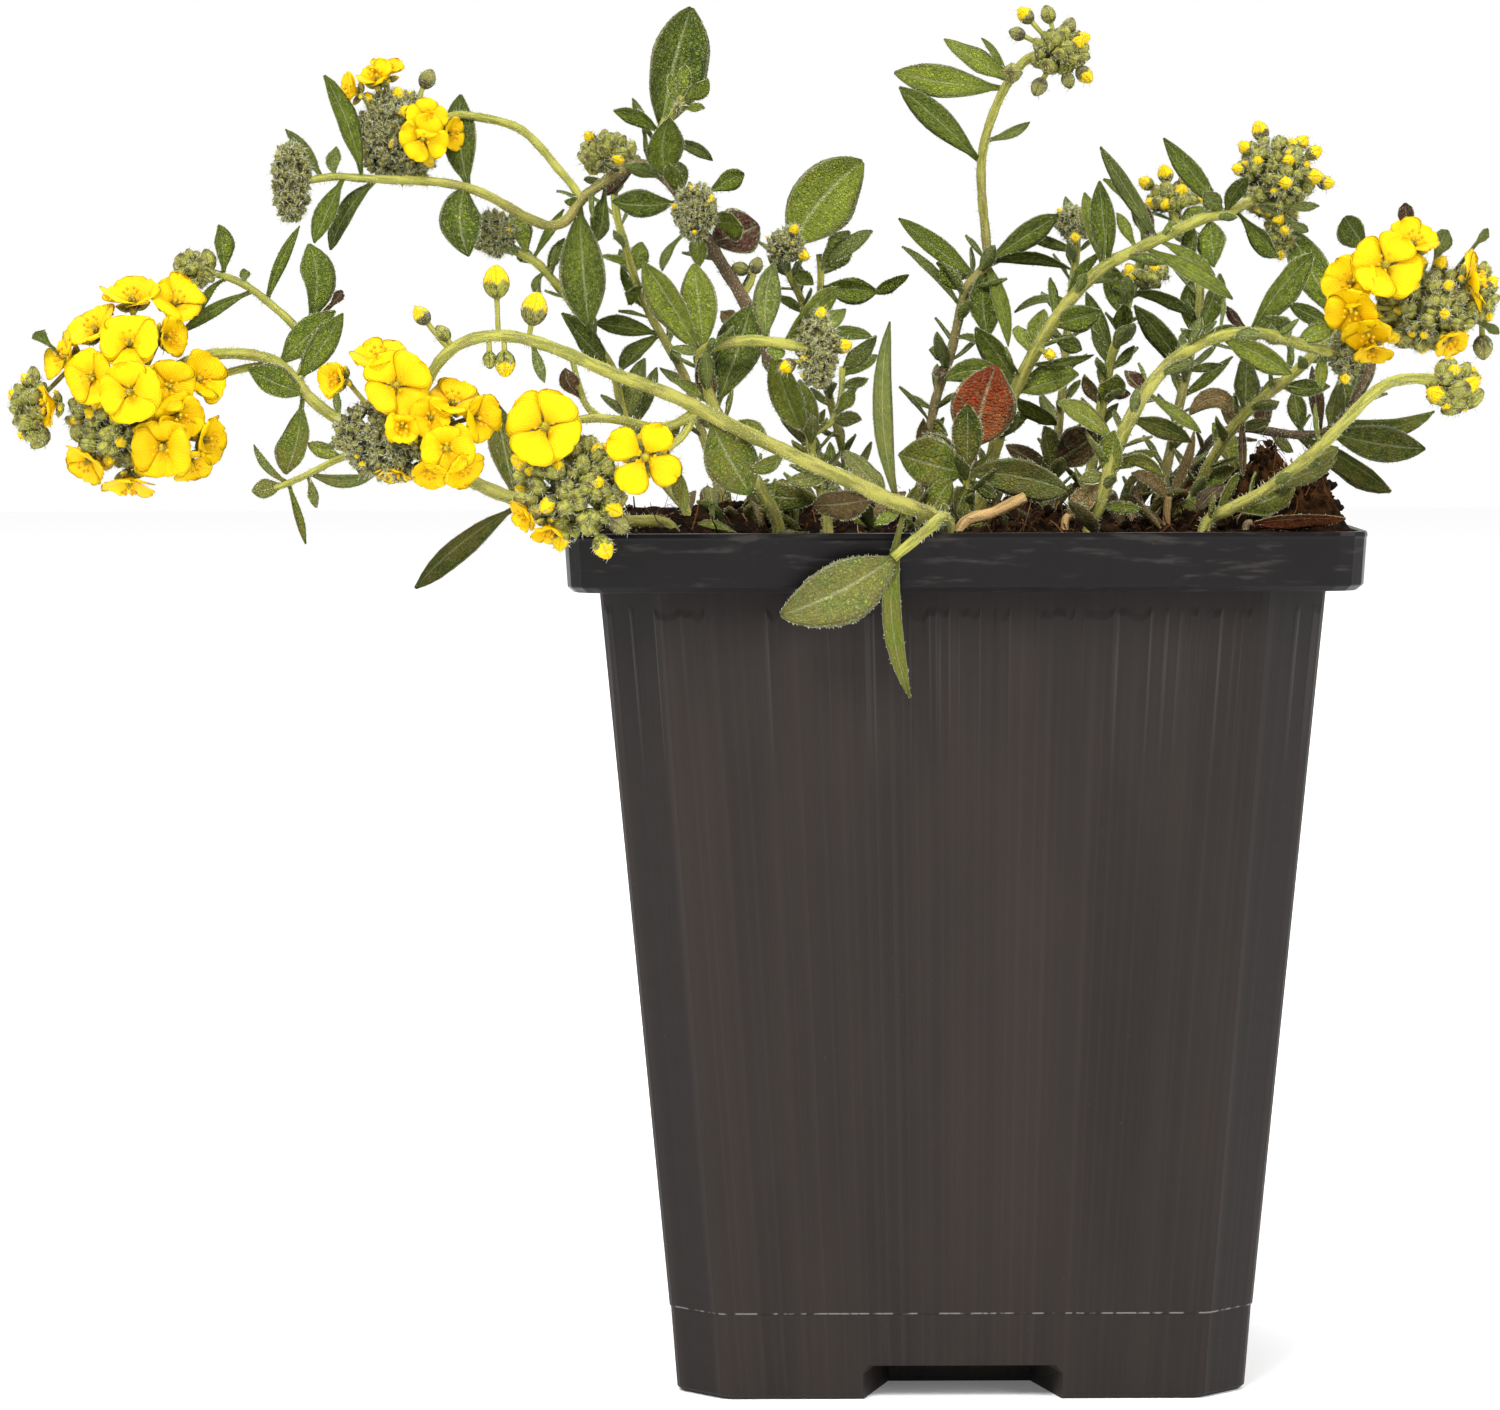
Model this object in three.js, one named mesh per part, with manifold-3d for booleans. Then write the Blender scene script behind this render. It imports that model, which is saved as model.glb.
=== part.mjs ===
import * as THREE from 'three';
import Module from 'manifold-3d';

// Potted mountain alyssum: a square nursery pot filled with peat and a low, sprawling alyssum.
// Units are millimetres, +Z is up, and the origin is the centre of the pot's base.

// Pot, real sizes
const RIM_HALF = 45;
const RIM_TOP = 100;
const RIM_HEIGHT = 6.7;
const RIM_CORNER = 3.4;
const LIP = 0.95;
const WALL = 1.0;
const WALL_TOP_HALF = 41.25;
const WALL_FOOT_HALF = 32.8;
const CORNER_CUT_FOOT = 5.4;
const CORNER_CUT_TOP = 7.4;
const STEP_HEIGHT = 10;
const STEP = 0.15;
const FLOOR = 1.2;
const POCKET_FRONT = 22.9;
const POCKET_BACK = 16.5;
const POCKET_DEEP = 11;
const POCKET_HIGH = 4;
const DRAIN_RADIUS = 2.2;

// Gaps and thicknesses
const GAP = 0.3;
const BLADE_THICK = 0.72;
const ROOT_DEPTH = 4.6;
const PATH_SLACK = 0.6;
const SMALLEST_LEAF = 5.3;
const LEAF_TWIST = 50;
const BROAD_TWIST = 28;

// Soil
const SOIL_LEVEL = 99.2;
const SOIL_CELLS = 12;

// Eye point that the seen outlines were measured from, and the depth of the plane they lie on
const EYE = [-24.2, -645, 122.9];
const SEEN_DEPTH = -45;

// Stems and stalks. Each row: node, radius at the start, radius at the end, points [x, z, y].
// x and z are read on the upright plane of the rim's front edge, and y is the real depth.
const ROUTES = [
  ['shoot_a', 0.85, 0.6, [[-33, 100.7, -30], [-38, 101.4, -32], [-43, 102.3, -33], [-49.5, 103.8, -33],
    [-53, 105, -32], [-57, 107, -30], [-61, 109, -28], [-66, 111.3, -25], [-70, 113, -22],
    [-73, 115.3, -20], [-75.2, 118, -19], [-77.5, 119.6, -18], [-81, 120.2, -18], [-85, 119.9, -19],
    [-88.5, 118.3, -20], [-91, 116.5, -20]]],
  ['shoot_a', 0.5, 0.42, [[-74.2, 117, -19.5], [-73.3, 120.5, -18], [-74.5, 123, -17], [-77, 125.4, -16],
    [-80, 127.7, -15], [-82.8, 128.9, -14]]],
  ['shoot_a', 0.45, 0.35, [[-65.5, 111, -25], [-68, 109.3, -24], [-70.5, 108.2, -24], [-73, 106.9, -24],
    [-75.5, 105.8, -24], [-77, 105.2, -24]]],
  ['shoot_a', 0.45, 0.4, [[-76.3, 119, -18.3], [-79.5, 118.7, -16.6], [-83, 117.8, -16.6], [-86, 116.4, -18],
    [-89.8, 114.6, -19]]],
  ['shoot_b', 0.95, 0.6, [[-2.2, 100.8, -39.5], [-3.6, 101.7, -42.5], [-5.2, 102.5, -45], [-7, 103.1, -47],
    [-9.5, 104.1, -47.5], [-12.5, 105.6, -47.5], [-16, 107.1, -47.5], [-20, 109, -47.5], [-24, 110.9, -47.5],
    [-28, 112.9, -48], [-32, 115, -49], [-36, 116.6, -50], [-40, 118.1, -50.5], [-44, 119.9, -51],
    [-48, 121.4, -51], [-51, 122, -51], [-54, 121.9, -51], [-56.5, 121, -51], [-58.3, 119.5, -51],
    [-59.6, 117.6, -51], [-61.2, 114.5, -50]]],
  ['shoot_b', 0.7, 0.55, [[-2.8, 101.6, -42], [-3.3, 101.5, -44.6], [-4.2, 100.6, -47], [-5.8, 99.3, -47.8],
    [-8.2, 97.3, -48]]],
  ['shoot_b', 0.55, 0.45, [[-30, 113.6, -48.3], [-32.5, 112.2, -48.5], [-35, 111.9, -48.5], [-38, 112.6, -48.5],
    [-41.5, 112.9, -48.5], [-43.6, 112.3, -48.3], [-44.2, 109.5, -48.2]]],
  ['shoot_b', 0.5, 0.42, [[-30.3, 113.2, -48], [-31.5, 111, -48.4], [-32.9, 109.8, -49.5], [-33.4, 109.2, -50.3]]],
  ['shoot_b', 0.4, 0.32, [[-40.5, 112.8, -48.5], [-42.2, 114.2, -48], [-43.1, 116.5, -47], [-43.9, 119.8, -46]]],
  ['shoot_d', 0.9, 0.42, [[-13, 101.8, 2], [-15, 105, 2], [-18, 111, 2], [-21.5, 118.5, 1], [-24.6, 125.6, 0],
    [-28, 131.2, 0], [-31, 136.3, 1], [-33.6, 139.6, 2], [-36, 140.9, 2.5], [-38, 140.3, 2],
    [-40.5, 138.8, 1.5], [-42.7, 137.1, 1], [-44.3, 134.9, 0.5], [-46.2, 134.2, 0], [-48.3, 134.9, -0.5],
    [-50.5, 136.1, -1], [-53, 137.5, -1.5], [-55.6, 138.5, -2], [-59, 139.1, -2], [-63, 139.3, -2],
    [-67, 139.5, -2], [-70, 139.7, -2], [-73, 139.3, -2]]],
  ['shoot_d', 0.45, 0.5, [[-42.7, 137.1, 1], [-43.8, 138.8, 1.5], [-45.5, 140.8, 2], [-47.3, 143, 2.5],
    [-49.3, 144.8, 3], [-51.5, 145.7, 3], [-54, 146.2, 3], [-56.5, 146.4, 3], [-60, 145.4, 2.5]]],
  ['shoot_d', 0.55, 0.42, [[-33.6, 139.6, 2], [-34.3, 142, 1.5], [-34, 144.5, 1], [-33.4, 146, 0.5]]],
  ['shoot_d', 0.5, 0.5, [[-30.5, 135.5, 0.8], [-30.3, 135.6, -4]]],
  ['shoot_d', 0.4, 0.35, [[-33.2, 145.5, 0.5], [-32.2, 147, -1.5], [-31.5, 148.5, -2]]],
  ['shoot_d', 0.4, 0.35, [[-25, 126.3, 0], [-24, 127.8, 0], [-23.6, 129.2, 0]]],
  ['shoot_e', 0.55, 0.5, [[-31, 102, 6], [-34, 106, 7], [-37, 110.5, 8], [-38.4, 114.5, 8], [-39.2, 117.8, 8],
    [-41.5, 121.8, 8.5], [-43.6, 125.2, 9], [-45.6, 127.8, 9], [-47.6, 130, 9], [-49.8, 131.3, 9],
    [-51.5, 132.5, 9]]],
  ['shoot_g', 0.55, 0.42, [[-27, 102.2, 14], [-28.5, 108, 14], [-30, 113, 14], [-31.3, 117.3, 13.5],
    [-33.3, 121, 13], [-35.3, 124.6, 13], [-36.9, 128.5, 12.5], [-37.9, 132, 12], [-38.8, 135.2, 12],
    [-39.2, 138.5, 12], [-40, 141.3, 12]]],
  ['shoot_h', 0.75, 0.62, [[-21, 100.8, -36], [-23, 105, -37], [-26, 110, -38], [-28.3, 114.5, -39],
    [-29.4, 118, -39], [-29.6, 120, -39], [-27.5, 121, -39.5], [-24, 121.4, -40], [-20.5, 121.1, -40],
    [-17.5, 120.5, -39.5]]],
  ['shoot_i', 0.65, 0.5, [[-15.5, 100.9, -34], [-16.3, 105, -34], [-17.2, 109, -34.5], [-17.6, 112, -35]]],
  ['shoot_i', 0.4, 0.35, [[-17.4, 111, -34.5], [-15, 112.5, -30], [-14, 115, -28], [-13.8, 118.5, -27]]],
  ['shoot_j', 0.5, 0.4, [[-12, 102.6, 22], [-13.5, 108, 20], [-15, 114, 17], [-16.5, 120, 14], [-18, 125, 11],
    [-19.6, 128.5, 9], [-20.2, 130.8, 8]]],
  ['shoot_j', 0.4, 0.35, [[-18, 125, 11], [-16.5, 126.3, 11], [-16.2, 128.5, 11], [-16.4, 131, 11]]],
  ['shoot_j', 0.35, 0.3, [[-16.3, 126.8, 11], [-13.5, 126.6, 11], [-10.3, 126.7, 11]]],
  ['shoot_k', 0.55, 0.5, [[-6, 102.4, 20], [-5, 106, 20], [-4.2, 111, 20], [-3.4, 115, 20], [-2, 119.2, 20],
    [-1, 123.3, 20], [-0.2, 126.8, 20], [1.2, 128.7, 20.5], [2.2, 130, 21], [2.1, 133, 22], [1.7, 137, 22],
    [1.6, 140.5, 22], [2, 143.5, 22], [3, 146.6, 22], [4.3, 149.4, 22], [6.4, 152.2, 22], [8.6, 153.3, 22]]],
  ['shoot_l', 0.85, 0.6, [[1, 101.4, -12], [2, 105, -13], [3.3, 110, -14], [4.8, 114.5, -15],
    [6.6, 118.3, -16], [9, 122.4, -16.5], [11.2, 125.5, -17], [13.5, 128, -17], [15.7, 129.8, -17],
    [18.3, 131.1, -16.5], [21, 132.4, -16], [24, 133.8, -15], [26.6, 134.9, -14], [29, 135.4, -13],
    [31.5, 136.8, -12]]],
  ['shoot_m', 0.85, 0.65, [[13.8, 100.9, -36], [14.6, 103, -36.5], [15.6, 105.8, -37], [16.3, 108.3, -37],
    [17.2, 110.6, -37], [18.6, 113.4, -36.5], [20.3, 116.2, -36], [22.3, 118.5, -35], [24.6, 120.3, -34],
    [27.2, 121.5, -33], [30, 122.1, -32], [33, 122, -31], [36, 121.2, -29], [38.6, 120.4, -27],
    [40.3, 120, -25]]],
  ['shoot_n', 0.75, 0.6, [[26.5, 100.7, -38], [29.2, 102.6, -38.5], [32.6, 104.3, -39], [36, 106.8, -39.5],
    [39, 109.3, -40], [42, 112.3, -39.5], [44.6, 115, -39], [47, 116.6, -38], [49.5, 117, -37],
    [51, 116.9, -36], [53, 116.6, -35.3]]],
  ['shoot_o', 0.65, 0.5, [[13, 102.6, 16], [13.8, 107, 15], [14.6, 112, 14], [15.3, 116, 13.5],
    [16, 119.3, 13], [16.9, 122, 13], [17.7, 125, 13], [18.4, 127.2, 13], [19.3, 128.3, 13]]],
  ['shoot_p', 0.6, 0.45, [[21.5, 102.2, 12], [22, 106, 12], [22.8, 110, 11.5], [23.6, 114, 11], [24.5, 118, 11],
    [25.2, 121.5, 11], [25.8, 125, 11], [25.8, 128.5, 11.5], [24.8, 131.5, 12], [23.4, 134, 13],
    [22.6, 136, 13.5]]],
  ['shoot_q', 0.65, 0.55, [[24.5, 102.2, -2], [25.3, 104, -2.5], [26.8, 107.3, -4], [28.6, 110.2, -6],
    [30.6, 112.8, -8], [33, 115, -9], [35.5, 117, -10], [37.6, 118.9, -11], [39.8, 121.2, -12],
    [42.5, 123.4, -14], [45.3, 124.6, -18], [48.6, 125, -22]]],
  ['shoot_r', 0.5, 0.45, [[9, 102.6, 28], [9.6, 107, 28], [10.2, 112, 27.5], [10.7, 117, 27], [11.1, 122, 26.5],
    [11.6, 127, 26], [12, 130, 26], [12.2, 133, 26]]],
  ['shoot_t', 0.6, 0.42, [[24, 103, 18], [25, 106, 18], [27, 110, 18], [30, 111.6, 18], [33.5, 111.2, 17],
    [37, 110.8, 16], [40, 111.2, 15], [42.3, 113.2, 14], [43.8, 116.2, 13], [45.5, 119.6, 12]]],
  ['shoot_s', 0.6, 0.5, [[0, 101.2, -26], [0, 104, -26.5], [0, 107, -27]]],
  ['shoot_u', 0.6, 0.5, [[9.5, 101.6, -8], [9.5, 105, -8], [9.6, 107.7, -8]]],
  ['leaf_red', 0.45, 0.4, [[0.3, 101.2, -20], [0.5, 105, -20], [0.9, 109.8, -20]]],
  ['leaf_red_low', 0.5, 0.4, [[31, 100.4, -40.8], [31.8, 101.1, -40.8]]],
  ['twig', 0.7, 0.62, [[-0.6, 100.7, -36], [3, 102.3, -35.5], [6.5, 104, -35]]],
  ['dead_leaf_front', 0.5, 0.45, [[10.9, 100.8, -36], [11.4, 102, -36]]],
  ['dead_leaf_mid', 0.5, 0.42, [[22.2, 101.2, -30], [22.4, 104, -30]]],
];

// Leaves. Each row: node, base x, base z, tip x, tip z, width, sideways bow at the middle,
// how much nearer or further the tip is than the base, and tone.
// Tones: 0 green, 1 dark green, 2 pale green, 3 grey green, 4 purple brown, 5 red, 6 dry tan.
const LEAVES = [
  ['shoot_a', -72, 122.6, -73, 132.4, 3.7, -0.9, 3, 0],
  ['shoot_a', -76, 119, -70, 124.9, 3.3, 0.2, -2, 0],
  ['shoot_a', -75, 116.6, -69.2, 124.7, 3, -0.2, -4, 0],
  ['shoot_a', -73.6, 115.2, -79.9, 118.5, 3.4, 0, -3, 0],
  ['shoot_a', -75, 115, -75.8, 106.7, 3.6, 0.6, -3, 0],
  ['shoot_a', -70.3, 110.3, -66, 107.3, 2.8, 0, 2, 1],
  ['shoot_a', -69.5, 108.5, -73.4, 110.2, 1.8, 0, 1, 2],
  ['shoot_a', -73, 106.8, -65.4, 107, 1.5, -0.9, -2, 3],
  ['shoot_a', -73.2, 106.3, -72.4, 103, 1.1, 0.2, -1, 3],
  ['shoot_a', -75.3, 105.3, -73.6, 98.9, 1, 0, 1, 2],
  ['shoot_a', -75.6, 106, -79.3, 110.2, 1, 0.6, 1, 3],
  ['shoot_a', -75.5, 105.2, -79.6, 104.9, 2.2, 0, 0, 3],
  ['shoot_a', -82.4, 129.2, -83, 134.5, 2.1, -0.3, -1, 0],
  ['shoot_a', -82.2, 128.4, -85.2, 124.4, 1, -0.7, -1, 0],
  ['shoot_a', -79.3, 127, -87.3, 122.4, 1.5, -0.4, -2, 0],
  ['shoot_a', -77.8, 125.9, -73.9, 134.4, 1.4, 0.3, 2, 0],
  ['shoot_a', -80, 128.2, -80.3, 129.6, 1.2, 0, 0, 3],
  ['shoot_a', -49.4, 102.6, -61.6, 93.9, 2.9, -0.8, -3, 1],
  ['shoot_a', -70.4, 124.2, -69.3, 127.2, 1.3, 0, 0, 4],
  ['shoot_a', -50.2, 104.4, -52.5, 115, 3.6, 0, 5, 1],
  ['head_a', -100.2, 121, -103.6, 122.5, 1.9, 0, 1, 0],
  ['shoot_b', -8, 97.4, -21, 90.9, 7, 0.8, 1, 3],
  ['shoot_b', -7, 102.4, -6.2, 81.3, 2.2, -1.9, -2, 0],
  ['shoot_b', -7, 102.8, -10.2, 101, 1.4, 0, -1, 2],
  ['shoot_b', -2.4, 101.2, -2.8, 103.3, 1, 0, -1, 2],
  ['shoot_b', -20, 109.6, -24.3, 107.3, 1.9, 0.6, -2, 0],
  ['shoot_b', -15, 105.9, -20.2, 105.9, 1.8, 0, 1, 3],
  ['shoot_b', -7.7, 103.6, -8.5, 123.8, 2.3, 1.3, 2, 3],
  ['shoot_b', -8.4, 104.3, -13.6, 109.3, 2.6, 0.2, 5, 3],
  ['shoot_b', -10, 103.4, -17.2, 103.2, 3.6, 0.2, 4, 4],
  ['shoot_b', -48.4, 121, -46.9, 116.8, 1.3, 0, -1, 3],
  ['shoot_b', -43.3, 114.6, -44.6, 118.5, 2.2, 0.3, 1, 4],
  ['shoot_b', -31.9, 108, -31.2, 102.4, 1.9, 0, -1, 2],
  ['shoot_b', -31.5, 112.3, -34.2, 110.4, 1.6, 0, 2, 1],
  ['shoot_b', -29.3, 112.2, -24, 104.3, 6, 0, 3, 0],
  ['shoot_b', -21.4, 110.2, -25.4, 112.6, 2, 0, 3, 0],
  ['shoot_d', -67, 139.9, -71.2, 151, 2.5, -0.6, -2, 0],
  ['shoot_d', -70, 140, -69.8, 143, 1.6, 0.2, 2, 3],
  ['shoot_d', -71.5, 140, -75.5, 145, 1.6, -0.2, 1, 3],
  ['shoot_d', -69, 139.3, -72.4, 132.3, 2.4, -0.2, -2, 0],
  ['shoot_d', -65.3, 139, -70.6, 131.5, 2.3, -0.9, 3, 1],
  ['shoot_d', -55.6, 138.5, -55.2, 130.8, 4.6, -0.8, -3, 1],
  ['shoot_d', -55, 138.8, -56, 148.8, 3.8, 0.6, 8, 1],
  ['shoot_d', -42.2, 136.3, -41.9, 122.8, 5.1, -0.4, -3, 1],
  ['shoot_d', -39.3, 137.8, -41.1, 132.4, 2.2, 0, 2, 1],
  ['shoot_d', -42.7, 136.9, -44.6, 136.9, 1.1, 0, -1, 0],
  ['shoot_d', -25.3, 122.6, -27.3, 124.7, 1.9, 0, -2, 6],
  ['shoot_d', -32.2, 136.2, -39.4, 136.9, 3.1, 0.2, -4, 1],
  ['shoot_d', -33.6, 138.4, -32.9, 146.2, 4.1, 0.5, -5, 0],
  ['shoot_d', -31.9, 137.2, -33.1, 141.2, 1.9, -0.2, -5, 2],
  ['shoot_d', -30.8, 137.5, -32.2, 141.3, 2, 0, 3, 1],
  ['shoot_d', -29, 137.8, -24.6, 139.9, 2.4, 0.2, 1, 0],
  ['shoot_d', -28.5, 135.4, -24.8, 134, 3.2, 0, -3, 2],
  ['shoot_d', -28.6, 132.2, -23, 134.2, 5.4, 0, 3, 4],
  ['shoot_d', -30.4, 133.9, -29.6, 129.6, 2, 0, -3, 2],
  ['shoot_d', -31.5, 133.4, -33.8, 129.1, 1.1, -0.6, -1, 3],
  ['shoot_d', -33.9, 144.6, -30.4, 158.4, 6.9, 0.1, 3, 1],
  ['shoot_d', -34.4, 144.6, -39.2, 146.9, 1.9, -0.5, -1, 0],
  ['shoot_d', -35, 143, -37, 148.3, 1.2, 0, 4, 3],
  ['shoot_d', -31.6, 147.8, -31.2, 152, 1.7, 0, -1, 2],
  ['shoot_d', -31.1, 147.6, -28.6, 150.4, 1.9, 0, -1, 2],
  ['shoot_d', -31.5, 147, -29, 147.2, 1, 0, -2, 2],
  ['shoot_d', -32, 148, -32.9, 151, 1.4, 0, -1, 2],
  ['shoot_d', -33.4, 143.6, -28.1, 141.3, 1.4, 0.6, 2, 3],
  ['shoot_e', -48.5, 131, -50.6, 136, 2.3, 0, 1, 2],
  ['shoot_e', -47.9, 130.9, -44.6, 136.1, 1.1, 0, -1, 0],
  ['shoot_e', -46.4, 129.2, -44.6, 132.9, 1.6, 0, 1, 1],
  ['shoot_e', -46.4, 129.4, -47, 126, 1.1, -1, -3, 3],
  ['shoot_e', -39.5, 118.2, -45, 124.6, 2.4, 0, -5, 1],
  ['shoot_e', -37.7, 112.5, -35.7, 119.6, 2.5, 0.3, -2, 3],
  ['shoot_e', -37, 111.5, -34.4, 118.6, 1.9, 0, 2, 3],
  ['shoot_g', -34.4, 121.8, -41.4, 123.4, 2.3, -0.3, -3, 1],
  ['shoot_g', -33.6, 122.3, -38.5, 118.1, 2, -0.4, -4, 1],
  ['shoot_g', -35.8, 126.8, -37.9, 126.7, 2.4, 0, -3, 0],
  ['shoot_g', -35.6, 124.6, -38.4, 129.8, 1.3, 0.3, 1, 0],
  ['shoot_g', -36.8, 129, -36, 132.4, 2.2, 0, 2, 0],
  ['shoot_g', -36.9, 130, -40.6, 130.9, 0.9, 0, -1, 2],
  ['shoot_h', -29.8, 120.3, -35.9, 130.3, 3.8, 0, -1, 2],
  ['shoot_h', -29.4, 120.6, -30.3, 130.1, 4.2, -0.1, 1, 2],
  ['shoot_h', -28.4, 113.8, -29.7, 119.6, 2.4, 0, -1, 4],
  ['shoot_h', -29.2, 119.9, -33, 120.7, 1.1, 0.1, -1, 3],
  ['shoot_h', -21.6, 121.8, -21.1, 119.2, 2.1, 0, -1, 0],
  ['shoot_h', -27.2, 114.2, -23.9, 125.4, 5.3, 0, 5, 1],
  ['shoot_h', -22.2, 121.8, -21.4, 130.1, 3.1, 0.5, 0, 3],
  ['shoot_h', -20.3, 121.3, -14.1, 127.4, 2.7, 0.3, 4, 2],
  ['shoot_h', -19.5, 121.2, -13.4, 124.9, 3, 0, 6, 2],
  ['shoot_i', -18, 109.6, -21.4, 120.3, 3.5, 0.4, -1, 2],
  ['shoot_i', -17.4, 109.4, -18.6, 117.2, 3, 0, 3, 0],
  ['shoot_i', -15.4, 112.2, -18, 112.5, 1.5, 0, -1, 3],
  ['shoot_i', -14.9, 112.5, -11.7, 112.7, 1.8, 0, -2, 3],
  ['shoot_i', -14.1, 113, -12.6, 116, 1.7, 0, 1, 0],
  ['shoot_i', -13.9, 116.3, -10.9, 117.2, 1.3, 0, -1, 3],
  ['shoot_i', -13.8, 118.2, -10, 122, 2, 0, -1, 3],
  ['shoot_i', -13.7, 117.5, -9.9, 119.8, 1.7, 0, 2, 0],
  ['shoot_i', -16.3, 103.6, -24.5, 104.4, 3.2, 0, 3, 1],
  ['shoot_j', -20.2, 132, -11.4, 141.3, 7.4, 0.6, 5, 2],
  ['shoot_j', -16.2, 128.8, -13, 133.6, 3.2, 0, 1, 3],
  ['shoot_j', -15.9, 129.9, -10.4, 133.6, 2, 0, -2, 3],
  ['shoot_j', -19.6, 128.8, -17, 127.6, 1.7, 0.2, -1, 0],
  ['shoot_j', -16.3, 127.2, -9.8, 126.9, 3, 0, -2, 0],
  ['shoot_j', -10.4, 126.7, -6.4, 128.7, 1.5, 0, 1, 0],
  ['shoot_j', -16.9, 121.8, -10.4, 121.7, 1.7, 0.5, -4, 0],
  ['shoot_k', 1.3, 141, -7.6, 149.5, 3.1, -0.3, -3, 0],
  ['shoot_k', 3.8, 149.4, -8.2, 151, 3.6, 0.3, -1, 2],
  ['shoot_k', 4.4, 150.2, -2.6, 154.7, 2.4, 0, 3, 2],
  ['shoot_k', 4.2, 150.4, 1.6, 154.8, 0.9, -0.4, 4, 2],
  ['shoot_k', 2.4, 143.4, 7, 145.5, 1.2, -0.3, 4, 3],
  ['shoot_k', 0.8, 128.4, -7.7, 135, 2.4, 0, 1, 0],
  ['shoot_k', -0.9, 125, -7.3, 131.9, 1.1, -0.5, -2, 3],
  ['shoot_k', 0.4, 128.4, -3.4, 130, 1.8, 0, 3, 2],
  ['shoot_k', -0.4, 126.8, -3, 129.6, 2.2, 0, -1, 2],
  ['shoot_k', 2.4, 129.9, 10.2, 135.3, 2.9, 0.1, 4, 1],
  ['shoot_k', 2.4, 129.6, 11.6, 129.2, 1.4, 1.2, -3, 1],
  ['shoot_k', 2.3, 129.7, 2.4, 121.7, 3.3, -0.5, -3, 1],
  ['shoot_k', 2.4, 129.8, 4.6, 120.6, 1.8, 0.4, -6, 2],
  ['shoot_k', -1.9, 119.6, -4.2, 120.4, 1.7, 0, -1, 3],
  ['shoot_k', -2.3, 118.8, -3.1, 117.2, 1.5, 0, -2, 4],
  ['shoot_k', -1.4, 121.6, 1.9, 120.6, 0.9, 0.6, -1, 3],
  ['shoot_k', -3.9, 113.8, -6.8, 115.4, 0.9, 0, 1, 3],
  ['shoot_k', -4.6, 108.5, -4.8, 112.8, 1.5, 0.3, -2, 6],
  ['shoot_k', -4, 112.8, -2.2, 110.8, 1.6, 0, -2, 0],
  ['shoot_l', 5.2, 115.6, 12.5, 117.6, 3.3, 0.2, -2, 0],
  ['shoot_l', 15.4, 130, 14.7, 139.1, 2.9, 0, -2, 1],
  ['shoot_l', 14.9, 129.6, 13, 137.8, 2.1, 0, 3, 2],
  ['shoot_l', 19.3, 132.2, 15, 139.2, 1.7, -1.4, 4, 0],
  ['shoot_l', 21, 132.8, 14.7, 142.9, 2, 0, -3, 3],
  ['shoot_l', 20.6, 132.6, 18.6, 137, 2.3, 0, 2, 4],
  ['shoot_l', 18.6, 131.8, 16.6, 135.5, 1.4, 0, -1, 2],
  ['shoot_l', 11, 125.6, 15.2, 131.2, 1.4, 0.8, 1, 0],
  ['shoot_l', 19.6, 131.3, 29.6, 125.8, 2, 0.4, -4, 2],
  ['shoot_l', 21.3, 132.2, 27.6, 128.4, 1.6, 0.3, -2, 2],
  ['shoot_l', 27, 134.6, 27.4, 129.4, 3.2, 0, -3, 0],
  ['shoot_l', 25.3, 133.9, 24.6, 130.2, 2, 0, 0, 1],
  ['shoot_l', 28.5, 136, 21.7, 143.8, 2.4, 0.1, 2, 0],
  ['shoot_l', 28.2, 135.6, 26.3, 137.8, 2.2, 0, -3, 3],
  ['shoot_l', 28.6, 135.6, 31.2, 139.4, 2, 0.3, -5, 1],
  ['shoot_l', 30.2, 135, 34.6, 130.5, 2.2, 0, -3, 0],
  ['shoot_l', 34.5, 135, 39.1, 136.2, 1.1, 0, -2, 3],
  ['shoot_l', 35, 134.8, 37.9, 133.3, 1.1, 0, 0, 3],
  ['shoot_l', 9.8, 122.8, 15, 124.7, 3.1, 0, -3, 0],
  ['shoot_l', 7, 119.8, 5.6, 123, 2.1, 0, 2, 2],
  ['shoot_l', 7.8, 120.6, 8.6, 124.8, 2.2, 0.3, 3, 2],
  ['shoot_l', 9.3, 121.8, 12.8, 120.3, 2, 0, 1, 1],
  ['shoot_l', 7.2, 118.6, 14.2, 119.8, 1.1, -0.3, -1, 1],
  ['shoot_l', 4.9, 115.2, 10, 112, 2.1, 0, 4, 2],
  ['shoot_l', 5, 116.5, 0.9, 122.9, 3, -0.3, -2, 0],
  ['shoot_l', 4.7, 116.4, -2.6, 116.9, 2.8, -1.5, -3, 0],
  ['shoot_l', 3.4, 110.4, 7.2, 113.9, 1.3, 0, 2, 1],
  ['shoot_m', 15.9, 110, 10, 114.5, 2.5, -0.6, -1, 2],
  ['shoot_m', 15.8, 106, 16.4, 111.4, 3, 0, -2, 2],
  ['shoot_m', 15.6, 106, 12.4, 105.7, 1.6, -0.4, -1, 3],
  ['shoot_m', 16, 107, 21.3, 108.9, 1.7, 0.3, 0, 2],
  ['shoot_m', 16.4, 107.5, 21.9, 106.2, 1.5, 1.3, -2, 2],
  ['shoot_m', 26.8, 121.2, 23.7, 122.6, 1.5, 0, -2, 3],
  ['shoot_m', 36, 120.8, 32.9, 124, 3.5, 0, -2, 3],
  ['shoot_m', 28.4, 121.4, 36.2, 117.5, 3, 0.2, -1, 2],
  ['shoot_m', 25.3, 121, 29.8, 122.9, 0.9, 0.5, 2, 3],
  ['shoot_m', 39.9, 119.8, 39.3, 115.9, 1.5, -0.3, -2, 2],
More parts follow.
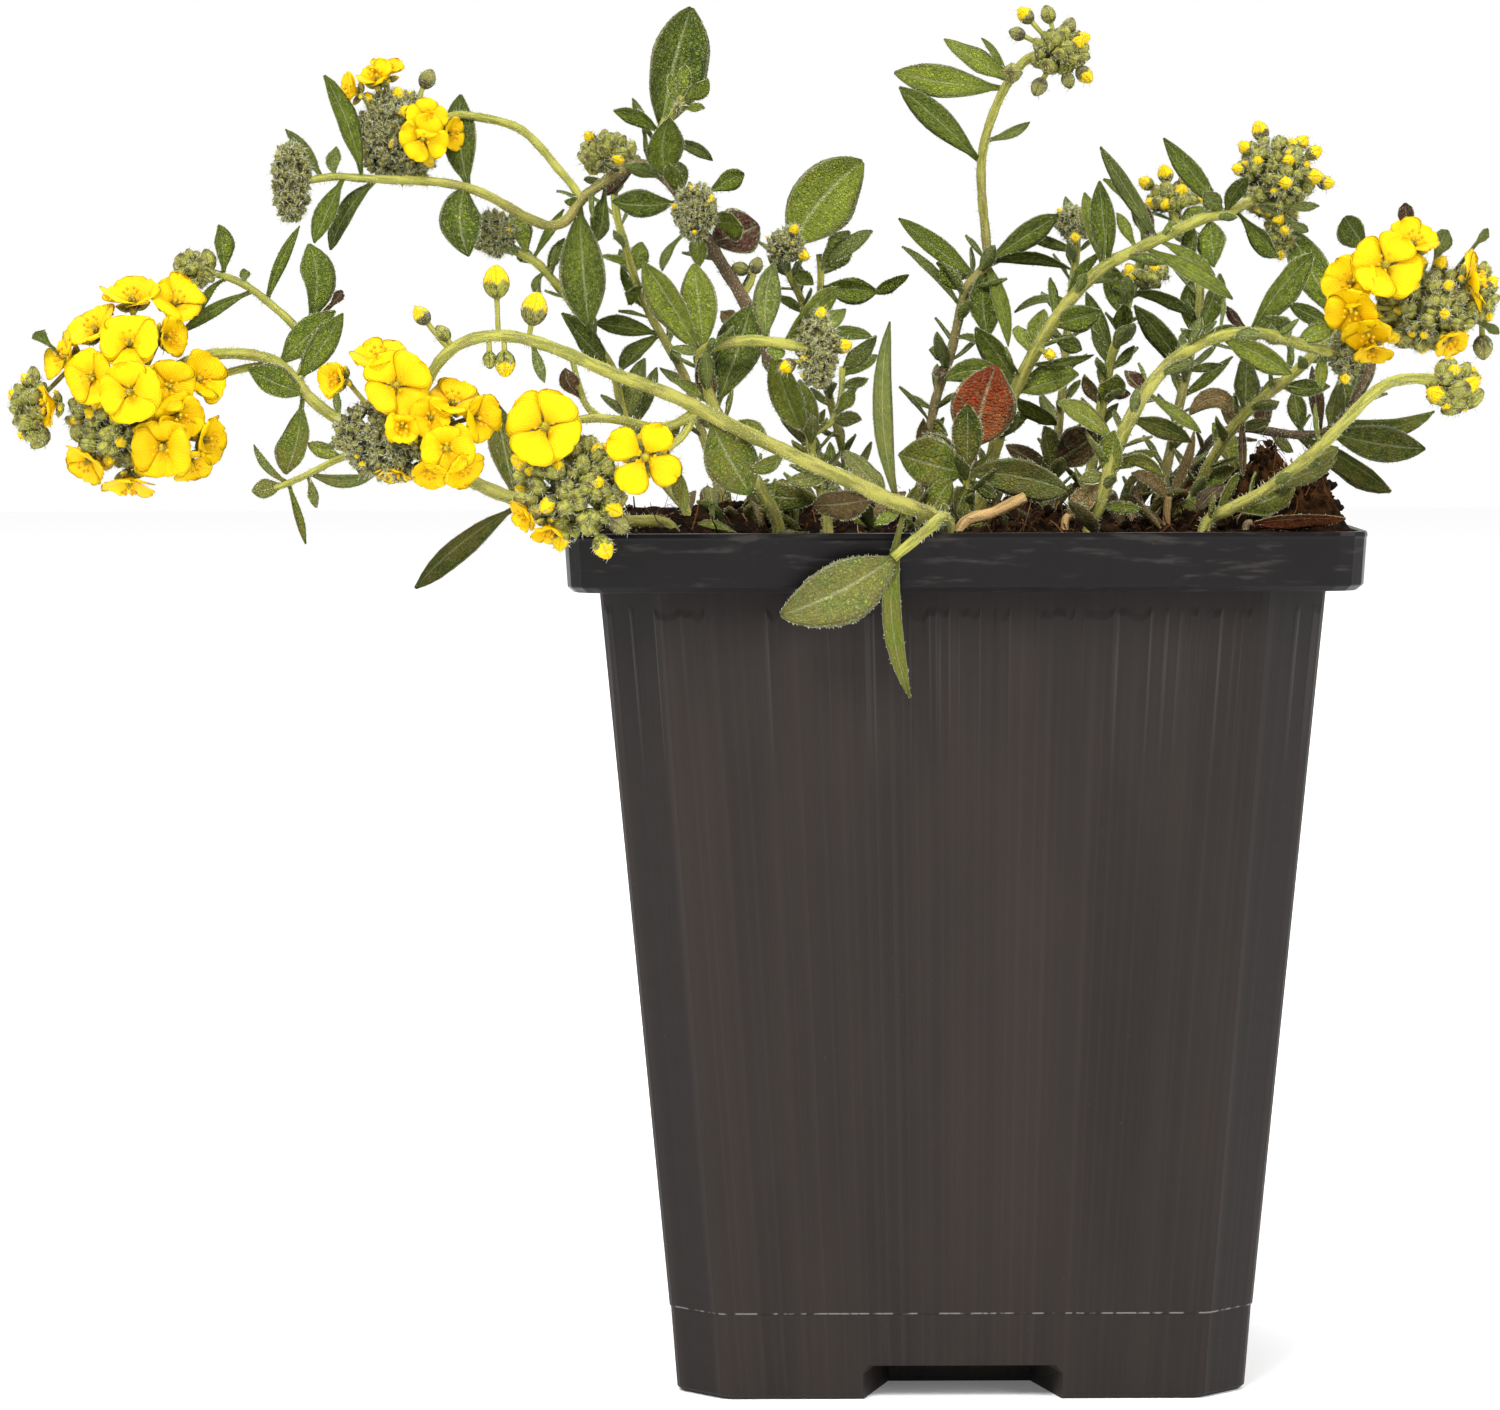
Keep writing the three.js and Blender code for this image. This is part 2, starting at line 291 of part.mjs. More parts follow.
  ['shoot_m', 36.5, 121.5, 41, 122.8, 2.2, 0, 2, 2],
  ['shoot_m', 18.3, 112.6, 25, 110, 2.3, 0.4, 4, 1],
  ['shoot_m', 20, 115.3, 17.5, 118, 1.7, 0, 1, 4],
  ['shoot_m', 20.2, 115.4, 26.1, 111, 1.5, 0, -2, 0],
  ['shoot_m', 14.6, 103, 19.5, 102.6, 1.4, 0, 0, 0],
  ['shoot_m', 14.3, 102.6, 11.9, 102.5, 1.5, 0, -1, 0],
  ['shoot_m', 31.4, 122.4, 38.5, 131, 3.4, 0.2, 4, 0],
  ['shoot_m', 31.6, 122.6, 28.7, 125.2, 1.2, 0.3, 2, 4],
  ['shoot_n', 29.3, 102.4, 36.5, 105.3, 3.4, -0.5, 3, 0],
  ['shoot_n', 33, 105.2, 41.3, 108.4, 2.2, -0.4, 3, 3],
  ['shoot_n', 27.6, 102, 30.3, 106.7, 1.3, 0.2, 2, 0],
  ['shoot_o', 18, 126.3, 15.4, 130, 1.9, 0, -1, 2],
  ['shoot_o', 17.2, 124, 15.2, 128.8, 1.7, 0, 2, 1],
  ['shoot_o', 17, 122, 17.4, 125.5, 2.2, 0, -3, 0],
  ['shoot_o', 18.3, 126.6, 25.2, 124, 1.6, 0.7, -3, 1],
  ['shoot_o', 15.9, 118, 18.6, 120.8, 1.2, -0.3, -1, 1],
  ['shoot_o', 16, 119.6, 13.2, 126.8, 2, 0, 3, 1],
  ['shoot_o', 15.3, 118.6, 13.8, 122.8, 1.1, 0, -2, 3],
  ['shoot_o', 14.8, 113.8, 16.7, 117.6, 2.7, 0, -2, 2],
  ['shoot_o', 14.6, 114, 13, 117.6, 1.5, 0, -2, 6],
  ['shoot_o', 15.2, 115.6, 18.2, 115.4, 1.4, 0, 1, 4],
  ['shoot_p', 25.2, 121.8, 25.2, 128.3, 1.8, 0.8, 2, 1],
  ['shoot_p', 25.6, 121.3, 28.1, 128.8, 2.3, -0.3, -2, 1],
  ['shoot_p', 24.3, 117.6, 18.5, 125.3, 2.8, -0.3, -4, 1],
  ['shoot_p', 24.4, 117.6, 22.6, 121.8, 1.5, 0, 2, 1],
  ['shoot_p', 24.5, 118, 28.5, 118.7, 1, 0, -1, 1],
  ['shoot_p', 23.8, 115, 29.6, 119.6, 1.3, 0, 2, 0],
  ['shoot_p', 23.2, 133.8, 26.4, 136, 1.9, 0, -2, 2],
  ['shoot_q', 41.2, 122.6, 35.7, 125.3, 2, 0, 2, 1],
  ['shoot_q', 41.8, 123.2, 35.8, 133.8, 4.2, 0.3, 4, 0],
  ['shoot_q', 30.8, 113.2, 31.2, 120.3, 2.8, 0, 3, 1],
  ['shoot_q', 34.7, 116.2, 40.4, 116.2, 2, -0.3, -2, 1],
  ['shoot_q', 30.5, 112.8, 30.7, 105.9, 1, 0, -2, 4],
  ['shoot_q', 30.2, 112.6, 24.6, 112.9, 2.4, -2.2, 2, 6],
  ['shoot_q', 29.4, 111.4, 28.3, 115, 1.4, 0, 2, 6],
  ['shoot_q', 25.6, 105, 29.9, 107.2, 2, 0, -2, 0],
  ['shoot_r', 12.1, 131.2, 5.4, 133.4, 1.3, 0, -1, 1],
  ['shoot_r', 12.2, 132.8, 10.9, 137.3, 1.6, 0, 3, 3],
  ['shoot_r', 11.5, 125.5, 5.2, 124.4, 1, -0.9, 1, 3],
  ['shoot_t', 33.2, 111.5, 32.8, 116.2, 2.4, 0, 2, 4],
  ['shoot_t', 37.2, 111, 36.3, 115.7, 2.2, 0, 2, 1],
  ['shoot_t', 39.2, 111.3, 38.3, 118.5, 1.7, 0, 3, 4],
  ['shoot_t', 40.2, 111.5, 41.3, 116.8, 1.7, 0, -2, 3],
  ['shoot_t', 42, 113, 44.7, 121.8, 4, 0, 4, 1],
  ['shoot_t', 40, 111, 51.1, 109.2, 4.1, -0.3, -5, 1],
  ['shoot_t', 41.5, 112.4, 52.1, 113.5, 2.2, -1.4, -3, 0],
  ['shoot_t', 36.5, 110.8, 47.3, 104.4, 3, 0.2, -6, 1],
  ['head_e', 43.8, 129, 41.9, 135, 3.2, 0, 3, 1],
  ['head_e', 48.5, 131.5, 48.6, 136.5, 1.9, 0, 2, 4],
  ['head_e', 50.3, 130, 53.4, 133.4, 2.3, 0, 2, 3],
  ['head_e', 55.3, 130.5, 57.8, 133.6, 1.2, 0, 1, 3],
  ['head_e', 56.5, 124.6, 59.1, 121.9, 1.1, 0, -1, 3],
  ['shoot_s', 0, 106.8, 0.1, 114.4, 3.5, 0, -2, 1],
  ['shoot_s', -0.3, 106.6, -7.6, 108.8, 6, 0, -5, 0],
  ['shoot_s', 0.3, 106.8, 11.4, 104.6, 4.6, 0.5, -7, 3],
  ['shoot_s', 0.3, 105.4, -1.3, 101.9, 3, 0, -4, 1],
  ['shoot_s', 0, 106.9, -5.2, 111, 3.2, 0, 4, 4],
  ['shoot_s', 0.5, 106, 3.4, 103.9, 1.7, 0, -2, 1],
  ['shoot_u', 9.6, 107.3, 8.6, 111.9, 2.4, 0, -2, 1],
  ['shoot_u', 9.8, 107.3, 14.5, 111.3, 4.4, 0, -2, 4],
  ['shoot_u', 9.4, 106.8, 4.3, 109.8, 2.3, 0, 3, 4],
  ['leaf_red', 0.9, 109.6, 3.3, 118.7, 7.4, 0.3, -1, 5],
  ['leaf_red_low', 31.6, 101.1, 42.3, 101.5, 1.8, 0.1, -0.5, 5],
  ['dead_leaf_front', 11.3, 101.8, 14.7, 105.4, 2.7, 0, -1, 6],
  ['dead_leaf_mid', 22.4, 103.8, 25.3, 111.5, 1.2, -0.5, -1, 6],
  ['dead_leaf_mid', 22.3, 103.4, 18.2, 106.6, 1.7, -0.8, -1, 6],
];

// Dense heads of buds. Each row: node, centre [x, z, y], half sizes [x, z, y], buds, bud length.
const HEADS = [
  ['head_a', [-94, 113, -20], [5.6, 4.6, 4.2], 16, 2.6],
  ['head_a', [-104.2, 114.3, -20], [1.5, 3.4, 1.6], 9, 2],
  ['shoot_a', [-85.6, 129.6, -14], [1.7, 1.4, 1.6], 8, 2],
  ['head_b', [-63.5, 111.2, -49], [6, 4.6, 3.6], 18, 2.2],
  ['head_c', [-44, 105.6, -48], [5.2, 4.9, 2.8], 20, 2.6],
  ['head_c2', [-33.7, 108.9, -50.8], [1.1, 1, 0.9], 0, 1],
  ['head_d', [-63, 144, 2], [4.2, 4.8, 3.8], 24, 1.8],
  ['shoot_d', [-74.9, 139.4, -2], [1.8, 4.2, 2], 14, 1.6],
  ['shoot_d', [-30, 135.7, -5], [2.2, 2.7, 2.2], 14, 1.5],
  ['shoot_e', [-52.4, 133.3, 9], [2, 2.3, 2], 10, 1.7],
  ['shoot_g', [-39.8, 142.4, 12], [2.6, 1.5, 2], 12, 2],
  ['shoot_h', [-16.5, 120.3, -39], [2.1, 3.6, 1.8], 14, 1.8],
  ['shoot_j', [-20.1, 132, 7], [1.8, 1.6, 1.8], 10, 1.8],
  ['shoot_k', [10.2, 153.5, 22], [2.4, 1.7, 1.8], 6, 2],
  ['shoot_l', [34.2, 139.4, -10], [3.8, 4, 3.2], 22, 2.2],
  ['shoot_l', [34.9, 133.6, -10], [1.2, 2.2, 1.4], 6, 1.6],
  ['shoot_m', [42, 119.8, -24], [1.5, 2.4, 1.7], 14, 1.8],
  ['shoot_o', [19.9, 128.7, 13], [2, 0.9, 1.6], 10, 1.8],
  ['shoot_p', [22.6, 137.2, 14], [2.3, 1.1, 1.8], 6, 1.8],
  ['shoot_r', [12, 134.4, 26], [1.9, 1.6, 1.8], 10, 1.7],
  ['head_n', [54, 116.4, -35], [2.1, 2.1, 2], 14, 2.3],
  ['head_e', [51, 125, -24], [4.6, 4, 3.6], 20, 2.2],
  ['head_e', [57, 126.3, -24], [1.3, 2.7, 1.5], 7, 1.7],
];

// Single buds on their own stalks. Each row: node, tip-side centre [x, z, y], length, yellow part.
const BUDS = [
  ['shoot_b', [-52.2, 128, -51], 3.8, 1],
  ['shoot_b', [-48, 125, -51], 3.8, 1],
  ['shoot_b', [-60.5, 124.3, -51], 2.4, 1],
  ['shoot_b', [-58.2, 122.3, -51], 2.2, 0],
  ['shoot_b', [-53, 119.4, -51], 2, 0],
  ['shoot_b', [-51.3, 119, -51], 3, 1],
  ['head_c', [-49.3, 108, -48.5], 3, 1],
  ['head_c', [-41.3, 109.2, -49], 2.2, 1],
  ['head_c', [-39.6, 103, -49.5], 3, 1],
  ['head_c', [-38.8, 101.2, -49], 3, 0],
  ['head_c', [-41.2, 105.8, -50.5], 2.2, 1],
  ['head_c', [-40.5, 98.6, -49.5], 3, 1],
  ['head_c', [-46.6, 103.3, -50.5], 2.6, 1],
  ['head_c', [-45.2, 99.4, -49.5], 2.6, 1],
  ['head_c2', [-32.6, 107.6, -50], 2.6, 0],
  ['head_d', [-63, 148.6, 1], 2.2, 1],
  ['head_d', [-66.1, 148.2, 1], 2, 1],
  ['head_d', [-62.2, 146.8, -2], 2.2, 1],
  ['head_d', [-59.8, 141.5, 0], 2.2, 1],
  ['head_d', [-62, 139.6, 0], 1.8, 1],
  ['head_d', [-60.2, 139.4, 0], 2, 1],
  ['head_d', [-59.7, 150.4, 2], 2.6, 0],
  ['shoot_d', [-32, 147.3, -2.5], 2.2, 0],
  ['shoot_d', [-25.1, 129.4, 0], 2.2, 0],
  ['shoot_d', [-23.4, 129.7, 0], 2.2, 0],
  ['shoot_g', [-41.7, 143.9, 11], 1.9, 1],
  ['shoot_g', [-38.7, 141.6, 10], 2.4, 1],
  ['shoot_h', [-16.2, 124.2, -39.5], 2, 1],
  ['shoot_h', [-19.9, 118.6, -40.5], 2.2, 1],
  ['shoot_h', [-13.8, 120.8, -39.5], 2.2, 1],
  ['shoot_j', [-19.2, 133.6, 5.5], 1.8, 1],
  ['shoot_j', [-18.2, 130.9, 5.5], 2, 1],
  ['shoot_k', [6.5, 157.2, 22], 2.5, 1],
  ['shoot_k', [9, 157.3, 22], 2.4, 0],
  ['shoot_k', [5.6, 155.2, 22], 2.2, 0],
  ['shoot_k', [11.3, 156, 22], 2.3, 0],
  ['shoot_k', [12.7, 154.6, 21.5], 2.3, 1],
  ['shoot_k', [12.7, 152.8, 21.5], 2.2, 0],
  ['shoot_k', [13, 150.7, 21.5], 2.6, 1],
  ['shoot_k', [11.2, 150.1, 21.5], 2.2, 0],
  ['shoot_k', [8, 149.4, 21], 2.6, 0],
  ['shoot_k', [5, 150.9, 19.8], 3.4, 0],
  ['shoot_l', [32.5, 144.4, -10], 2.6, 1],
  ['shoot_l', [30.9, 142.5, -11], 2.2, 1],
  ['shoot_l', [30.2, 140.2, -12], 2, 1],
  ['shoot_l', [37, 143, -10], 2.3, 1],
  ['shoot_l', [38.4, 142, -11], 2.2, 1],
  ['shoot_l', [38.4, 139.4, -13], 2.5, 1],
  ['shoot_l', [39.7, 138.7, -11], 2.2, 1],
  ['shoot_l', [35.3, 138.7, -14], 2.2, 1],
  ['shoot_l', [35.2, 133.4, -12], 1.8, 1],
  ['shoot_l', [34.8, 131, -10.5], 1.8, 1],
  ['shoot_l', [9.2, 119.8, -18.5], 1.9, 1],
  ['shoot_p', [19.9, 138.7, 13.5], 2.2, 1],
  ['shoot_p', [22, 139.7, 13], 2.5, 1],
  ['shoot_p', [24.1, 138.9, 13.5], 2.1, 1],
  ['shoot_p', [25.8, 137.1, 13.5], 2.1, 1],
  ['shoot_r', [12, 132.8, 24], 1.8, 1],
  ['shoot_m', [42, 117.2, -25.5], 1.8, 1],
  ['head_e', [47.5, 121.8, -26], 2.4, 1],
  ['head_e', [49.6, 127.3, -28], 2, 1],
  ['head_e', [50.3, 129.7, -26], 2.2, 1],
  ['head_e', [52.5, 129.5, -25], 2.4, 1],
  ['head_e', [53.4, 127.2, -27], 2, 1],
  ['head_e', [53, 124.2, -28], 1.8, 1],
  ['head_e', [50.6, 120.8, -25], 2.2, 1],
  ['head_e', [45.9, 123.8, -26], 1.9, 1],
  ['head_e', [57.3, 120.5, -23], 3, 0],
];

// Open flowers. Each row: node, centre [x, z, y], width across, turn to the side, tilt up, cup.
// A turn and a tilt of 0 face the eye point; angles in degrees.
const FLOWERS = [
  ['head_a', [-92.6, 126, -19], 6.2, -10, 60, 30],
  ['head_a', [-87.9, 125.9, -19], 6, 25, 35, 25],
  ['head_a', [-96.6, 122.8, -20], 6.4, -40, 45, 30],
  ['head_a', [-93, 121.4, -24], 6.4, 0, 30, 20],
  ['head_a', [-89, 122, -21], 5.6, 55, 0, 40],
  ['head_a', [-99.8, 119.7, -20], 6, -60, 20, 30],
  ['head_a', [-97.2, 117.6, -25], 6, -20, 0, 20],
  ['head_a', [-93, 116, -27], 6.8, 0, -5, 15],
  ['head_a', [-88.6, 116.6, -25], 5.6, 20, -5, 20],
  ['head_a', [-85.3, 117.3, -21], 6, 40, 20, 30],
  ['head_a', [-87.6, 113.2, -24], 5.6, 30, -20, 20],
  ['head_a', [-101.6, 114.6, -22], 5.6, -75, -10, 30],
  ['head_a', [-89.4, 109.9, -24], 7, -5, -25, 20],
  ['head_a', [-93.2, 106, -21], 6, 0, -75, 25],
  ['head_a', [-97.7, 108.3, -21], 5.4, -40, -40, 30],
  ['head_a', [-84.6, 110.6, -21], 5.6, 65, 0, 30],
  ['head_a', [-86.2, 108.1, -22], 5, 40, -45, 30],
  ['head_b', [-65.2, 119.4, -50], 6.4, -10, 60, 30],
  ['head_b', [-63.4, 116.6, -53], 7.4, 5, 10, 15],
  ['head_b', [-69.7, 117.3, -50], 5.4, -45, 0, 45],
  ['head_b', [-62.7, 112.2, -54], 4.8, -5, -20, 40],
  ['head_b', [-57.2, 114.6, -51], 6, 10, 55, 30],
  ['head_b', [-59.6, 113, -53], 5, 10, 0, 25],
  ['head_b', [-54.4, 112.9, -51], 5.8, 45, -5, 30],
  ['head_b', [-57.9, 109.6, -53], 6, 5, -10, 20],
  ['head_b', [-56.2, 107.6, -51], 5.2, 40, -40, 30],
  ['head_b', [-59.6, 107.2, -52], 5, -10, -45, 30],
  ['head_b', [-63.6, 107.3, -50], 4.4, -20, -70, 35],
  ['head_c', [-46.9, 112, -51.5], 8.2, 0, 5, 10],
  ['head_c', [-48.9, 102.4, -49.5], 4.8, -60, -30, 35],
  ['head_c', [-46.7, 100.6, -50], 4.6, -10, -65, 35],
  ['head_c2', [-35.8, 108.6, -52.5], 8.2, 5, -5, 10],
  ['head_d', [-65.3, 150.4, 1], 4.8, -20, 50, 35],
  ['head_d', [-64.2, 151.2, 3], 4.6, 10, 65, 35],
  ['head_d', [-67.9, 149, 0], 4.8, -65, 10, 35],
  ['head_d', [-59.8, 146.2, -3], 4.8, 10, 20, 20],
  ['head_d', [-60.2, 143.9, -3.5], 5.2, 5, -10, 15],
  ['head_d', [-57.2, 144.4, 0], 4, 55, 0, 30],
  ['head_e', [46.4, 129.6, -29], 7.6, 0, 10, 15],
  ['head_e', [42.6, 127.7, -28], 6.4, -25, 10, 20],
  ['head_e', [49.4, 131.9, -26], 6.2, 20, 50, 30],
  ['head_e', [42.8, 124.7, -29], 6, -20, -30, 20],
  ['head_e', [44.4, 122.4, -28], 5.6, 0, -55, 25],
  ['head_e', [45, 120.2, -27], 4.4, 10, -65, 30],
  ['head_e', [55.9, 127.8, -26], 6.8, 70, 10, 20],
  ['head_e', [53.7, 121.2, -25.5], 4.4, 20, -45, 30],
];

// Lumps in the soil. Each row: real x, real y, height, radius.
const LUMPS = [
  [41, -29, 7.2, 7], [35, -34, 4, 6], [39, 12, 9.4, 5.5], [31, 17, 5, 6], [42, 22, 4, 6], [12, -20, 1.6, 6],
  [24, -28, 1.8, 6], [-8, 5, 1.6, 9], [-28, 10, 2, 8], [8, 26, 2, 9],
];

const COLOURS = {
  pot: [0x2b2a2c, 0.5],
  soil: [0x3a2418, 0.95],
  shoot: [0x5c7a35, 0.75],
  head_a: [0xf2d600, 0.6],
  head_b: [0xf2d600, 0.6],
  head_c: [0xc9bf2a, 0.65],
  head_c2: [0xf2d600, 0.6],
  head_d: [0x8d8a45, 0.7],
  head_e: [0xd8c81e, 0.6],
  head_n: [0xb08a2c, 0.7],
  shoot_t: [0x4a4a2c, 0.8],
  leaf_red: [0xa8361c, 0.6],
  leaf_red_low: [0x6e2420, 0.7],
  twig: [0xb98a4a, 0.85],
  dead_leaf_front: [0xa97f49, 0.85],
  dead_leaf_mid: [0xb48a4e, 0.85],
};

const wasm = await Module();
wasm.setup();

// Seeded random numbers from 0 to 1.
function makeRandom(seed) {
  let state = (seed * 48271) % 2147483647;
  state = (state * 48271) % 2147483647;
  return function next() {
    state = (state * 48271) % 2147483647;
    return state / 2147483647;
  };
}

// The real point, at depth y, that shows at x, z on the plane of the rim's front edge.
function real(x, z, y) {
  const k = (y - EYE[1]) / (SEEN_DEPTH - EYE[1]);
  return new THREE.Vector3(EYE[0] + (x - EYE[0]) * k, y, EYE[2] + (z - EYE[2]) * k);
}

function depthScale(y) {
  return (y - EYE[1]) / (SEEN_DEPTH - EYE[1]);
}

// A closed solid from points and triangles that share their points.
function solid(points, triangles) {
  const vertProperties = new Float32Array(points.length * 3);
  points.forEach((p, i) => {
    vertProperties[3 * i] = p.x;
    vertProperties[3 * i + 1] = p.y;
    vertProperties[3 * i + 2] = p.z;
  });
  const mesh = new wasm.Mesh({ numProp: 3, vertProperties, triVerts: new Uint32Array(triangles.flat()) });
  return new wasm.Manifold(mesh);
}

// Rings of points joined into a closed skin. A ring may be a single point at either end.
function loft(rings) {
  const points = rings.flat();
  const starts = [];
  let count = 0;
  rings.forEach((ring) => {
    starts.push(count);
    count += ring.length;
  });
  const triangles = [];
  for (let r = 0; r < rings.length - 1; r += 1) {
    const n = Math.max(rings[r].length, rings[r + 1].length);
    for (let i = 0; i < n; i += 1) {
      const j = (i + 1) % n;
      if (rings[r].length === 1) {
        triangles.push([starts[r], starts[r + 1] + j, starts[r + 1] + i]);
      } else if (rings[r + 1].length === 1) {
        triangles.push([starts[r] + i, starts[r] + j, starts[r + 1]]);
      } else {
        triangles.push([starts[r] + i, starts[r] + j, starts[r + 1] + j]);
        triangles.push([starts[r] + i, starts[r + 1] + j, starts[r + 1] + i]);
      }
    }
  }
  return solid(points, triangles);
}

// Leaves out the points of a path that lie close to the line between their neighbours.
function eased(points) {
  const kept = [points[0]];
  const near = new THREE.Vector3();
  let from = 0;
  for (let i = 2; i < points.length; i += 1) {
    const chord = new THREE.Line3(points[from], points[i]);
    const between = points.slice(from + 1, i);
    if (between.some((p) => chord.closestPointToPoint(p, true, near).distanceTo(p) > PATH_SLACK)) {
      kept.push(points[i - 1]);
      from = i - 1;
    }
  }
  kept.push(points[points.length - 1]);
  return kept;
}

// A round stem along points, with its radius running evenly from start to end.
function tube(points, startRadius, endRadius, sides) {
  const rings = [[points[0]]];
  let across = new THREE.Vector3(1, 0, 0);
  const steps = points.length;
  for (let i = 0; i < steps; i += 1) {
    const before = points[Math.max(i - 1, 0)];
    const after = points[Math.min(i + 1, steps - 1)];
    const along = after.clone().sub(before).normalize();
    across.addScaledVector(along, -across.dot(along));
    if (across.length() < 0.1) {
      across.set(0, 1, 0).addScaledVector(along, -along.y);
    }
    across = across.clone().normalize();
    const other = along.clone().cross(across);
    const radius = startRadius + (endRadius - startRadius) * (i / (steps - 1));
    const ring = [];
    for (let s = 0; s < sides; s += 1) {
      const angle = (2 * Math.PI * s) / sides;
      ring.push(points[i].clone()
        .addScaledVector(across, radius * Math.cos(angle))
        .addScaledVector(other, radius * Math.sin(angle)));
    }
    rings.push(ring);
  }
  rings.push([points[steps - 1]]);
  return loft(rings);
}

// A leaf: a pointed blade along a bowed midrib, flat behind, with a ridge in front.
function blade(start, middle, end, size, normal, stations, extra) {
  const curve = new THREE.QuadraticBezierCurve3(start, middle, end);
  const width = size[0] + 2 * extra;
  const thick = size[1] + 2 * extra;
  const rings = [[start.clone().addScaledVector(curve.getTangent(0), -extra)]];
  stations.forEach(([t, share]) => {
    const at = curve.getPoint(t);
    const along = curve.getTangent(t);
    const up = normal.clone().addScaledVector(along, -normal.dot(along)).normalize();
    const side = up.clone().cross(along);
    const half = Math.max(width * share, thick * 1.2) / 2;
    const back = at.clone().addScaledVector(up, -thick * 0.35);
    rings.push([
      back.clone().addScaledVector(side, half),
      at.clone().addScaledVector(up, thick * 0.65),
      back.clone().addScaledVector(side, -half),
    ]);
  });
  rings.push([end.clone().addScaledVector(curve.getTangent(1), 1.5 * extra)]);
  return loft(rings);
}

// Leaf shapes: shares of the length with the share of the full width there.
const LEAF_STATIONS = [[0.3, 0.8], [0.7, 0.95]];
const LONG_LEAF_STATIONS = [[0.1, 0.42], [0.42, 0.96], [0.76, 0.86]];
const BROAD_LEAF_STATIONS = [[0.1, 0.4], [0.34, 0.88], [0.62, 1], [0.86, 0.62]];

// A spindle with its widest place at a share of its length, for buds and their stalks.
function spindle(foot, tip, width, sides, belly, extra) {
  const along = tip.clone().sub(foot);
  const length = along.length();
  along.normalize();
  const helper = Math.abs(along.z) < 0.8 ? new THREE.Vector3(0, 0, 1) : new THREE.Vector3(1, 0, 0);
  const across = helper.cross(along).normalize();
  const other = along.clone().cross(across);
  const ring = [];
  for (let s = 0; s < sides; s += 1) {
    const angle = (2 * Math.PI * s) / sides;
    ring.push(foot.clone()
      .addScaledVector(along, length * belly)
      .addScaledVector(across, (width / 2 + extra) * Math.cos(angle))
      .addScaledVector(other, (width / 2 + extra) * Math.sin(angle)));
  }
  const low = foot.clone().addScaledVector(along, -extra);
  const high = tip.clone().addScaledVector(along, extra);
  return loft([[low], ring, [high]]);
}

// A dense head: an ellipsoid whose every other point is drawn out into a bud.
function budBall(centre, half, size, rows, seed, extra) {
  const next = makeRandom(seed);
  const sides = rows + 3;
  const place = (out, reach) => centre.clone().add(new THREE.Vector3(
    out.x * (half[0] + reach),
    out.y * (half[2] + reach),
    out.z * (half[1] + reach),
  ));
  const rings = [[place(new THREE.Vector3(0, 0, -1), extra)]];
  for (let l = 1; l < rows; l += 1) {
    const polar = (Math.PI * l) / rows;
    const ring = [];
    for (let s = 0; s < sides; s += 1) {
      const angle = (2 * Math.PI * (s + 0.5 * l)) / sides + 0.25 * (next() - 0.5);
      const lift = (s + l) % 2 === 0 ? size * (0.45 + 0.25 * next()) : -size * 0.22;
      const out = new THREE.Vector3(
        Math.sin(polar) * Math.cos(angle),
        Math.sin(polar) * Math.sin(angle),
        -Math.cos(polar),
      );
      ring.push(place(out, lift + extra));
    }
    rings.push(ring);
  }
  rings.push([place(new THREE.Vector3(0, 0, 1), extra + size * 0.3)]);
  return loft(rings);
}

// A flower of four petals as one thin cupped blade with a notched outline.
function flowerBlade(heart, facing, reach, cup, spin, extra) {
  const helper = Math.abs(facing.z) < 0.9 ? new THREE.Vector3(0, 0, 1) : new THREE.Vector3(1, 0, 0);
  const first = helper.clone().cross(facing).normalize();
  const second = facing.clone().cross(first);
  const petal = [[-0.5, 1], [0.5, 1], [1, 0.36]];
  const outline = [];
  for (let p = 0; p < 4; p += 1) {
    petal.forEach(([turn, share]) => {
      const angle = spin + ((p + turn * 0.5) * Math.PI) / 2;
      const far = reach * share + extra;
      const lift = share * Math.sin(cup);
      outline.push(heart.clone()
        .addScaledVector(first, far * Math.cos(cup) * Math.cos(angle))
        .addScaledVector(second, far * Math.cos(cup) * Math.sin(angle))
        .addScaledVector(facing, reach * lift));
    });
  }
  const front = heart.clone().addScaledVector(facing, 0.75 + extra);
  const back = heart.clone().addScaledVector(facing, -0.45 - extra);
  return loft([[back], outline, [front]]);
}

// The point of a node's stems that lies nearest to a seen point, with its depth and radius.
function nearestOnStems(name, x, z) {
  let best = null;
  ROUTES.filter((row) => row[0] === name).forEach(([, startRadius, endRadius, points]) => {
    for (let i = 0; i < points.length - 1; i += 1) {
      const [ax, az, ay] = points[i];
      const [bx, bz, by] = points[i + 1];
      const length2 = (bx - ax) ** 2 + (bz - az) ** 2;
      let t = length2 > 0 ? ((x - ax) * (bx - ax) + (z - az) * (bz - az)) / length2 : 0;
      t = Math.min(Math.max(t, 0), 1);
      const px = ax + (bx - ax) * t;
      const pz = az + (bz - az) * t;
      const away = Math.hypot(x - px, z - pz);
      if (best === null || away < best.away) {
        const share = (i + t) / (points.length - 1);
        const radius = startRadius + (endRadius - startRadius) * share;
        best = { away, x: px, z: pz, y: ay + (by - ay) * t, radius };
      }
    }
  });
  if (best === null) {
    const [hx, hz, hy] = HEADS.find((row) => row[0] === name)[1];
    best = { away: Math.hypot(x - hx, z - hz), x: hx, z: hz, y: hy, radius: 0.4 };
  }
  return best;
}

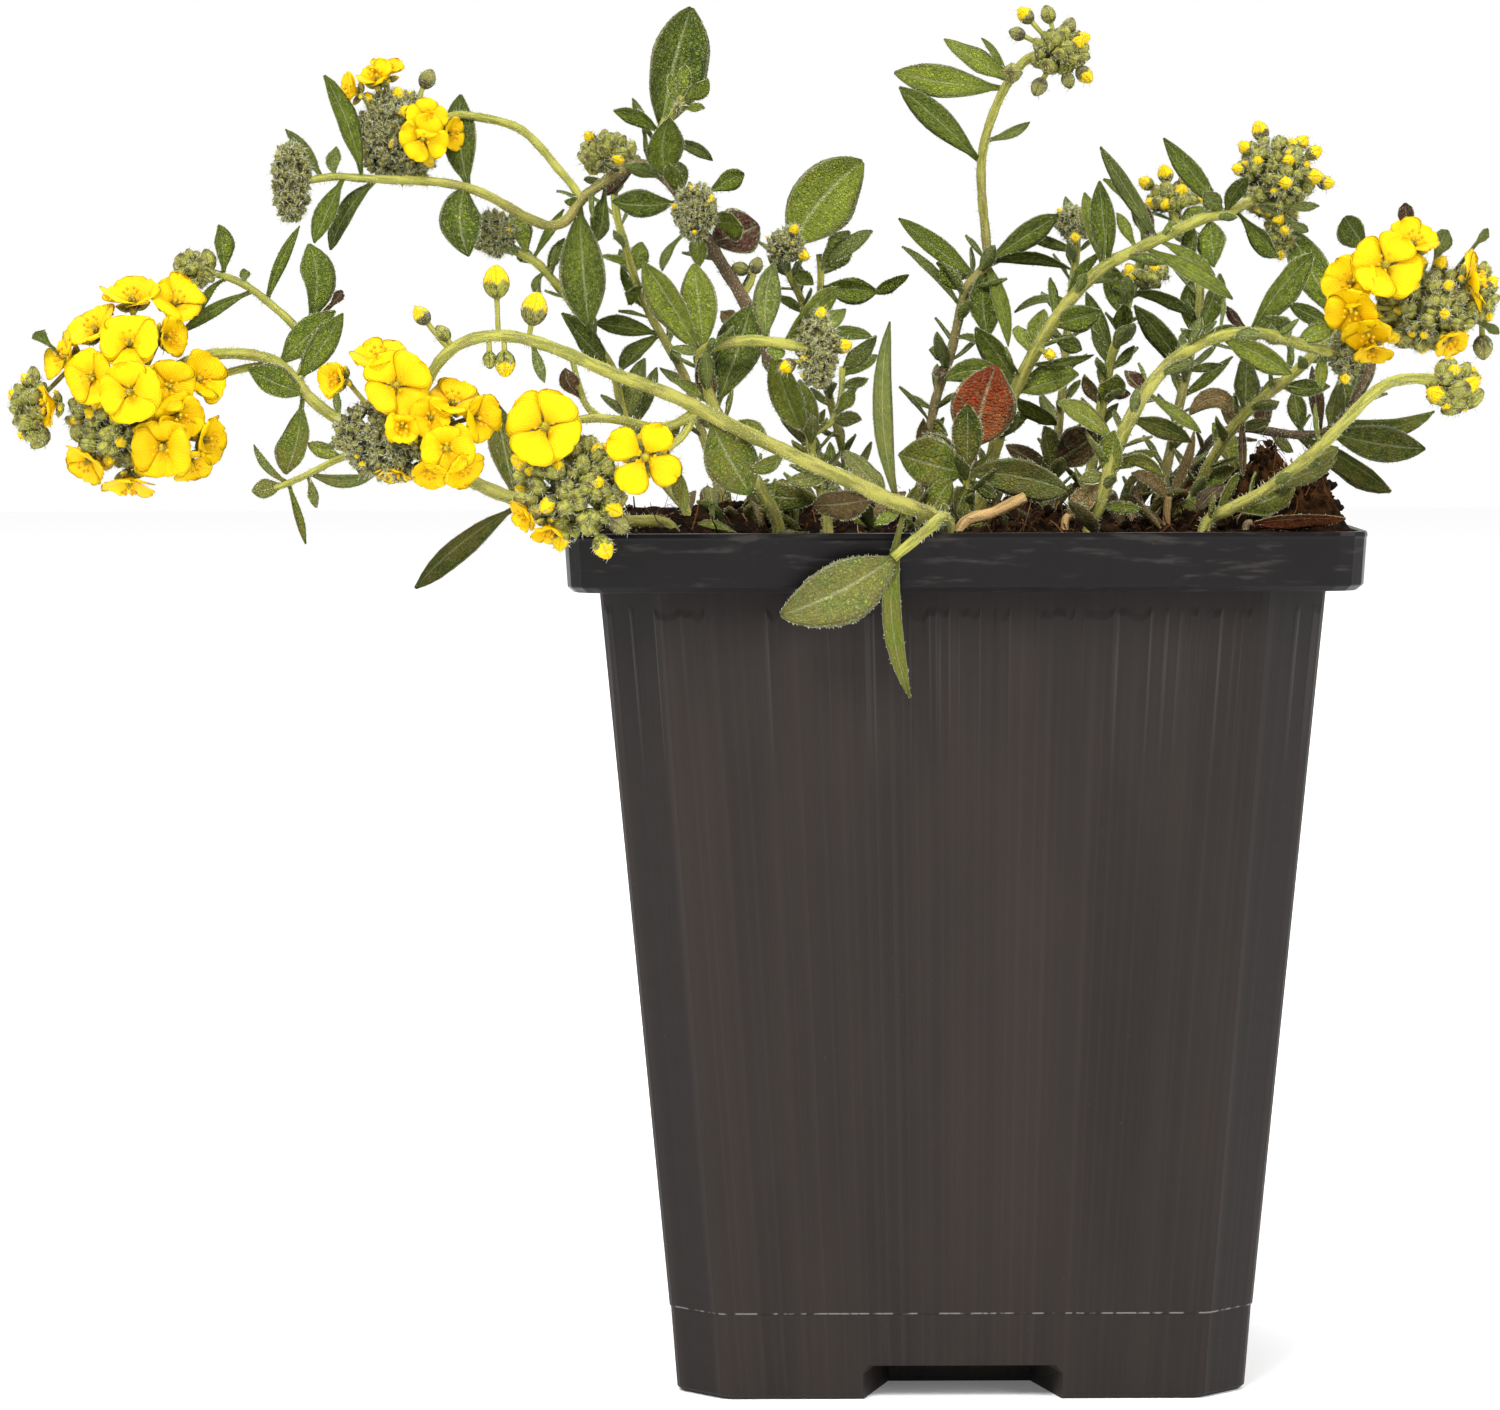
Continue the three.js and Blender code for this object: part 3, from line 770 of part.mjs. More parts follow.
// The stems of a node, grown by an extra amount.
function stemParts(name, extra) {
  const parts = [];
  ROUTES.filter((row) => row[0] === name).forEach(([, startRadius, endRadius, points], index) => {
    const path = points.map(([x, z, y]) => real(x, z, y));
    const k = depthScale(points[0][2]);
    if (index === 0) {
      const foot = path[0].clone();
      foot.z = SOIL_LEVEL - ROOT_DEPTH - extra;
      path.unshift(foot);
    }
    let sides = startRadius > 0.7 ? 5 : 4;
    if (index > 0 && startRadius < 0.52) {
      sides = 3;
    }
    parts.push(tube(eased(path), startRadius * k + extra, endRadius * k + extra, sides));
  });
  return parts;
}

// The cores of a node's heads with the short stalks that hold them, grown by an extra amount.
function coreParts(name, extra) {
  const parts = [];
  const hasStems = ROUTES.some((row) => row[0] === name);
  HEADS.filter((row) => row[0] === name).forEach(([, centre, half, , size], index) => {
    const at = real(centre[0], centre[1], centre[2]);
    const k = depthScale(centre[2]);
    const rows = Math.max(3, Math.min(5, Math.round(half[0] + half[1])));
    parts.push(budBall(at, [half[0] * k, half[1] * k, half[2]], size, rows, 31 + index, extra));
    if (hasStems || index > 0) {
      const joint = hasStems ? nearestOnStems(name, centre[0], centre[1]) : null;
      const from = joint ? real(joint.x, joint.z, joint.y) : real(...HEADS.find((row) => row[0] === name)[1]);
      if (from.distanceTo(at) > 0.5) {
        parts.push(tube([from, at], 0.5 + extra, 0.5 + extra, 4));
      }
    }
  });
  return parts;
}

// The leaves of a node, grown by an extra amount.
function leafParts(name, extra) {
  const parts = [];
  LEAVES.forEach(([node, bx, bz, tx, tz, width, bow, nearer], index) => {
    if (node !== name) {
      return;
    }
    const joint = nearestOnStems(name, bx, bz);
    const root = real(joint.x, joint.z, joint.y);
    const base = real(bx, bz, joint.y);
    const tip = real(tx, tz, joint.y + nearer);
    const k = depthScale(joint.y);
    const dx = tx - bx;
    const dz = tz - bz;
    const length = Math.hypot(dx, dz);
    if (length * width < SMALLEST_LEAF) {
      return;
    }
    const mx = (bx + tx) / 2 - (dz / length) * bow * 2;
    const mz = (bz + tz) / 2 + (dx / length) * bow * 2;
    const middle = real(mx, mz, joint.y + nearer * 0.35);
    const most = width > 4 ? BROAD_TWIST : LEAF_TWIST;
    const twist = THREE.MathUtils.degToRad(most * (2 * makeRandom(700 + index * 37)() - 1));
    const face = new THREE.Vector3(...EYE).sub(base).normalize()
      .applyAxisAngle(tip.clone().sub(root).normalize(), twist);
    const wide = (width * k) / Math.cos(twist);
    const stalk = joint.away / (joint.away + length);
    let stations = LEAF_STATIONS;
    if (width > 4.5) {
      stations = BROAD_LEAF_STATIONS;
    } else if (length > 6.5) {
      stations = LONG_LEAF_STATIONS;
    }
    const along = stations.map(([t, share]) => [stalk + (1 - stalk) * t, share]);
    if (stalk > 0.12) {
      along.unshift([stalk * 0.9, 0.1]);
    }
    parts.push(blade(root, middle, tip, [wide, BLADE_THICK], face, along, extra));
  });
  return parts;
}

// Single buds: those close to a head grow straight out of it, and the others have a stalk.
function budParts(name, extra) {
  const parts = [];
  BUDS.filter((row) => row[0] === name).forEach(([, centre, size]) => {
    const joint = budJoint(name, centre);
    const at = real(centre[0], centre[1], centre[2]);
    const out = at.clone().sub(joint);
    const away = out.length();
    out.normalize();
    const near = away < size * 2.2;
    const foot = near ? at.clone().addScaledVector(out, -size) : at.clone().addScaledVector(out, -size * 0.55);
    const tip = at.clone().addScaledVector(out, size * 0.5);
    parts.push(spindle(foot, tip, size * 0.85, 4, 0.6, extra));
    if (!near) {
      parts.push(spindle(joint, foot.clone().addScaledVector(out, size * 0.5), 0.85, 3, 0.5, extra));
    }
  });
  return parts;
}

// Where a single bud or flower's stalk starts: on the nearest stem, or in the nearest head.
function budJoint(name, centre) {
  const heads = HEADS.filter((row) => row[0] === name);
  const near = heads
    .map((row) => ({ row, away: Math.hypot(row[1][0] - centre[0], row[1][1] - centre[1]) }))
    .sort((a, b) => a.away - b.away)[0];
  const stems = ROUTES.some((row) => row[0] === name) ? nearestOnStems(name, centre[0], centre[1]) : null;
  if (near && (!stems || near.away < stems.away + 2)) {
    return real(...near.row[1]);
  }
  return real(stems.x, stems.z, stems.y);
}

// Four-petalled flowers on short stalks.
function flowerParts(name, extra) {
  const parts = [];
  FLOWERS.filter((row) => row[0] === name).forEach(([, centre, across, turn, tilt, cup], index) => {
    const next = makeRandom(500 + index * 131);
    const at = real(centre[0], centre[1], centre[2]);
    const turnAngle = THREE.MathUtils.degToRad(turn);
    const tiltAngle = THREE.MathUtils.degToRad(tilt);
    const cupAngle = THREE.MathUtils.degToRad(cup);
    const facing = new THREE.Vector3(
      Math.sin(turnAngle) * Math.cos(tiltAngle),
      -Math.cos(turnAngle) * Math.cos(tiltAngle),
      Math.sin(tiltAngle),
    );
    const reach = (across / 2) * depthScale(centre[2]);
    const heart = at.clone().addScaledVector(facing, -0.6);
    parts.push(flowerBlade(heart, facing, reach, cupAngle, next() * 1.5, extra));
    const stalkFoot = budJoint(name, centre);
    parts.push(spindle(stalkFoot, heart, 0.9, 3, 0.75, extra));
  });
  return parts;
}

function joined(parts) {
  return parts.slice(1).reduce((whole, part) => whole.add(part), parts[0]);
}

// Keeps the largest closed skin of a solid, so that loose scraps and sealed hollows go.
function largestSkin(body) {
  const mesh = body.getMesh();
  const verts = mesh.vertProperties;
  const tris = mesh.triVerts;
  const stride = mesh.numProp;
  const parent = Int32Array.from({ length: verts.length / stride }, (unused, v) => v);
  function top(v) {
    let at = v;
    while (parent[at] !== at) {
      parent[at] = parent[parent[at]];
      at = parent[at];
    }
    return at;
  }
  for (let t = 0; t < tris.length; t += 3) {
    const a = top(tris[t]);
    parent[top(tris[t + 1])] = a;
    parent[top(tris[t + 2])] = a;
  }
  const volume = new Map();
  for (let t = 0; t < tris.length; t += 3) {
    const [a, b, c] = [0, 1, 2].map((n) => {
      const v = tris[t + n] * stride;
      return new THREE.Vector3(verts[v], verts[v + 1], verts[v + 2]);
    });
    const skin = top(tris[t]);
    volume.set(skin, (volume.get(skin) || 0) + a.dot(b.clone().cross(c)) / 6);
  }
  const keep = [...volume.entries()].sort((p, q) => q[1] - p[1])[0][0];
  const position = [];
  const index = [];
  const numberOf = new Map();
  for (let t = 0; t < tris.length; t += 3) {
    if (top(tris[t]) === keep) {
      for (let n = 0; n < 3; n += 1) {
        const v = tris[t + n];
        if (!numberOf.has(v)) {
          numberOf.set(v, position.length / 3);
          position.push(verts[v * stride], verts[v * stride + 1], verts[v * stride + 2]);
        }
        index.push(numberOf.get(v));
      }
    }
  }
  const geometry = new THREE.BufferGeometry();
  geometry.setAttribute('position', new THREE.Float32BufferAttribute(position, 3));
  geometry.setIndex(index);
  geometry.computeVertexNormals();
  return geometry;
}

// Square outline with its corners cut and slightly eased, 4 points a corner.
function cutSquare(half, cut, z) {
  const ring = [];
  const ease = Math.min(0.5, cut / 4);
  const corner = [
    [half, half - cut - ease],
    [half - ease * 0.7, half - cut + ease * 0.7],
    [half - cut + ease * 0.7, half - ease * 0.7],
    [half - cut - ease, half],
  ];
  for (let q = 0; q < 4; q += 1) {
    const angle = (q * Math.PI) / 2;
    corner.forEach(([x, y]) => {
      ring.push(new THREE.Vector3(
        Math.round((x * Math.cos(angle) - y * Math.sin(angle)) * 1e6) / 1e6,
        Math.round((x * Math.sin(angle) + y * Math.cos(angle)) * 1e6) / 1e6,
        z,
      ));
    });
  }
  return ring;
}

// Square outline with round corners, 4 points a corner.
function roundSquare(half, radius, z) {
  const ring = [];
  for (let q = 0; q < 4; q += 1) {
    for (let i = 0; i < 4; i += 1) {
      const angle = (q * Math.PI) / 2 + (i * Math.PI) / 6;
      const turn = (q * Math.PI) / 2;
      const cx = (half - radius) * (Math.cos(turn) - Math.sin(turn));
      const cy = (half - radius) * (Math.sin(turn) + Math.cos(turn));
      ring.push(new THREE.Vector3(cx + radius * Math.cos(angle), cy + radius * Math.sin(angle), z));
    }
  }
  return ring;
}

function capped(rings) {
  const bottom = new THREE.Vector3(0, 0, rings[0][0].z);
  const top = new THREE.Vector3(0, 0, rings[rings.length - 1][0].z);
  return loft([[bottom], ...rings, [top]]);
}

// How far the flat corner reaches along each wall at a height.
function cornerCut(z) {
  return CORNER_CUT_FOOT + ((CORNER_CUT_TOP - CORNER_CUT_FOOT) * z) / (RIM_TOP - RIM_HEIGHT);
}

function wallHalf(z) {
  return WALL_FOOT_HALF + ((WALL_TOP_HALF - WALL_FOOT_HALF) * z) / (RIM_TOP - RIM_HEIGHT);
}

const RIM_FOOT = RIM_TOP - RIM_HEIGHT;

function potOuter() {
  return capped([
    cutSquare(wallHalf(0) - 0.5, cornerCut(0), 0),
    cutSquare(wallHalf(0.6), cornerCut(0.6), 0.6),
    cutSquare(wallHalf(STEP_HEIGHT) - STEP, cornerCut(STEP_HEIGHT), STEP_HEIGHT),
    cutSquare(wallHalf(STEP_HEIGHT), cornerCut(STEP_HEIGHT), STEP_HEIGHT + 0.15),
    cutSquare(wallHalf(RIM_FOOT), cornerCut(RIM_FOOT), RIM_FOOT),
    roundSquare(RIM_HALF - 1.1, RIM_CORNER, RIM_FOOT + 0.05),
    roundSquare(RIM_HALF - 0.4, RIM_CORNER, RIM_FOOT + 0.7),
    roundSquare(RIM_HALF - 0.1, RIM_CORNER, RIM_TOP - 0.8),
    roundSquare(RIM_HALF, RIM_CORNER, RIM_TOP - 0.5),
    roundSquare(RIM_HALF - 0.1, RIM_CORNER, RIM_TOP),
  ]);
}

// The room inside the pot, smaller by an extra gap, from its floor up to a top height.
function potRoom(gap, topHeight) {
  const lipHalf = RIM_HALF - LIP - gap;
  return capped([
    cutSquare(wallHalf(FLOOR) - WALL - gap, cornerCut(FLOOR) - 0.3, FLOOR + gap),
    cutSquare(wallHalf(RIM_FOOT) - WALL - gap, cornerCut(RIM_FOOT) - 0.3, RIM_FOOT + WALL + gap),
    roundSquare(lipHalf - 0.8, RIM_CORNER - LIP, RIM_FOOT + WALL + gap + 0.05),
    roundSquare(lipHalf - 0.2, RIM_CORNER - LIP, RIM_FOOT + WALL + gap + 0.5),
    roundSquare(lipHalf, RIM_CORNER - LIP, topHeight),
  ]);
}

// One pocket at the foot of a side, larger by an extra amount: side 0 is +X, 1 is +Y and so on.
function pocket(side, extra, reach) {
  const high = POCKET_HIGH + extra;
  const back = WALL_FOOT_HALF - POCKET_DEEP;
  const slope = (POCKET_FRONT - POCKET_BACK) / 2 / POCKET_DEEP;
  const inner = back - extra;
  const outer = WALL_FOOT_HALF + reach;
  const profile = [
    [1, -1],
    [1, high - 1],
    [0.93, high],
    [-0.93, high],
    [-1, high - 1],
    [-1, -1],
  ];
  const rings = [inner, outer].map((x) => profile.map(([share, z]) => {
    const half = POCKET_BACK / 2 + slope * (x - back) + 1.05 * extra;
    const point = new THREE.Vector3(x, share * half, z);
    return point.applyAxisAngle(new THREE.Vector3(0, 0, 1), (side * Math.PI) / 2);
  }));
  const centres = rings.map((ring) => [ring.reduce((sum, p) => sum.add(p), new THREE.Vector3())
    .multiplyScalar(1 / ring.length)]);
  return loft([centres[0], rings[0], rings[1], centres[1]]);
}

function upright(x, y, radius, from, to, sides) {
  return tube([new THREE.Vector3(x, y, from), new THREE.Vector3(x, y, to)], radius, radius, sides);
}

function makePot() {
  let body = potOuter().subtract(potRoom(0, RIM_TOP + 1));
  for (let side = 0; side < 4; side += 1) {
    body = body.add(pocket(side, WALL, -WALL).intersect(potOuter()));
  }
  for (let side = 0; side < 4; side += 1) {
    body = body.subtract(pocket(side, 0, 2));
    const away = WALL_FOOT_HALF - POCKET_DEEP / 2;
    const x = away * Math.cos((side * Math.PI) / 2);
    const y = away * Math.sin((side * Math.PI) / 2);
    body = body.subtract(upright(x, y, DRAIN_RADIUS, POCKET_HIGH - 1, POCKET_HIGH + 3, 8));
  }
  return body;
}

function soilHeight(x, y) {
  let z = SOIL_LEVEL;
  z += 0.45 * Math.sin(x * 0.55 + 1.3) * Math.sin(y * 0.48 + 0.4);
  z += 0.3 * Math.sin(x * 1.21 + y * 0.83);
  z += 0.25 * Math.sin(x * 0.77 - y * 1.37 + 2);
  LUMPS.forEach(([lx, ly, high, radius]) => {
    const r2 = ((x - lx) ** 2 + (y - ly) ** 2) / (radius * radius);
    z += high * Math.exp(-r2 * 1.3) * (1 + 0.16 * Math.sin(x * 2.3) * Math.sin(y * 2.9));
  });
  return z;
}

function makeSoil(others) {
  const half = RIM_HALF - LIP - GAP;
  const n = SOIL_CELLS;
  const points = [];
  for (let j = 0; j <= n; j += 1) {
    for (let i = 0; i <= n; i += 1) {
      const x = -half + (2 * half * i) / n;
      const y = -half + (2 * half * j) / n;
      points.push(new THREE.Vector3(x, y, soilHeight(x, y)));
    }
  }
  const triangles = [];
  const at = (i, j) => j * (n + 1) + i;
  for (let j = 0; j < n; j += 1) {
    for (let i = 0; i < n; i += 1) {
      triangles.push([at(i, j), at(i + 1, j), at(i + 1, j + 1)]);
      triangles.push([at(i, j), at(i + 1, j + 1), at(i, j + 1)]);
    }
  }
  const edge = [];
  for (let i = 0; i < n; i += 1) edge.push(at(i, 0));
  for (let j = 0; j < n; j += 1) edge.push(at(n, j));
  for (let i = n; i > 0; i -= 1) edge.push(at(i, n));
  for (let j = n; j > 0; j -= 1) edge.push(at(0, j));
  const foot = points.length;
  edge.forEach((v) => points.push(new THREE.Vector3(points[v].x, points[v].y, 0)));
  const centre = points.length;
  points.push(new THREE.Vector3(0, 0, 0));
  edge.forEach((v, e) => {
    const f = (e + 1) % edge.length;
    triangles.push([edge[e], foot + e, foot + f]);
    triangles.push([edge[e], foot + f, edge[f]]);
    triangles.push([foot + f, foot + e, centre]);
  });
  let body = solid(points, triangles).intersect(potRoom(GAP, RIM_TOP + 20));
  for (let side = 0; side < 4; side += 1) {
    body = body.subtract(pocket(side, WALL + GAP, 2));
  }
  others.forEach((part) => {
    body = body.subtract(part);
  });
  return body;
}

function boxesApart(a, b) {
  const p = a.boundingBox();
  const q = b.boundingBox();
  return [0, 1, 2].some((n) => p.max[n] < q.min[n] || q.max[n] < p.min[n]);
}

function clearOf(part, blockers) {
  let left = part;
  blockers.forEach((blocker) => {
    if (!boxesApart(left, blocker)) {
      left = left.subtract(blocker);
    }
  });
  return left;
}

function firmParts(name, extra) {
  return [...stemParts(name, extra), ...coreParts(name, extra)];
}

function softParts(name, extra) {
  return [...leafParts(name, extra), ...budParts(name, extra), ...flowerParts(name, extra)];
}

const plant = new THREE.Group();

function place(name, body) {
  const [colour, roughness] = COLOURS[name] || COLOURS.shoot;
  const material = new THREE.MeshStandardMaterial({ color: colour, roughness, metalness: 0 });
  const mesh = new THREE.Mesh(largestSkin(body), material);
  mesh.name = name;
  plant.add(mesh);
}

// Stems come first, then heads, then leaves, buds and flowers: each later piece is cut back
// by a small gap where it would touch an earlier node.
const names = [...new Set([...ROUTES, ...HEADS].map((row) => row[0]))];
const headNames = names.filter((name) => name.startsWith('head'));
const firmRoom = new Map(names.map((name) => [name, firmParts(name, GAP)]));
const taken = [];
const potBody = makePot();
const bodies = new Map();
names.forEach((name) => {
  const heads = headNames.filter((other) => other !== name).flatMap((other) => coreParts(other, GAP));
  const firm = firmParts(name, 0).map((part) => (headNames.includes(name) ? part : clearOf(part, heads)));
  const others = names.filter((other) => other !== name).flatMap((other) => firmRoom.get(other));
  const soft = softParts(name, 0).map((part) => clearOf(part, [...others, ...taken]));
  bodies.set(name, joined([...firm, ...soft]));
  taken.push(...softParts(name, GAP));
});

const nearSoil = [...taken, ...[...firmRoom.values()].flat()]
  .filter((part) => part.boundingBox().min[2] < SOIL_LEVEL + 12);

place('pot', potBody);
place('soil', makeSoil(nearSoil));
bodies.forEach((body, name) => place(name, body));

export default plant;
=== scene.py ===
"""Potted mountain alyssum: a tapered nursery pot of peat with hairy, leafy shoots and yellow flower heads.

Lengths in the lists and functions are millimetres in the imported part's frame: the pot's base is at the
origin, +Z is up and -Y is the front. Meshes are written out in metres.
"""

import math

import bpy
import numpy as np
from mathutils import Matrix


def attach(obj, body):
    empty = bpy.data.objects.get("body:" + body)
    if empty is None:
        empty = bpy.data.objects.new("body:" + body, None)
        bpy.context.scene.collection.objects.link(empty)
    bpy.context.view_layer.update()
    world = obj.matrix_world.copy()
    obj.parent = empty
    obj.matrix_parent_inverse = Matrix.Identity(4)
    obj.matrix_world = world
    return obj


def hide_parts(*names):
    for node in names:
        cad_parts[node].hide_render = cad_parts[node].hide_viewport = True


bl_info = {
    "name": "Potted mountain alyssum",
    "version": (1, 0, 0),
    "blender": (4, 5, 0),
    "location": "3D View > Sidebar > Alyssum",
    "description": "Makes a mountain alyssum in a square nursery pot",
    "category": "Add Mesh",
}

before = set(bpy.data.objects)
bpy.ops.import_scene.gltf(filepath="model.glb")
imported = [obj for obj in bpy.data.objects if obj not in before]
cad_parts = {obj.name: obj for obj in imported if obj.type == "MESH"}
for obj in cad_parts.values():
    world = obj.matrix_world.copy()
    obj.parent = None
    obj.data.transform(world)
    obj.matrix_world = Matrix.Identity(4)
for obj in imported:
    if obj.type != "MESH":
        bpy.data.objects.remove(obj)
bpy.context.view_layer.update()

EYE = np.array([-24.2, -645.0, 122.9])
SEEN_DEPTH = -45.0
UP = np.array([0, 0, 1.0])
RIGHT = np.array([1.0, 0, 0])
GOLDEN_ANGLE = 2.39996
RIM_TOP = 100
SOIL_LEVEL = 99.2
ROOT_DEPTH = 4.6
SOIL_HALF = 43.7


def by_node(groups):
    """The rows of all nodes as one list, each led by the name of its node."""
    return [[node, *row] for node, rows in groups.items() for row in rows]


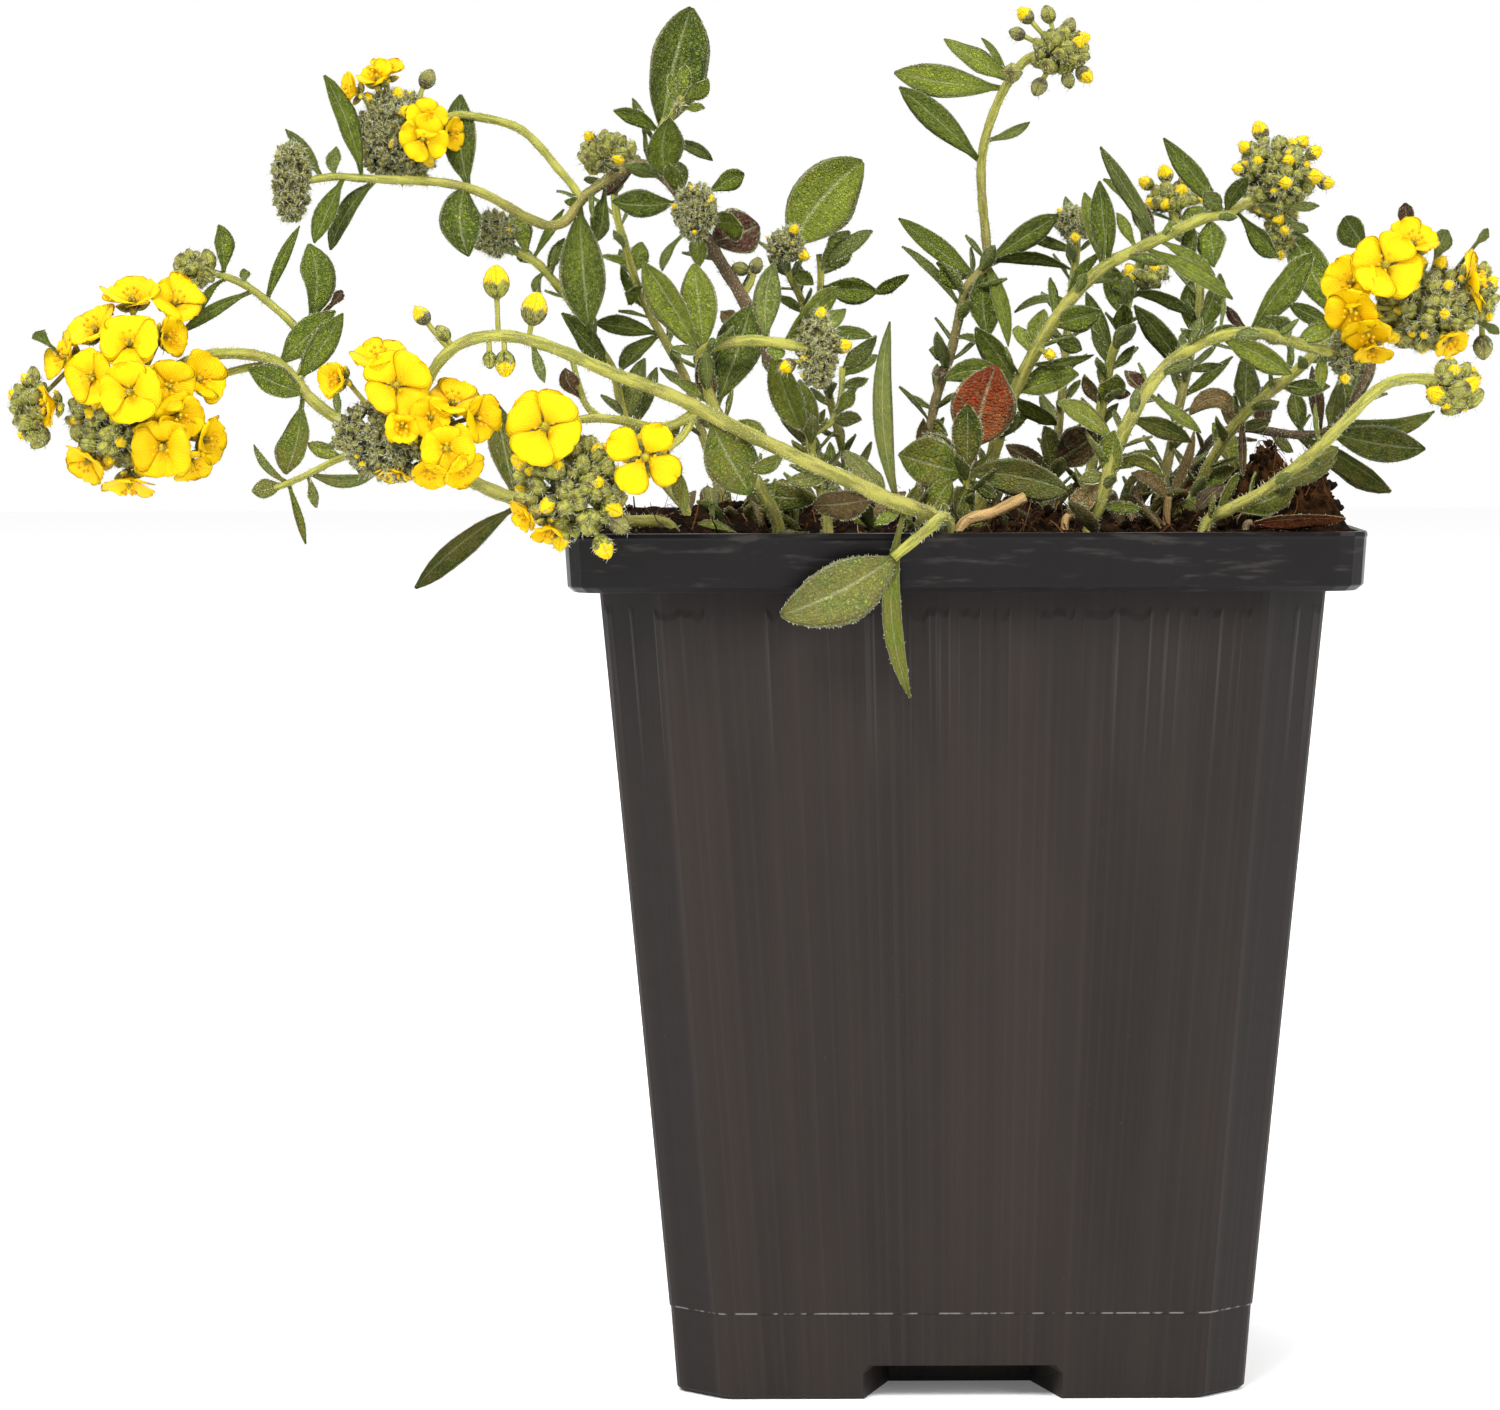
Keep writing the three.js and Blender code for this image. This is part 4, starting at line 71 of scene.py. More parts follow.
# Stems and stalks by node. Each row: radius at the start, radius at the end, points [x, z, y].
# x and z are read on the upright plane of the rim's front edge, and y is the real depth.
ROUTES = by_node({
    "shoot_a": [
        [0.85, 0.6, [[-33, 100.7, -30], [-38, 101.4, -32], [-43, 102.3, -33], [-49.5, 103.8, -33],
        [-53, 105, -32], [-57, 107, -30], [-61, 109, -28], [-66, 111.3, -25], [-70, 113, -22],
        [-73, 115.3, -20], [-75.2, 118, -19], [-77.5, 119.6, -18], [-81, 120.2, -18], [-85, 119.9, -19],
        [-88.5, 118.3, -20], [-91, 116.5, -20]]], [0.5, 0.42, [[-74.2, 117, -19.5], [-73.3, 120.5, -18],
        [-74.5, 123, -17], [-77, 125.4, -16], [-80, 127.7, -15], [-82.8, 128.9, -14]]],
        [0.45, 0.35, [[-65.5, 111, -25], [-68, 109.3, -24], [-70.5, 108.2, -24], [-73, 106.9, -24],
        [-75.5, 105.8, -24], [-77, 105.2, -24]]], [0.45, 0.4, [[-76.3, 119, -18.3], [-79.5, 118.7, -16.6],
        [-83, 117.8, -16.6], [-86, 116.4, -18], [-89.8, 114.6, -19]]],
    ],
    "shoot_b": [
        [0.95, 0.6, [[-2.2, 100.8, -39.5], [-3.6, 101.7, -42.5], [-5.2, 102.5, -45], [-7, 103.1, -47],
        [-9.5, 104.1, -47.5], [-12.5, 105.6, -47.5], [-16, 107.1, -47.5], [-20, 109, -47.5],
        [-24, 110.9, -47.5], [-28, 112.9, -48], [-32, 115, -49], [-36, 116.6, -50], [-40, 118.1, -50.5],
        [-44, 119.9, -51], [-48, 121.4, -51], [-51, 122, -51], [-54, 121.9, -51], [-56.5, 121, -51],
        [-58.3, 119.5, -51], [-59.6, 117.6, -51], [-61.2, 114.5, -50]]], [0.7, 0.55, [[-2.8, 101.6, -42],
        [-3.3, 101.5, -44.6], [-4.2, 100.6, -47], [-5.8, 99.3, -47.8], [-8.2, 97.3, -48]]],
        [0.55, 0.45, [[-30, 113.6, -48.3], [-32.5, 112.2, -48.5], [-35, 111.9, -48.5],
        [-38, 112.6, -48.5], [-41.5, 112.9, -48.5], [-43.6, 112.3, -48.3], [-44.2, 109.5, -48.2]]],
        [0.5, 0.42, [[-30.3, 113.2, -48], [-31.5, 111, -48.4], [-32.9, 109.8, -49.5],
        [-33.4, 109.2, -50.3]]], [0.4, 0.32, [[-40.5, 112.8, -48.5], [-42.2, 114.2, -48],
        [-43.1, 116.5, -47], [-43.9, 119.8, -46]]],
    ],
    "shoot_d": [
        [0.9, 0.42, [[-13, 101.8, 2], [-15, 105, 2], [-18, 111, 2], [-21.5, 118.5, 1], [-24.6, 125.6, 0],
        [-28, 131.2, 0], [-31, 136.3, 1], [-33.6, 139.6, 2], [-36, 140.9, 2.5], [-38, 140.3, 2],
        [-40.5, 138.8, 1.5], [-42.7, 137.1, 1], [-44.3, 134.9, 0.5], [-46.2, 134.2, 0],
        [-48.3, 134.9, -0.5], [-50.5, 136.1, -1], [-53, 137.5, -1.5], [-55.6, 138.5, -2],
        [-59, 139.1, -2], [-63, 139.3, -2], [-67, 139.5, -2], [-70, 139.7, -2], [-73, 139.3, -2]]],
        [0.45, 0.5, [[-42.7, 137.1, 1], [-43.8, 138.8, 1.5], [-45.5, 140.8, 2], [-47.3, 143, 2.5],
        [-49.3, 144.8, 3], [-51.5, 145.7, 3], [-54, 146.2, 3], [-56.5, 146.4, 3], [-60, 145.4, 2.5]]],
        [0.55, 0.42, [[-33.6, 139.6, 2], [-34.3, 142, 1.5], [-34, 144.5, 1], [-33.4, 146, 0.5]]],
        [0.5, 0.5, [[-30.5, 135.5, 0.8], [-30.3, 135.6, -4]]],
        [0.4, 0.35, [[-33.2, 145.5, 0.5], [-32.2, 147, -1.5], [-31.5, 148.5, -2]]],
        [0.4, 0.35, [[-25, 126.3, 0], [-24, 127.8, 0], [-23.6, 129.2, 0]]],
    ],
    "shoot_e": [
        [0.55, 0.5, [[-31, 102, 6], [-34, 106, 7], [-37, 110.5, 8], [-38.4, 114.5, 8], [-39.2, 117.8, 8],
        [-41.5, 121.8, 8.5], [-43.6, 125.2, 9], [-45.6, 127.8, 9], [-47.6, 130, 9], [-49.8, 131.3, 9],
        [-51.5, 132.5, 9]]],
    ],
    "shoot_g": [
        [0.55, 0.42, [[-27, 102.2, 14], [-28.5, 108, 14], [-30, 113, 14], [-31.3, 117.3, 13.5],
        [-33.3, 121, 13], [-35.3, 124.6, 13], [-36.9, 128.5, 12.5], [-37.9, 132, 12], [-38.8, 135.2, 12],
        [-39.2, 138.5, 12], [-40, 141.3, 12]]],
    ],
    "shoot_h": [
        [0.75, 0.62, [[-21, 100.8, -36], [-23, 105, -37], [-26, 110, -38], [-28.3, 114.5, -39],
        [-29.4, 118, -39], [-29.6, 120, -39], [-27.5, 121, -39.5], [-24, 121.4, -40], [-20.5, 121.1, -40],
        [-17.5, 120.5, -39.5]]],
    ],
    "shoot_i": [
        [0.65, 0.5, [[-15.5, 100.9, -34], [-16.3, 105, -34], [-17.2, 109, -34.5], [-17.6, 112, -35]]],
        [0.4, 0.35, [[-17.4, 111, -34.5], [-15, 112.5, -30], [-14, 115, -28], [-13.8, 118.5, -27]]],
    ],
    "shoot_j": [
        [0.5, 0.4, [[-12, 102.6, 22], [-13.5, 108, 20], [-15, 114, 17], [-16.5, 120, 14], [-18, 125, 11],
        [-19.6, 128.5, 9], [-20.2, 130.8, 8]]],
        [0.4, 0.35, [[-18, 125, 11], [-16.5, 126.3, 11], [-16.2, 128.5, 11], [-16.4, 131, 11]]],
        [0.35, 0.3, [[-16.3, 126.8, 11], [-13.5, 126.6, 11], [-10.3, 126.7, 11]]],
    ],
    "shoot_k": [
        [0.55, 0.5, [[-6, 102.4, 20], [-5, 106, 20], [-4.2, 111, 20], [-3.4, 115, 20], [-2, 119.2, 20],
        [-1, 123.3, 20], [-0.2, 126.8, 20], [1.2, 128.7, 20.5], [2.2, 130, 21], [2.1, 133, 22],
        [1.7, 137, 22], [1.6, 140.5, 22], [2, 143.5, 22], [3, 146.6, 22], [4.3, 149.4, 22],
        [6.4, 152.2, 22], [8.6, 153.3, 22]]],
    ],
    "shoot_l": [
        [0.85, 0.6, [[1, 101.4, -12], [2, 105, -13], [3.3, 110, -14], [4.8, 114.5, -15],
        [6.6, 118.3, -16], [9, 122.4, -16.5], [11.2, 125.5, -17], [13.5, 128, -17], [15.7, 129.8, -17],
        [18.3, 131.1, -16.5], [21, 132.4, -16], [24, 133.8, -15], [26.6, 134.9, -14], [29, 135.4, -13],
        [31.5, 136.8, -12]]],
    ],
    "shoot_m": [
        [0.85, 0.65, [[13.8, 100.9, -36], [14.6, 103, -36.5], [15.6, 105.8, -37], [16.3, 108.3, -37],
        [17.2, 110.6, -37], [18.6, 113.4, -36.5], [20.3, 116.2, -36], [22.3, 118.5, -35],
        [24.6, 120.3, -34], [27.2, 121.5, -33], [30, 122.1, -32], [33, 122, -31], [36, 121.2, -29],
        [38.6, 120.4, -27], [40.3, 120, -25]]],
    ],
    "shoot_n": [
        [0.75, 0.6, [[26.5, 100.7, -38], [29.2, 102.6, -38.5], [32.6, 104.3, -39], [36, 106.8, -39.5],
        [39, 109.3, -40], [42, 112.3, -39.5], [44.6, 115, -39], [47, 116.6, -38], [49.5, 117, -37],
        [51, 116.9, -36], [53, 116.6, -35.3]]],
    ],
    "shoot_o": [
        [0.65, 0.5, [[13, 102.6, 16], [13.8, 107, 15], [14.6, 112, 14], [15.3, 116, 13.5],
        [16, 119.3, 13], [16.9, 122, 13], [17.7, 125, 13], [18.4, 127.2, 13], [19.3, 128.3, 13]]],
    ],
    "shoot_p": [
        [0.6, 0.45, [[21.5, 102.2, 12], [22, 106, 12], [22.8, 110, 11.5], [23.6, 114, 11],
        [24.5, 118, 11], [25.2, 121.5, 11], [25.8, 125, 11], [25.8, 128.5, 11.5], [24.8, 131.5, 12],
        [23.4, 134, 13], [22.6, 136, 13.5]]],
    ],
    "shoot_q": [
        [0.65, 0.55, [[24.5, 102.2, -2], [25.3, 104, -2.5], [26.8, 107.3, -4], [28.6, 110.2, -6],
        [30.6, 112.8, -8], [33, 115, -9], [35.5, 117, -10], [37.6, 118.9, -11], [39.8, 121.2, -12],
        [42.5, 123.4, -14], [45.3, 124.6, -18], [48.6, 125, -22]]],
    ],
    "shoot_r": [
        [0.5, 0.45, [[9, 102.6, 28], [9.6, 107, 28], [10.2, 112, 27.5], [10.7, 117, 27],
        [11.1, 122, 26.5], [11.6, 127, 26], [12, 130, 26], [12.2, 133, 26]]],
    ],
    "shoot_t": [
        [0.6, 0.42, [[24, 103, 18], [25, 106, 18], [27, 110, 18], [30, 111.6, 18], [33.5, 111.2, 17],
        [37, 110.8, 16], [40, 111.2, 15], [42.3, 113.2, 14], [43.8, 116.2, 13], [45.5, 119.6, 12]]],
    ],
    "shoot_s": [
        [0.6, 0.5, [[0, 101.2, -26], [0, 104, -26.5], [0, 107, -27]]],
    ],
    "shoot_u": [
        [0.6, 0.5, [[9.5, 101.6, -8], [9.5, 105, -8], [9.6, 107.7, -8]]],
    ],
    "leaf_red": [
        [0.45, 0.4, [[0.3, 101.2, -20], [0.5, 105, -20], [0.9, 109.8, -20]]],
    ],
    "leaf_red_low": [
        [0.5, 0.4, [[31, 100.4, -40.8], [31.8, 101.1, -40.8]]],
    ],
    "twig": [
        [0.7, 0.62, [[-0.6, 100.7, -36], [3, 102.3, -35.5], [6.5, 104, -35]]],
    ],
    "dead_leaf_front": [
        [0.5, 0.45, [[10.9, 100.8, -36], [11.4, 102, -36]]],
    ],
    "dead_leaf_mid": [
        [0.5, 0.42, [[22.2, 101.2, -30], [22.4, 104, -30]]],
    ],
})

# Leaves by node. Each row: base x, base z, tip x, tip z, width, sideways bow at the middle,
# how much nearer or further the tip is than the base, and tone.
# Tones: 0 green, 1 dark green, 2 pale green, 3 grey green, 4 purple brown, 5 red, 6 dry tan.
LEAVES = by_node({
    "shoot_a": [
        [-72, 122.6, -73, 132.4, 3.7, -0.9, 3, 0], [-76, 119, -70, 124.9, 3.3, 0.2, -2, 0],
        [-75, 116.6, -69.2, 124.7, 3, -0.2, -4, 0], [-73.6, 115.2, -79.9, 118.5, 3.4, 0, -3, 0],
        [-75, 115, -75.8, 106.7, 3.6, 0.6, -3, 0], [-70.3, 110.3, -66, 107.3, 2.8, 0, 2, 1],
        [-69.5, 108.5, -73.4, 110.2, 1.8, 0, 1, 2], [-73, 106.8, -65.4, 107, 1.5, -0.9, -2, 3],
        [-73.2, 106.3, -72.4, 103, 1.1, 0.2, -1, 3], [-75.3, 105.3, -73.6, 98.9, 1, 0, 1, 2],
        [-75.6, 106, -79.3, 110.2, 1, 0.6, 1, 3], [-75.5, 105.2, -79.6, 104.9, 2.2, 0, 0, 3],
        [-82.4, 129.2, -83, 134.5, 2.1, -0.3, -1, 0], [-82.2, 128.4, -85.2, 124.4, 1, -0.7, -1, 0],
        [-79.3, 127, -87.3, 122.4, 1.5, -0.4, -2, 0], [-77.8, 125.9, -73.9, 134.4, 1.4, 0.3, 2, 0],
        [-80, 128.2, -80.3, 129.6, 1.2, 0, 0, 3], [-49.4, 102.6, -61.6, 93.9, 2.9, -0.8, -3, 1],
        [-70.4, 124.2, -69.3, 127.2, 1.3, 0, 0, 4], [-50.2, 104.4, -52.5, 115, 3.6, 0, 5, 1],
    ],
    "head_a": [
        [-100.2, 121, -103.6, 122.5, 1.9, 0, 1, 0],
    ],
    "shoot_b": [
        [-8, 97.4, -21, 90.9, 7, 0.8, 1, 3], [-7, 102.4, -6.2, 81.3, 2.2, -1.9, -2, 2],
        [-7, 102.8, -10.2, 101, 1.4, 0, -1, 2], [-2.4, 101.2, -2.8, 103.3, 1, 0, -1, 2],
        [-20, 109.6, -24.3, 107.3, 1.9, 0.6, -2, 0], [-15, 105.9, -20.2, 105.9, 1.8, 0, 1, 3],
        [-7.7, 103.6, -8.5, 123.8, 2.3, 1.3, 2, 3], [-8.4, 104.3, -13.6, 109.3, 2.6, 0.2, 5, 3],
        [-10, 103.4, -17.2, 103.2, 3.6, 0.2, 4, 4], [-48.4, 121, -46.9, 116.8, 1.3, 0, -1, 3],
        [-43.3, 114.6, -44.6, 118.5, 2.2, 0.3, 1, 4], [-31.9, 108, -31.2, 102.4, 1.9, 0, -1, 2],
        [-31.5, 112.3, -34.2, 110.4, 1.6, 0, 2, 1], [-29.3, 112.2, -24, 104.3, 6, 0, 3, 0],
        [-21.4, 110.2, -25.4, 112.6, 2, 0, 3, 0],
    ],
    "shoot_d": [
        [-67, 139.9, -71.2, 151, 2.5, -0.6, -2, 0], [-70, 140, -69.8, 143, 1.6, 0.2, 2, 3],
        [-71.5, 140, -75.5, 145, 1.6, -0.2, 1, 3], [-69, 139.3, -72.4, 132.3, 2.4, -0.2, -2, 0],
        [-65.3, 139, -70.6, 131.5, 2.3, -0.9, 3, 1], [-55.6, 138.5, -55.2, 130.8, 4.6, -0.8, -3, 1],
        [-55, 138.8, -56, 148.8, 3.8, 0.6, 8, 1], [-42.2, 136.3, -41.9, 122.8, 5.1, -0.4, -3, 1],
        [-39.3, 137.8, -41.1, 132.4, 2.2, 0, 2, 1], [-42.7, 136.9, -44.6, 136.9, 1.1, 0, -1, 0],
        [-25.3, 122.6, -27.3, 124.7, 1.9, 0, -2, 6], [-32.2, 136.2, -39.4, 136.9, 3.1, 0.2, -4, 1],
        [-33.6, 138.4, -32.9, 146.2, 4.1, 0.5, -5, 0], [-31.9, 137.2, -33.1, 141.2, 1.9, -0.2, -5, 2],
        [-30.8, 137.5, -32.2, 141.3, 2, 0, 3, 1], [-29, 137.8, -24.6, 139.9, 2.4, 0.2, 1, 0],
        [-28.5, 135.4, -24.8, 134, 3.2, 0, -3, 2], [-28.6, 132.2, -23, 134.2, 5.4, 0, 3, 4],
        [-30.4, 133.9, -29.6, 129.6, 2, 0, -3, 2], [-31.5, 133.4, -33.8, 129.1, 1.1, -0.6, -1, 3],
        [-33.9, 144.6, -30.4, 158.4, 6.9, 0.1, 3, 1], [-34.4, 144.6, -39.2, 146.9, 1.9, -0.5, -1, 0],
        [-35, 143, -37, 148.3, 1.2, 0, 4, 3], [-31.6, 147.8, -31.2, 152, 1.7, 0, -1, 2],
        [-31.1, 147.6, -28.6, 150.4, 1.9, 0, -1, 2], [-31.5, 147, -29, 147.2, 1, 0, -2, 2],
        [-32, 148, -32.9, 151, 1.4, 0, -1, 2], [-33.4, 143.6, -28.1, 141.3, 1.4, 0.6, 2, 3],
    ],
    "shoot_e": [
        [-48.5, 131, -50.6, 136, 2.3, 0, 1, 2], [-47.9, 130.9, -44.6, 136.1, 1.1, 0, -1, 0],
        [-46.4, 129.2, -44.6, 132.9, 1.6, 0, 1, 1], [-46.4, 129.4, -47, 126, 1.1, -1, -3, 3],
        [-39.5, 118.2, -45, 124.6, 2.4, 0, -5, 1], [-37.7, 112.5, -35.7, 119.6, 2.5, 0.3, -2, 3],
        [-37, 111.5, -34.4, 118.6, 1.9, 0, 2, 3],
    ],
    "shoot_g": [
        [-34.4, 121.8, -41.4, 123.4, 2.3, -0.3, -3, 1], [-33.6, 122.3, -38.5, 118.1, 2, -0.4, -4, 1],
        [-35.8, 126.8, -37.9, 126.7, 2.4, 0, -3, 0], [-35.6, 124.6, -38.4, 129.8, 1.3, 0.3, 1, 0],
        [-36.8, 129, -36, 132.4, 2.2, 0, 2, 0], [-36.9, 130, -40.6, 130.9, 0.9, 0, -1, 2],
    ],
    "shoot_h": [
        [-29.8, 120.3, -35.9, 130.3, 3.8, 0, -1, 2], [-29.4, 120.6, -30.3, 130.1, 4.2, -0.1, 1, 2],
        [-28.4, 113.8, -29.7, 119.6, 2.4, 0, -1, 4], [-29.2, 119.9, -33, 120.7, 1.1, 0.1, -1, 3],
        [-21.6, 121.8, -21.1, 119.2, 2.1, 0, -1, 0], [-27.2, 114.2, -23.9, 125.4, 5.3, 0, 5, 1],
        [-22.2, 121.8, -21.4, 130.1, 3.1, 0.5, 0, 3], [-20.3, 121.3, -14.1, 127.4, 2.7, 0.3, 4, 2],
        [-19.5, 121.2, -13.4, 124.9, 3, 0, 6, 2],
    ],
    "shoot_i": [
        [-18, 109.6, -21.4, 120.3, 3.5, 0.4, -1, 2], [-17.4, 109.4, -18.6, 117.2, 3, 0, 3, 0],
        [-15.4, 112.2, -18, 112.5, 1.5, 0, -1, 3], [-14.9, 112.5, -11.7, 112.7, 1.8, 0, -2, 3],
        [-14.1, 113, -12.6, 116, 1.7, 0, 1, 0], [-13.9, 116.3, -10.9, 117.2, 1.3, 0, -1, 3],
        [-13.8, 118.2, -10, 122, 2, 0, -1, 3], [-13.7, 117.5, -9.9, 119.8, 1.7, 0, 2, 0],
        [-16.3, 103.6, -24.5, 104.4, 3.2, 0, 3, 1],
    ],
    "shoot_j": [
        [-20.2, 132, -11.4, 141.3, 7.4, 0.6, 5, 2], [-16.2, 128.8, -13, 133.6, 3.2, 0, 1, 3],
        [-15.9, 129.9, -10.4, 133.6, 2, 0, -2, 3], [-19.6, 128.8, -17, 127.6, 1.7, 0.2, -1, 0],
        [-16.3, 127.2, -9.8, 126.9, 3, 0, -2, 0], [-10.4, 126.7, -6.4, 128.7, 1.5, 0, 1, 0],
        [-16.9, 121.8, -10.4, 121.7, 1.7, 0.5, -4, 0],
    ],
    "shoot_k": [
        [1.3, 141, -7.6, 149.5, 3.1, -0.3, -3, 0], [3.8, 149.4, -8.2, 151, 3.6, 0.3, -1, 2],
        [4.4, 150.2, -2.6, 154.7, 2.4, 0, 3, 2], [4.2, 150.4, 1.6, 154.8, 0.9, -0.4, 4, 2],
        [2.4, 143.4, 7, 145.5, 1.2, -0.3, 4, 3], [0.8, 128.4, -7.7, 135, 2.4, 0, 1, 0],
        [-0.9, 125, -7.3, 131.9, 1.1, -0.5, -2, 3], [0.4, 128.4, -3.4, 130, 1.8, 0, 3, 2],
        [-0.4, 126.8, -3, 129.6, 2.2, 0, -1, 2], [2.4, 129.9, 10.2, 135.3, 2.9, 0.1, 4, 1],
        [2.4, 129.6, 11.6, 129.2, 1.4, 1.2, -3, 1], [2.3, 129.7, 2.4, 121.7, 3.3, -0.5, -3, 1],
        [2.4, 129.8, 4.6, 120.6, 1.8, 0.4, -6, 2], [-1.9, 119.6, -4.2, 120.4, 1.7, 0, -1, 3],
        [-2.3, 118.8, -3.1, 117.2, 1.5, 0, -2, 4], [-1.4, 121.6, 1.9, 120.6, 0.9, 0.6, -1, 3],
        [-3.9, 113.8, -6.8, 115.4, 0.9, 0, 1, 3], [-4.6, 108.5, -4.8, 112.8, 1.5, 0.3, -2, 6],
        [-4, 112.8, -2.2, 110.8, 1.6, 0, -2, 0],
    ],
    "shoot_l": [
        [5.2, 115.6, 12.5, 117.6, 3.3, 0.2, -2, 0], [15.4, 130, 14.7, 139.1, 2.9, 0, -2, 1],
        [14.9, 129.6, 13, 137.8, 2.1, 0, 3, 2], [19.3, 132.2, 15, 139.2, 1.7, -1.4, 4, 0],
        [21, 132.8, 14.7, 142.9, 2, 0, -3, 3], [20.6, 132.6, 18.6, 137, 2.3, 0, 2, 4],
        [18.6, 131.8, 16.6, 135.5, 1.4, 0, -1, 2], [11, 125.6, 15.2, 131.2, 1.4, 0.8, 1, 0],
        [19.6, 131.3, 29.6, 125.8, 2, 0.4, -4, 2], [21.3, 132.2, 27.6, 128.4, 1.6, 0.3, -2, 2],
        [27, 134.6, 27.4, 129.4, 3.2, 0, -3, 0], [25.3, 133.9, 24.6, 130.2, 2, 0, 0, 1],
        [28.5, 136, 21.7, 143.8, 2.4, 0.1, 2, 0], [28.2, 135.6, 26.3, 137.8, 2.2, 0, -3, 3],
        [28.6, 135.6, 31.2, 139.4, 2, 0.3, -5, 1], [30.2, 135, 34.6, 130.5, 2.2, 0, -3, 0],
        [34.5, 135, 39.1, 136.2, 1.1, 0, -2, 3], [35, 134.8, 37.9, 133.3, 1.1, 0, 0, 3],
        [9.8, 122.8, 15, 124.7, 3.1, 0, -3, 0], [7, 119.8, 5.6, 123, 2.1, 0, 2, 2],
        [7.8, 120.6, 8.6, 124.8, 2.2, 0.3, 3, 2], [9.3, 121.8, 12.8, 120.3, 2, 0, 1, 1],
        [7.2, 118.6, 14.2, 119.8, 1.1, -0.3, -1, 1], [4.9, 115.2, 10, 112, 2.1, 0, 4, 2],
        [5, 116.5, 0.9, 122.9, 3, -0.3, -2, 0], [4.7, 116.4, -2.6, 116.9, 2.8, -1.5, -3, 0],
        [3.4, 110.4, 7.2, 113.9, 1.3, 0, 2, 1],
    ],
    "shoot_m": [
        [15.9, 110, 10, 114.5, 2.5, -0.6, -1, 2], [15.8, 106, 16.4, 111.4, 3, 0, -2, 2],
        [15.6, 106, 12.4, 105.7, 1.6, -0.4, -1, 3], [16, 107, 21.3, 108.9, 1.7, 0.3, 0, 2],
        [16.4, 107.5, 21.9, 106.2, 1.5, 1.3, -2, 2], [26.8, 121.2, 23.7, 122.6, 1.5, 0, -2, 3],
        [36, 120.8, 32.9, 124, 3.5, 0, -2, 3], [28.4, 121.4, 36.2, 117.5, 3, 0.2, -1, 2],
        [25.3, 121, 29.8, 122.9, 0.9, 0.5, 2, 3], [39.9, 119.8, 39.3, 115.9, 1.5, -0.3, -2, 2],
        [36.5, 121.5, 41, 122.8, 2.2, 0, 2, 2], [18.3, 112.6, 25, 110, 2.3, 0.4, 4, 1],
        [20, 115.3, 17.5, 118, 1.7, 0, 1, 4], [20.2, 115.4, 26.1, 111, 1.5, 0, -2, 0],
        [14.6, 103, 19.5, 102.6, 1.4, 0, 0, 0], [14.3, 102.6, 11.9, 102.5, 1.5, 0, -1, 0],
        [31.4, 122.4, 38.5, 131, 3.4, 0.2, 4, 0], [31.6, 122.6, 28.7, 125.2, 1.2, 0.3, 2, 4],
    ],
    "shoot_n": [
        [29.3, 102.4, 36.5, 105.3, 3.4, -0.5, 3, 0], [33, 105.2, 41.3, 108.4, 2.2, -0.4, 3, 3],
        [27.6, 102, 30.3, 106.7, 1.3, 0.2, 2, 0],
    ],
    "shoot_o": [
        [18, 126.3, 15.4, 130, 1.9, 0, -1, 2], [17.2, 124, 15.2, 128.8, 1.7, 0, 2, 1],
        [17, 122, 17.4, 125.5, 2.2, 0, -3, 0], [18.3, 126.6, 25.2, 124, 1.6, 0.7, -3, 1],
        [15.9, 118, 18.6, 120.8, 1.2, -0.3, -1, 1], [16, 119.6, 13.2, 126.8, 2, 0, 3, 1],
        [15.3, 118.6, 13.8, 122.8, 1.1, 0, -2, 3], [14.8, 113.8, 16.7, 117.6, 2.7, 0, -2, 2],
        [14.6, 114, 13, 117.6, 1.5, 0, -2, 6], [15.2, 115.6, 18.2, 115.4, 1.4, 0, 1, 4],
    ],
    "shoot_p": [
        [25.2, 121.8, 25.2, 128.3, 1.8, 0.8, 2, 1], [25.6, 121.3, 28.1, 128.8, 2.3, -0.3, -2, 1],
        [24.3, 117.6, 18.5, 125.3, 2.8, -0.3, -4, 1], [24.4, 117.6, 22.6, 121.8, 1.5, 0, 2, 1],
        [24.5, 118, 28.5, 118.7, 1, 0, -1, 1], [23.8, 115, 29.6, 119.6, 1.3, 0, 2, 0],
        [23.2, 133.8, 26.4, 136, 1.9, 0, -2, 2],
    ],
    "shoot_q": [
        [41.2, 122.6, 35.7, 125.3, 2, 0, 2, 1], [41.8, 123.2, 35.8, 133.8, 4.2, 0.3, 4, 0],
        [30.8, 113.2, 31.2, 120.3, 2.8, 0, 3, 1], [34.7, 116.2, 40.4, 116.2, 2, -0.3, -2, 1],
        [30.5, 112.8, 30.7, 105.9, 1, 0, -2, 4], [30.2, 112.6, 24.6, 112.9, 2.4, -2.2, 2, 6],
        [29.4, 111.4, 28.3, 115, 1.4, 0, 2, 6], [25.6, 105, 29.9, 107.2, 2, 0, -2, 0],
    ],
    "shoot_r": [
        [12.1, 131.2, 5.4, 133.4, 1.3, 0, -1, 1], [12.2, 132.8, 10.9, 137.3, 1.6, 0, 3, 3],
        [11.5, 125.5, 5.2, 124.4, 1, -0.9, 1, 3],
    ],
    "shoot_t": [
        [33.2, 111.5, 32.8, 116.2, 2.4, 0, 2, 4], [37.2, 111, 36.3, 115.7, 2.2, 0, 2, 1],
        [39.2, 111.3, 38.3, 118.5, 1.7, 0, 3, 4], [40.2, 111.5, 41.3, 116.8, 1.7, 0, -2, 3],
        [42, 113, 44.7, 121.8, 4, 0, 4, 1], [40, 111, 51.1, 109.2, 4.1, -0.3, -5, 1],
        [41.5, 112.4, 52.1, 113.5, 2.2, -1.4, -3, 0], [36.5, 110.8, 47.3, 104.4, 3, 0.2, -6, 1],
    ],
    "head_e": [
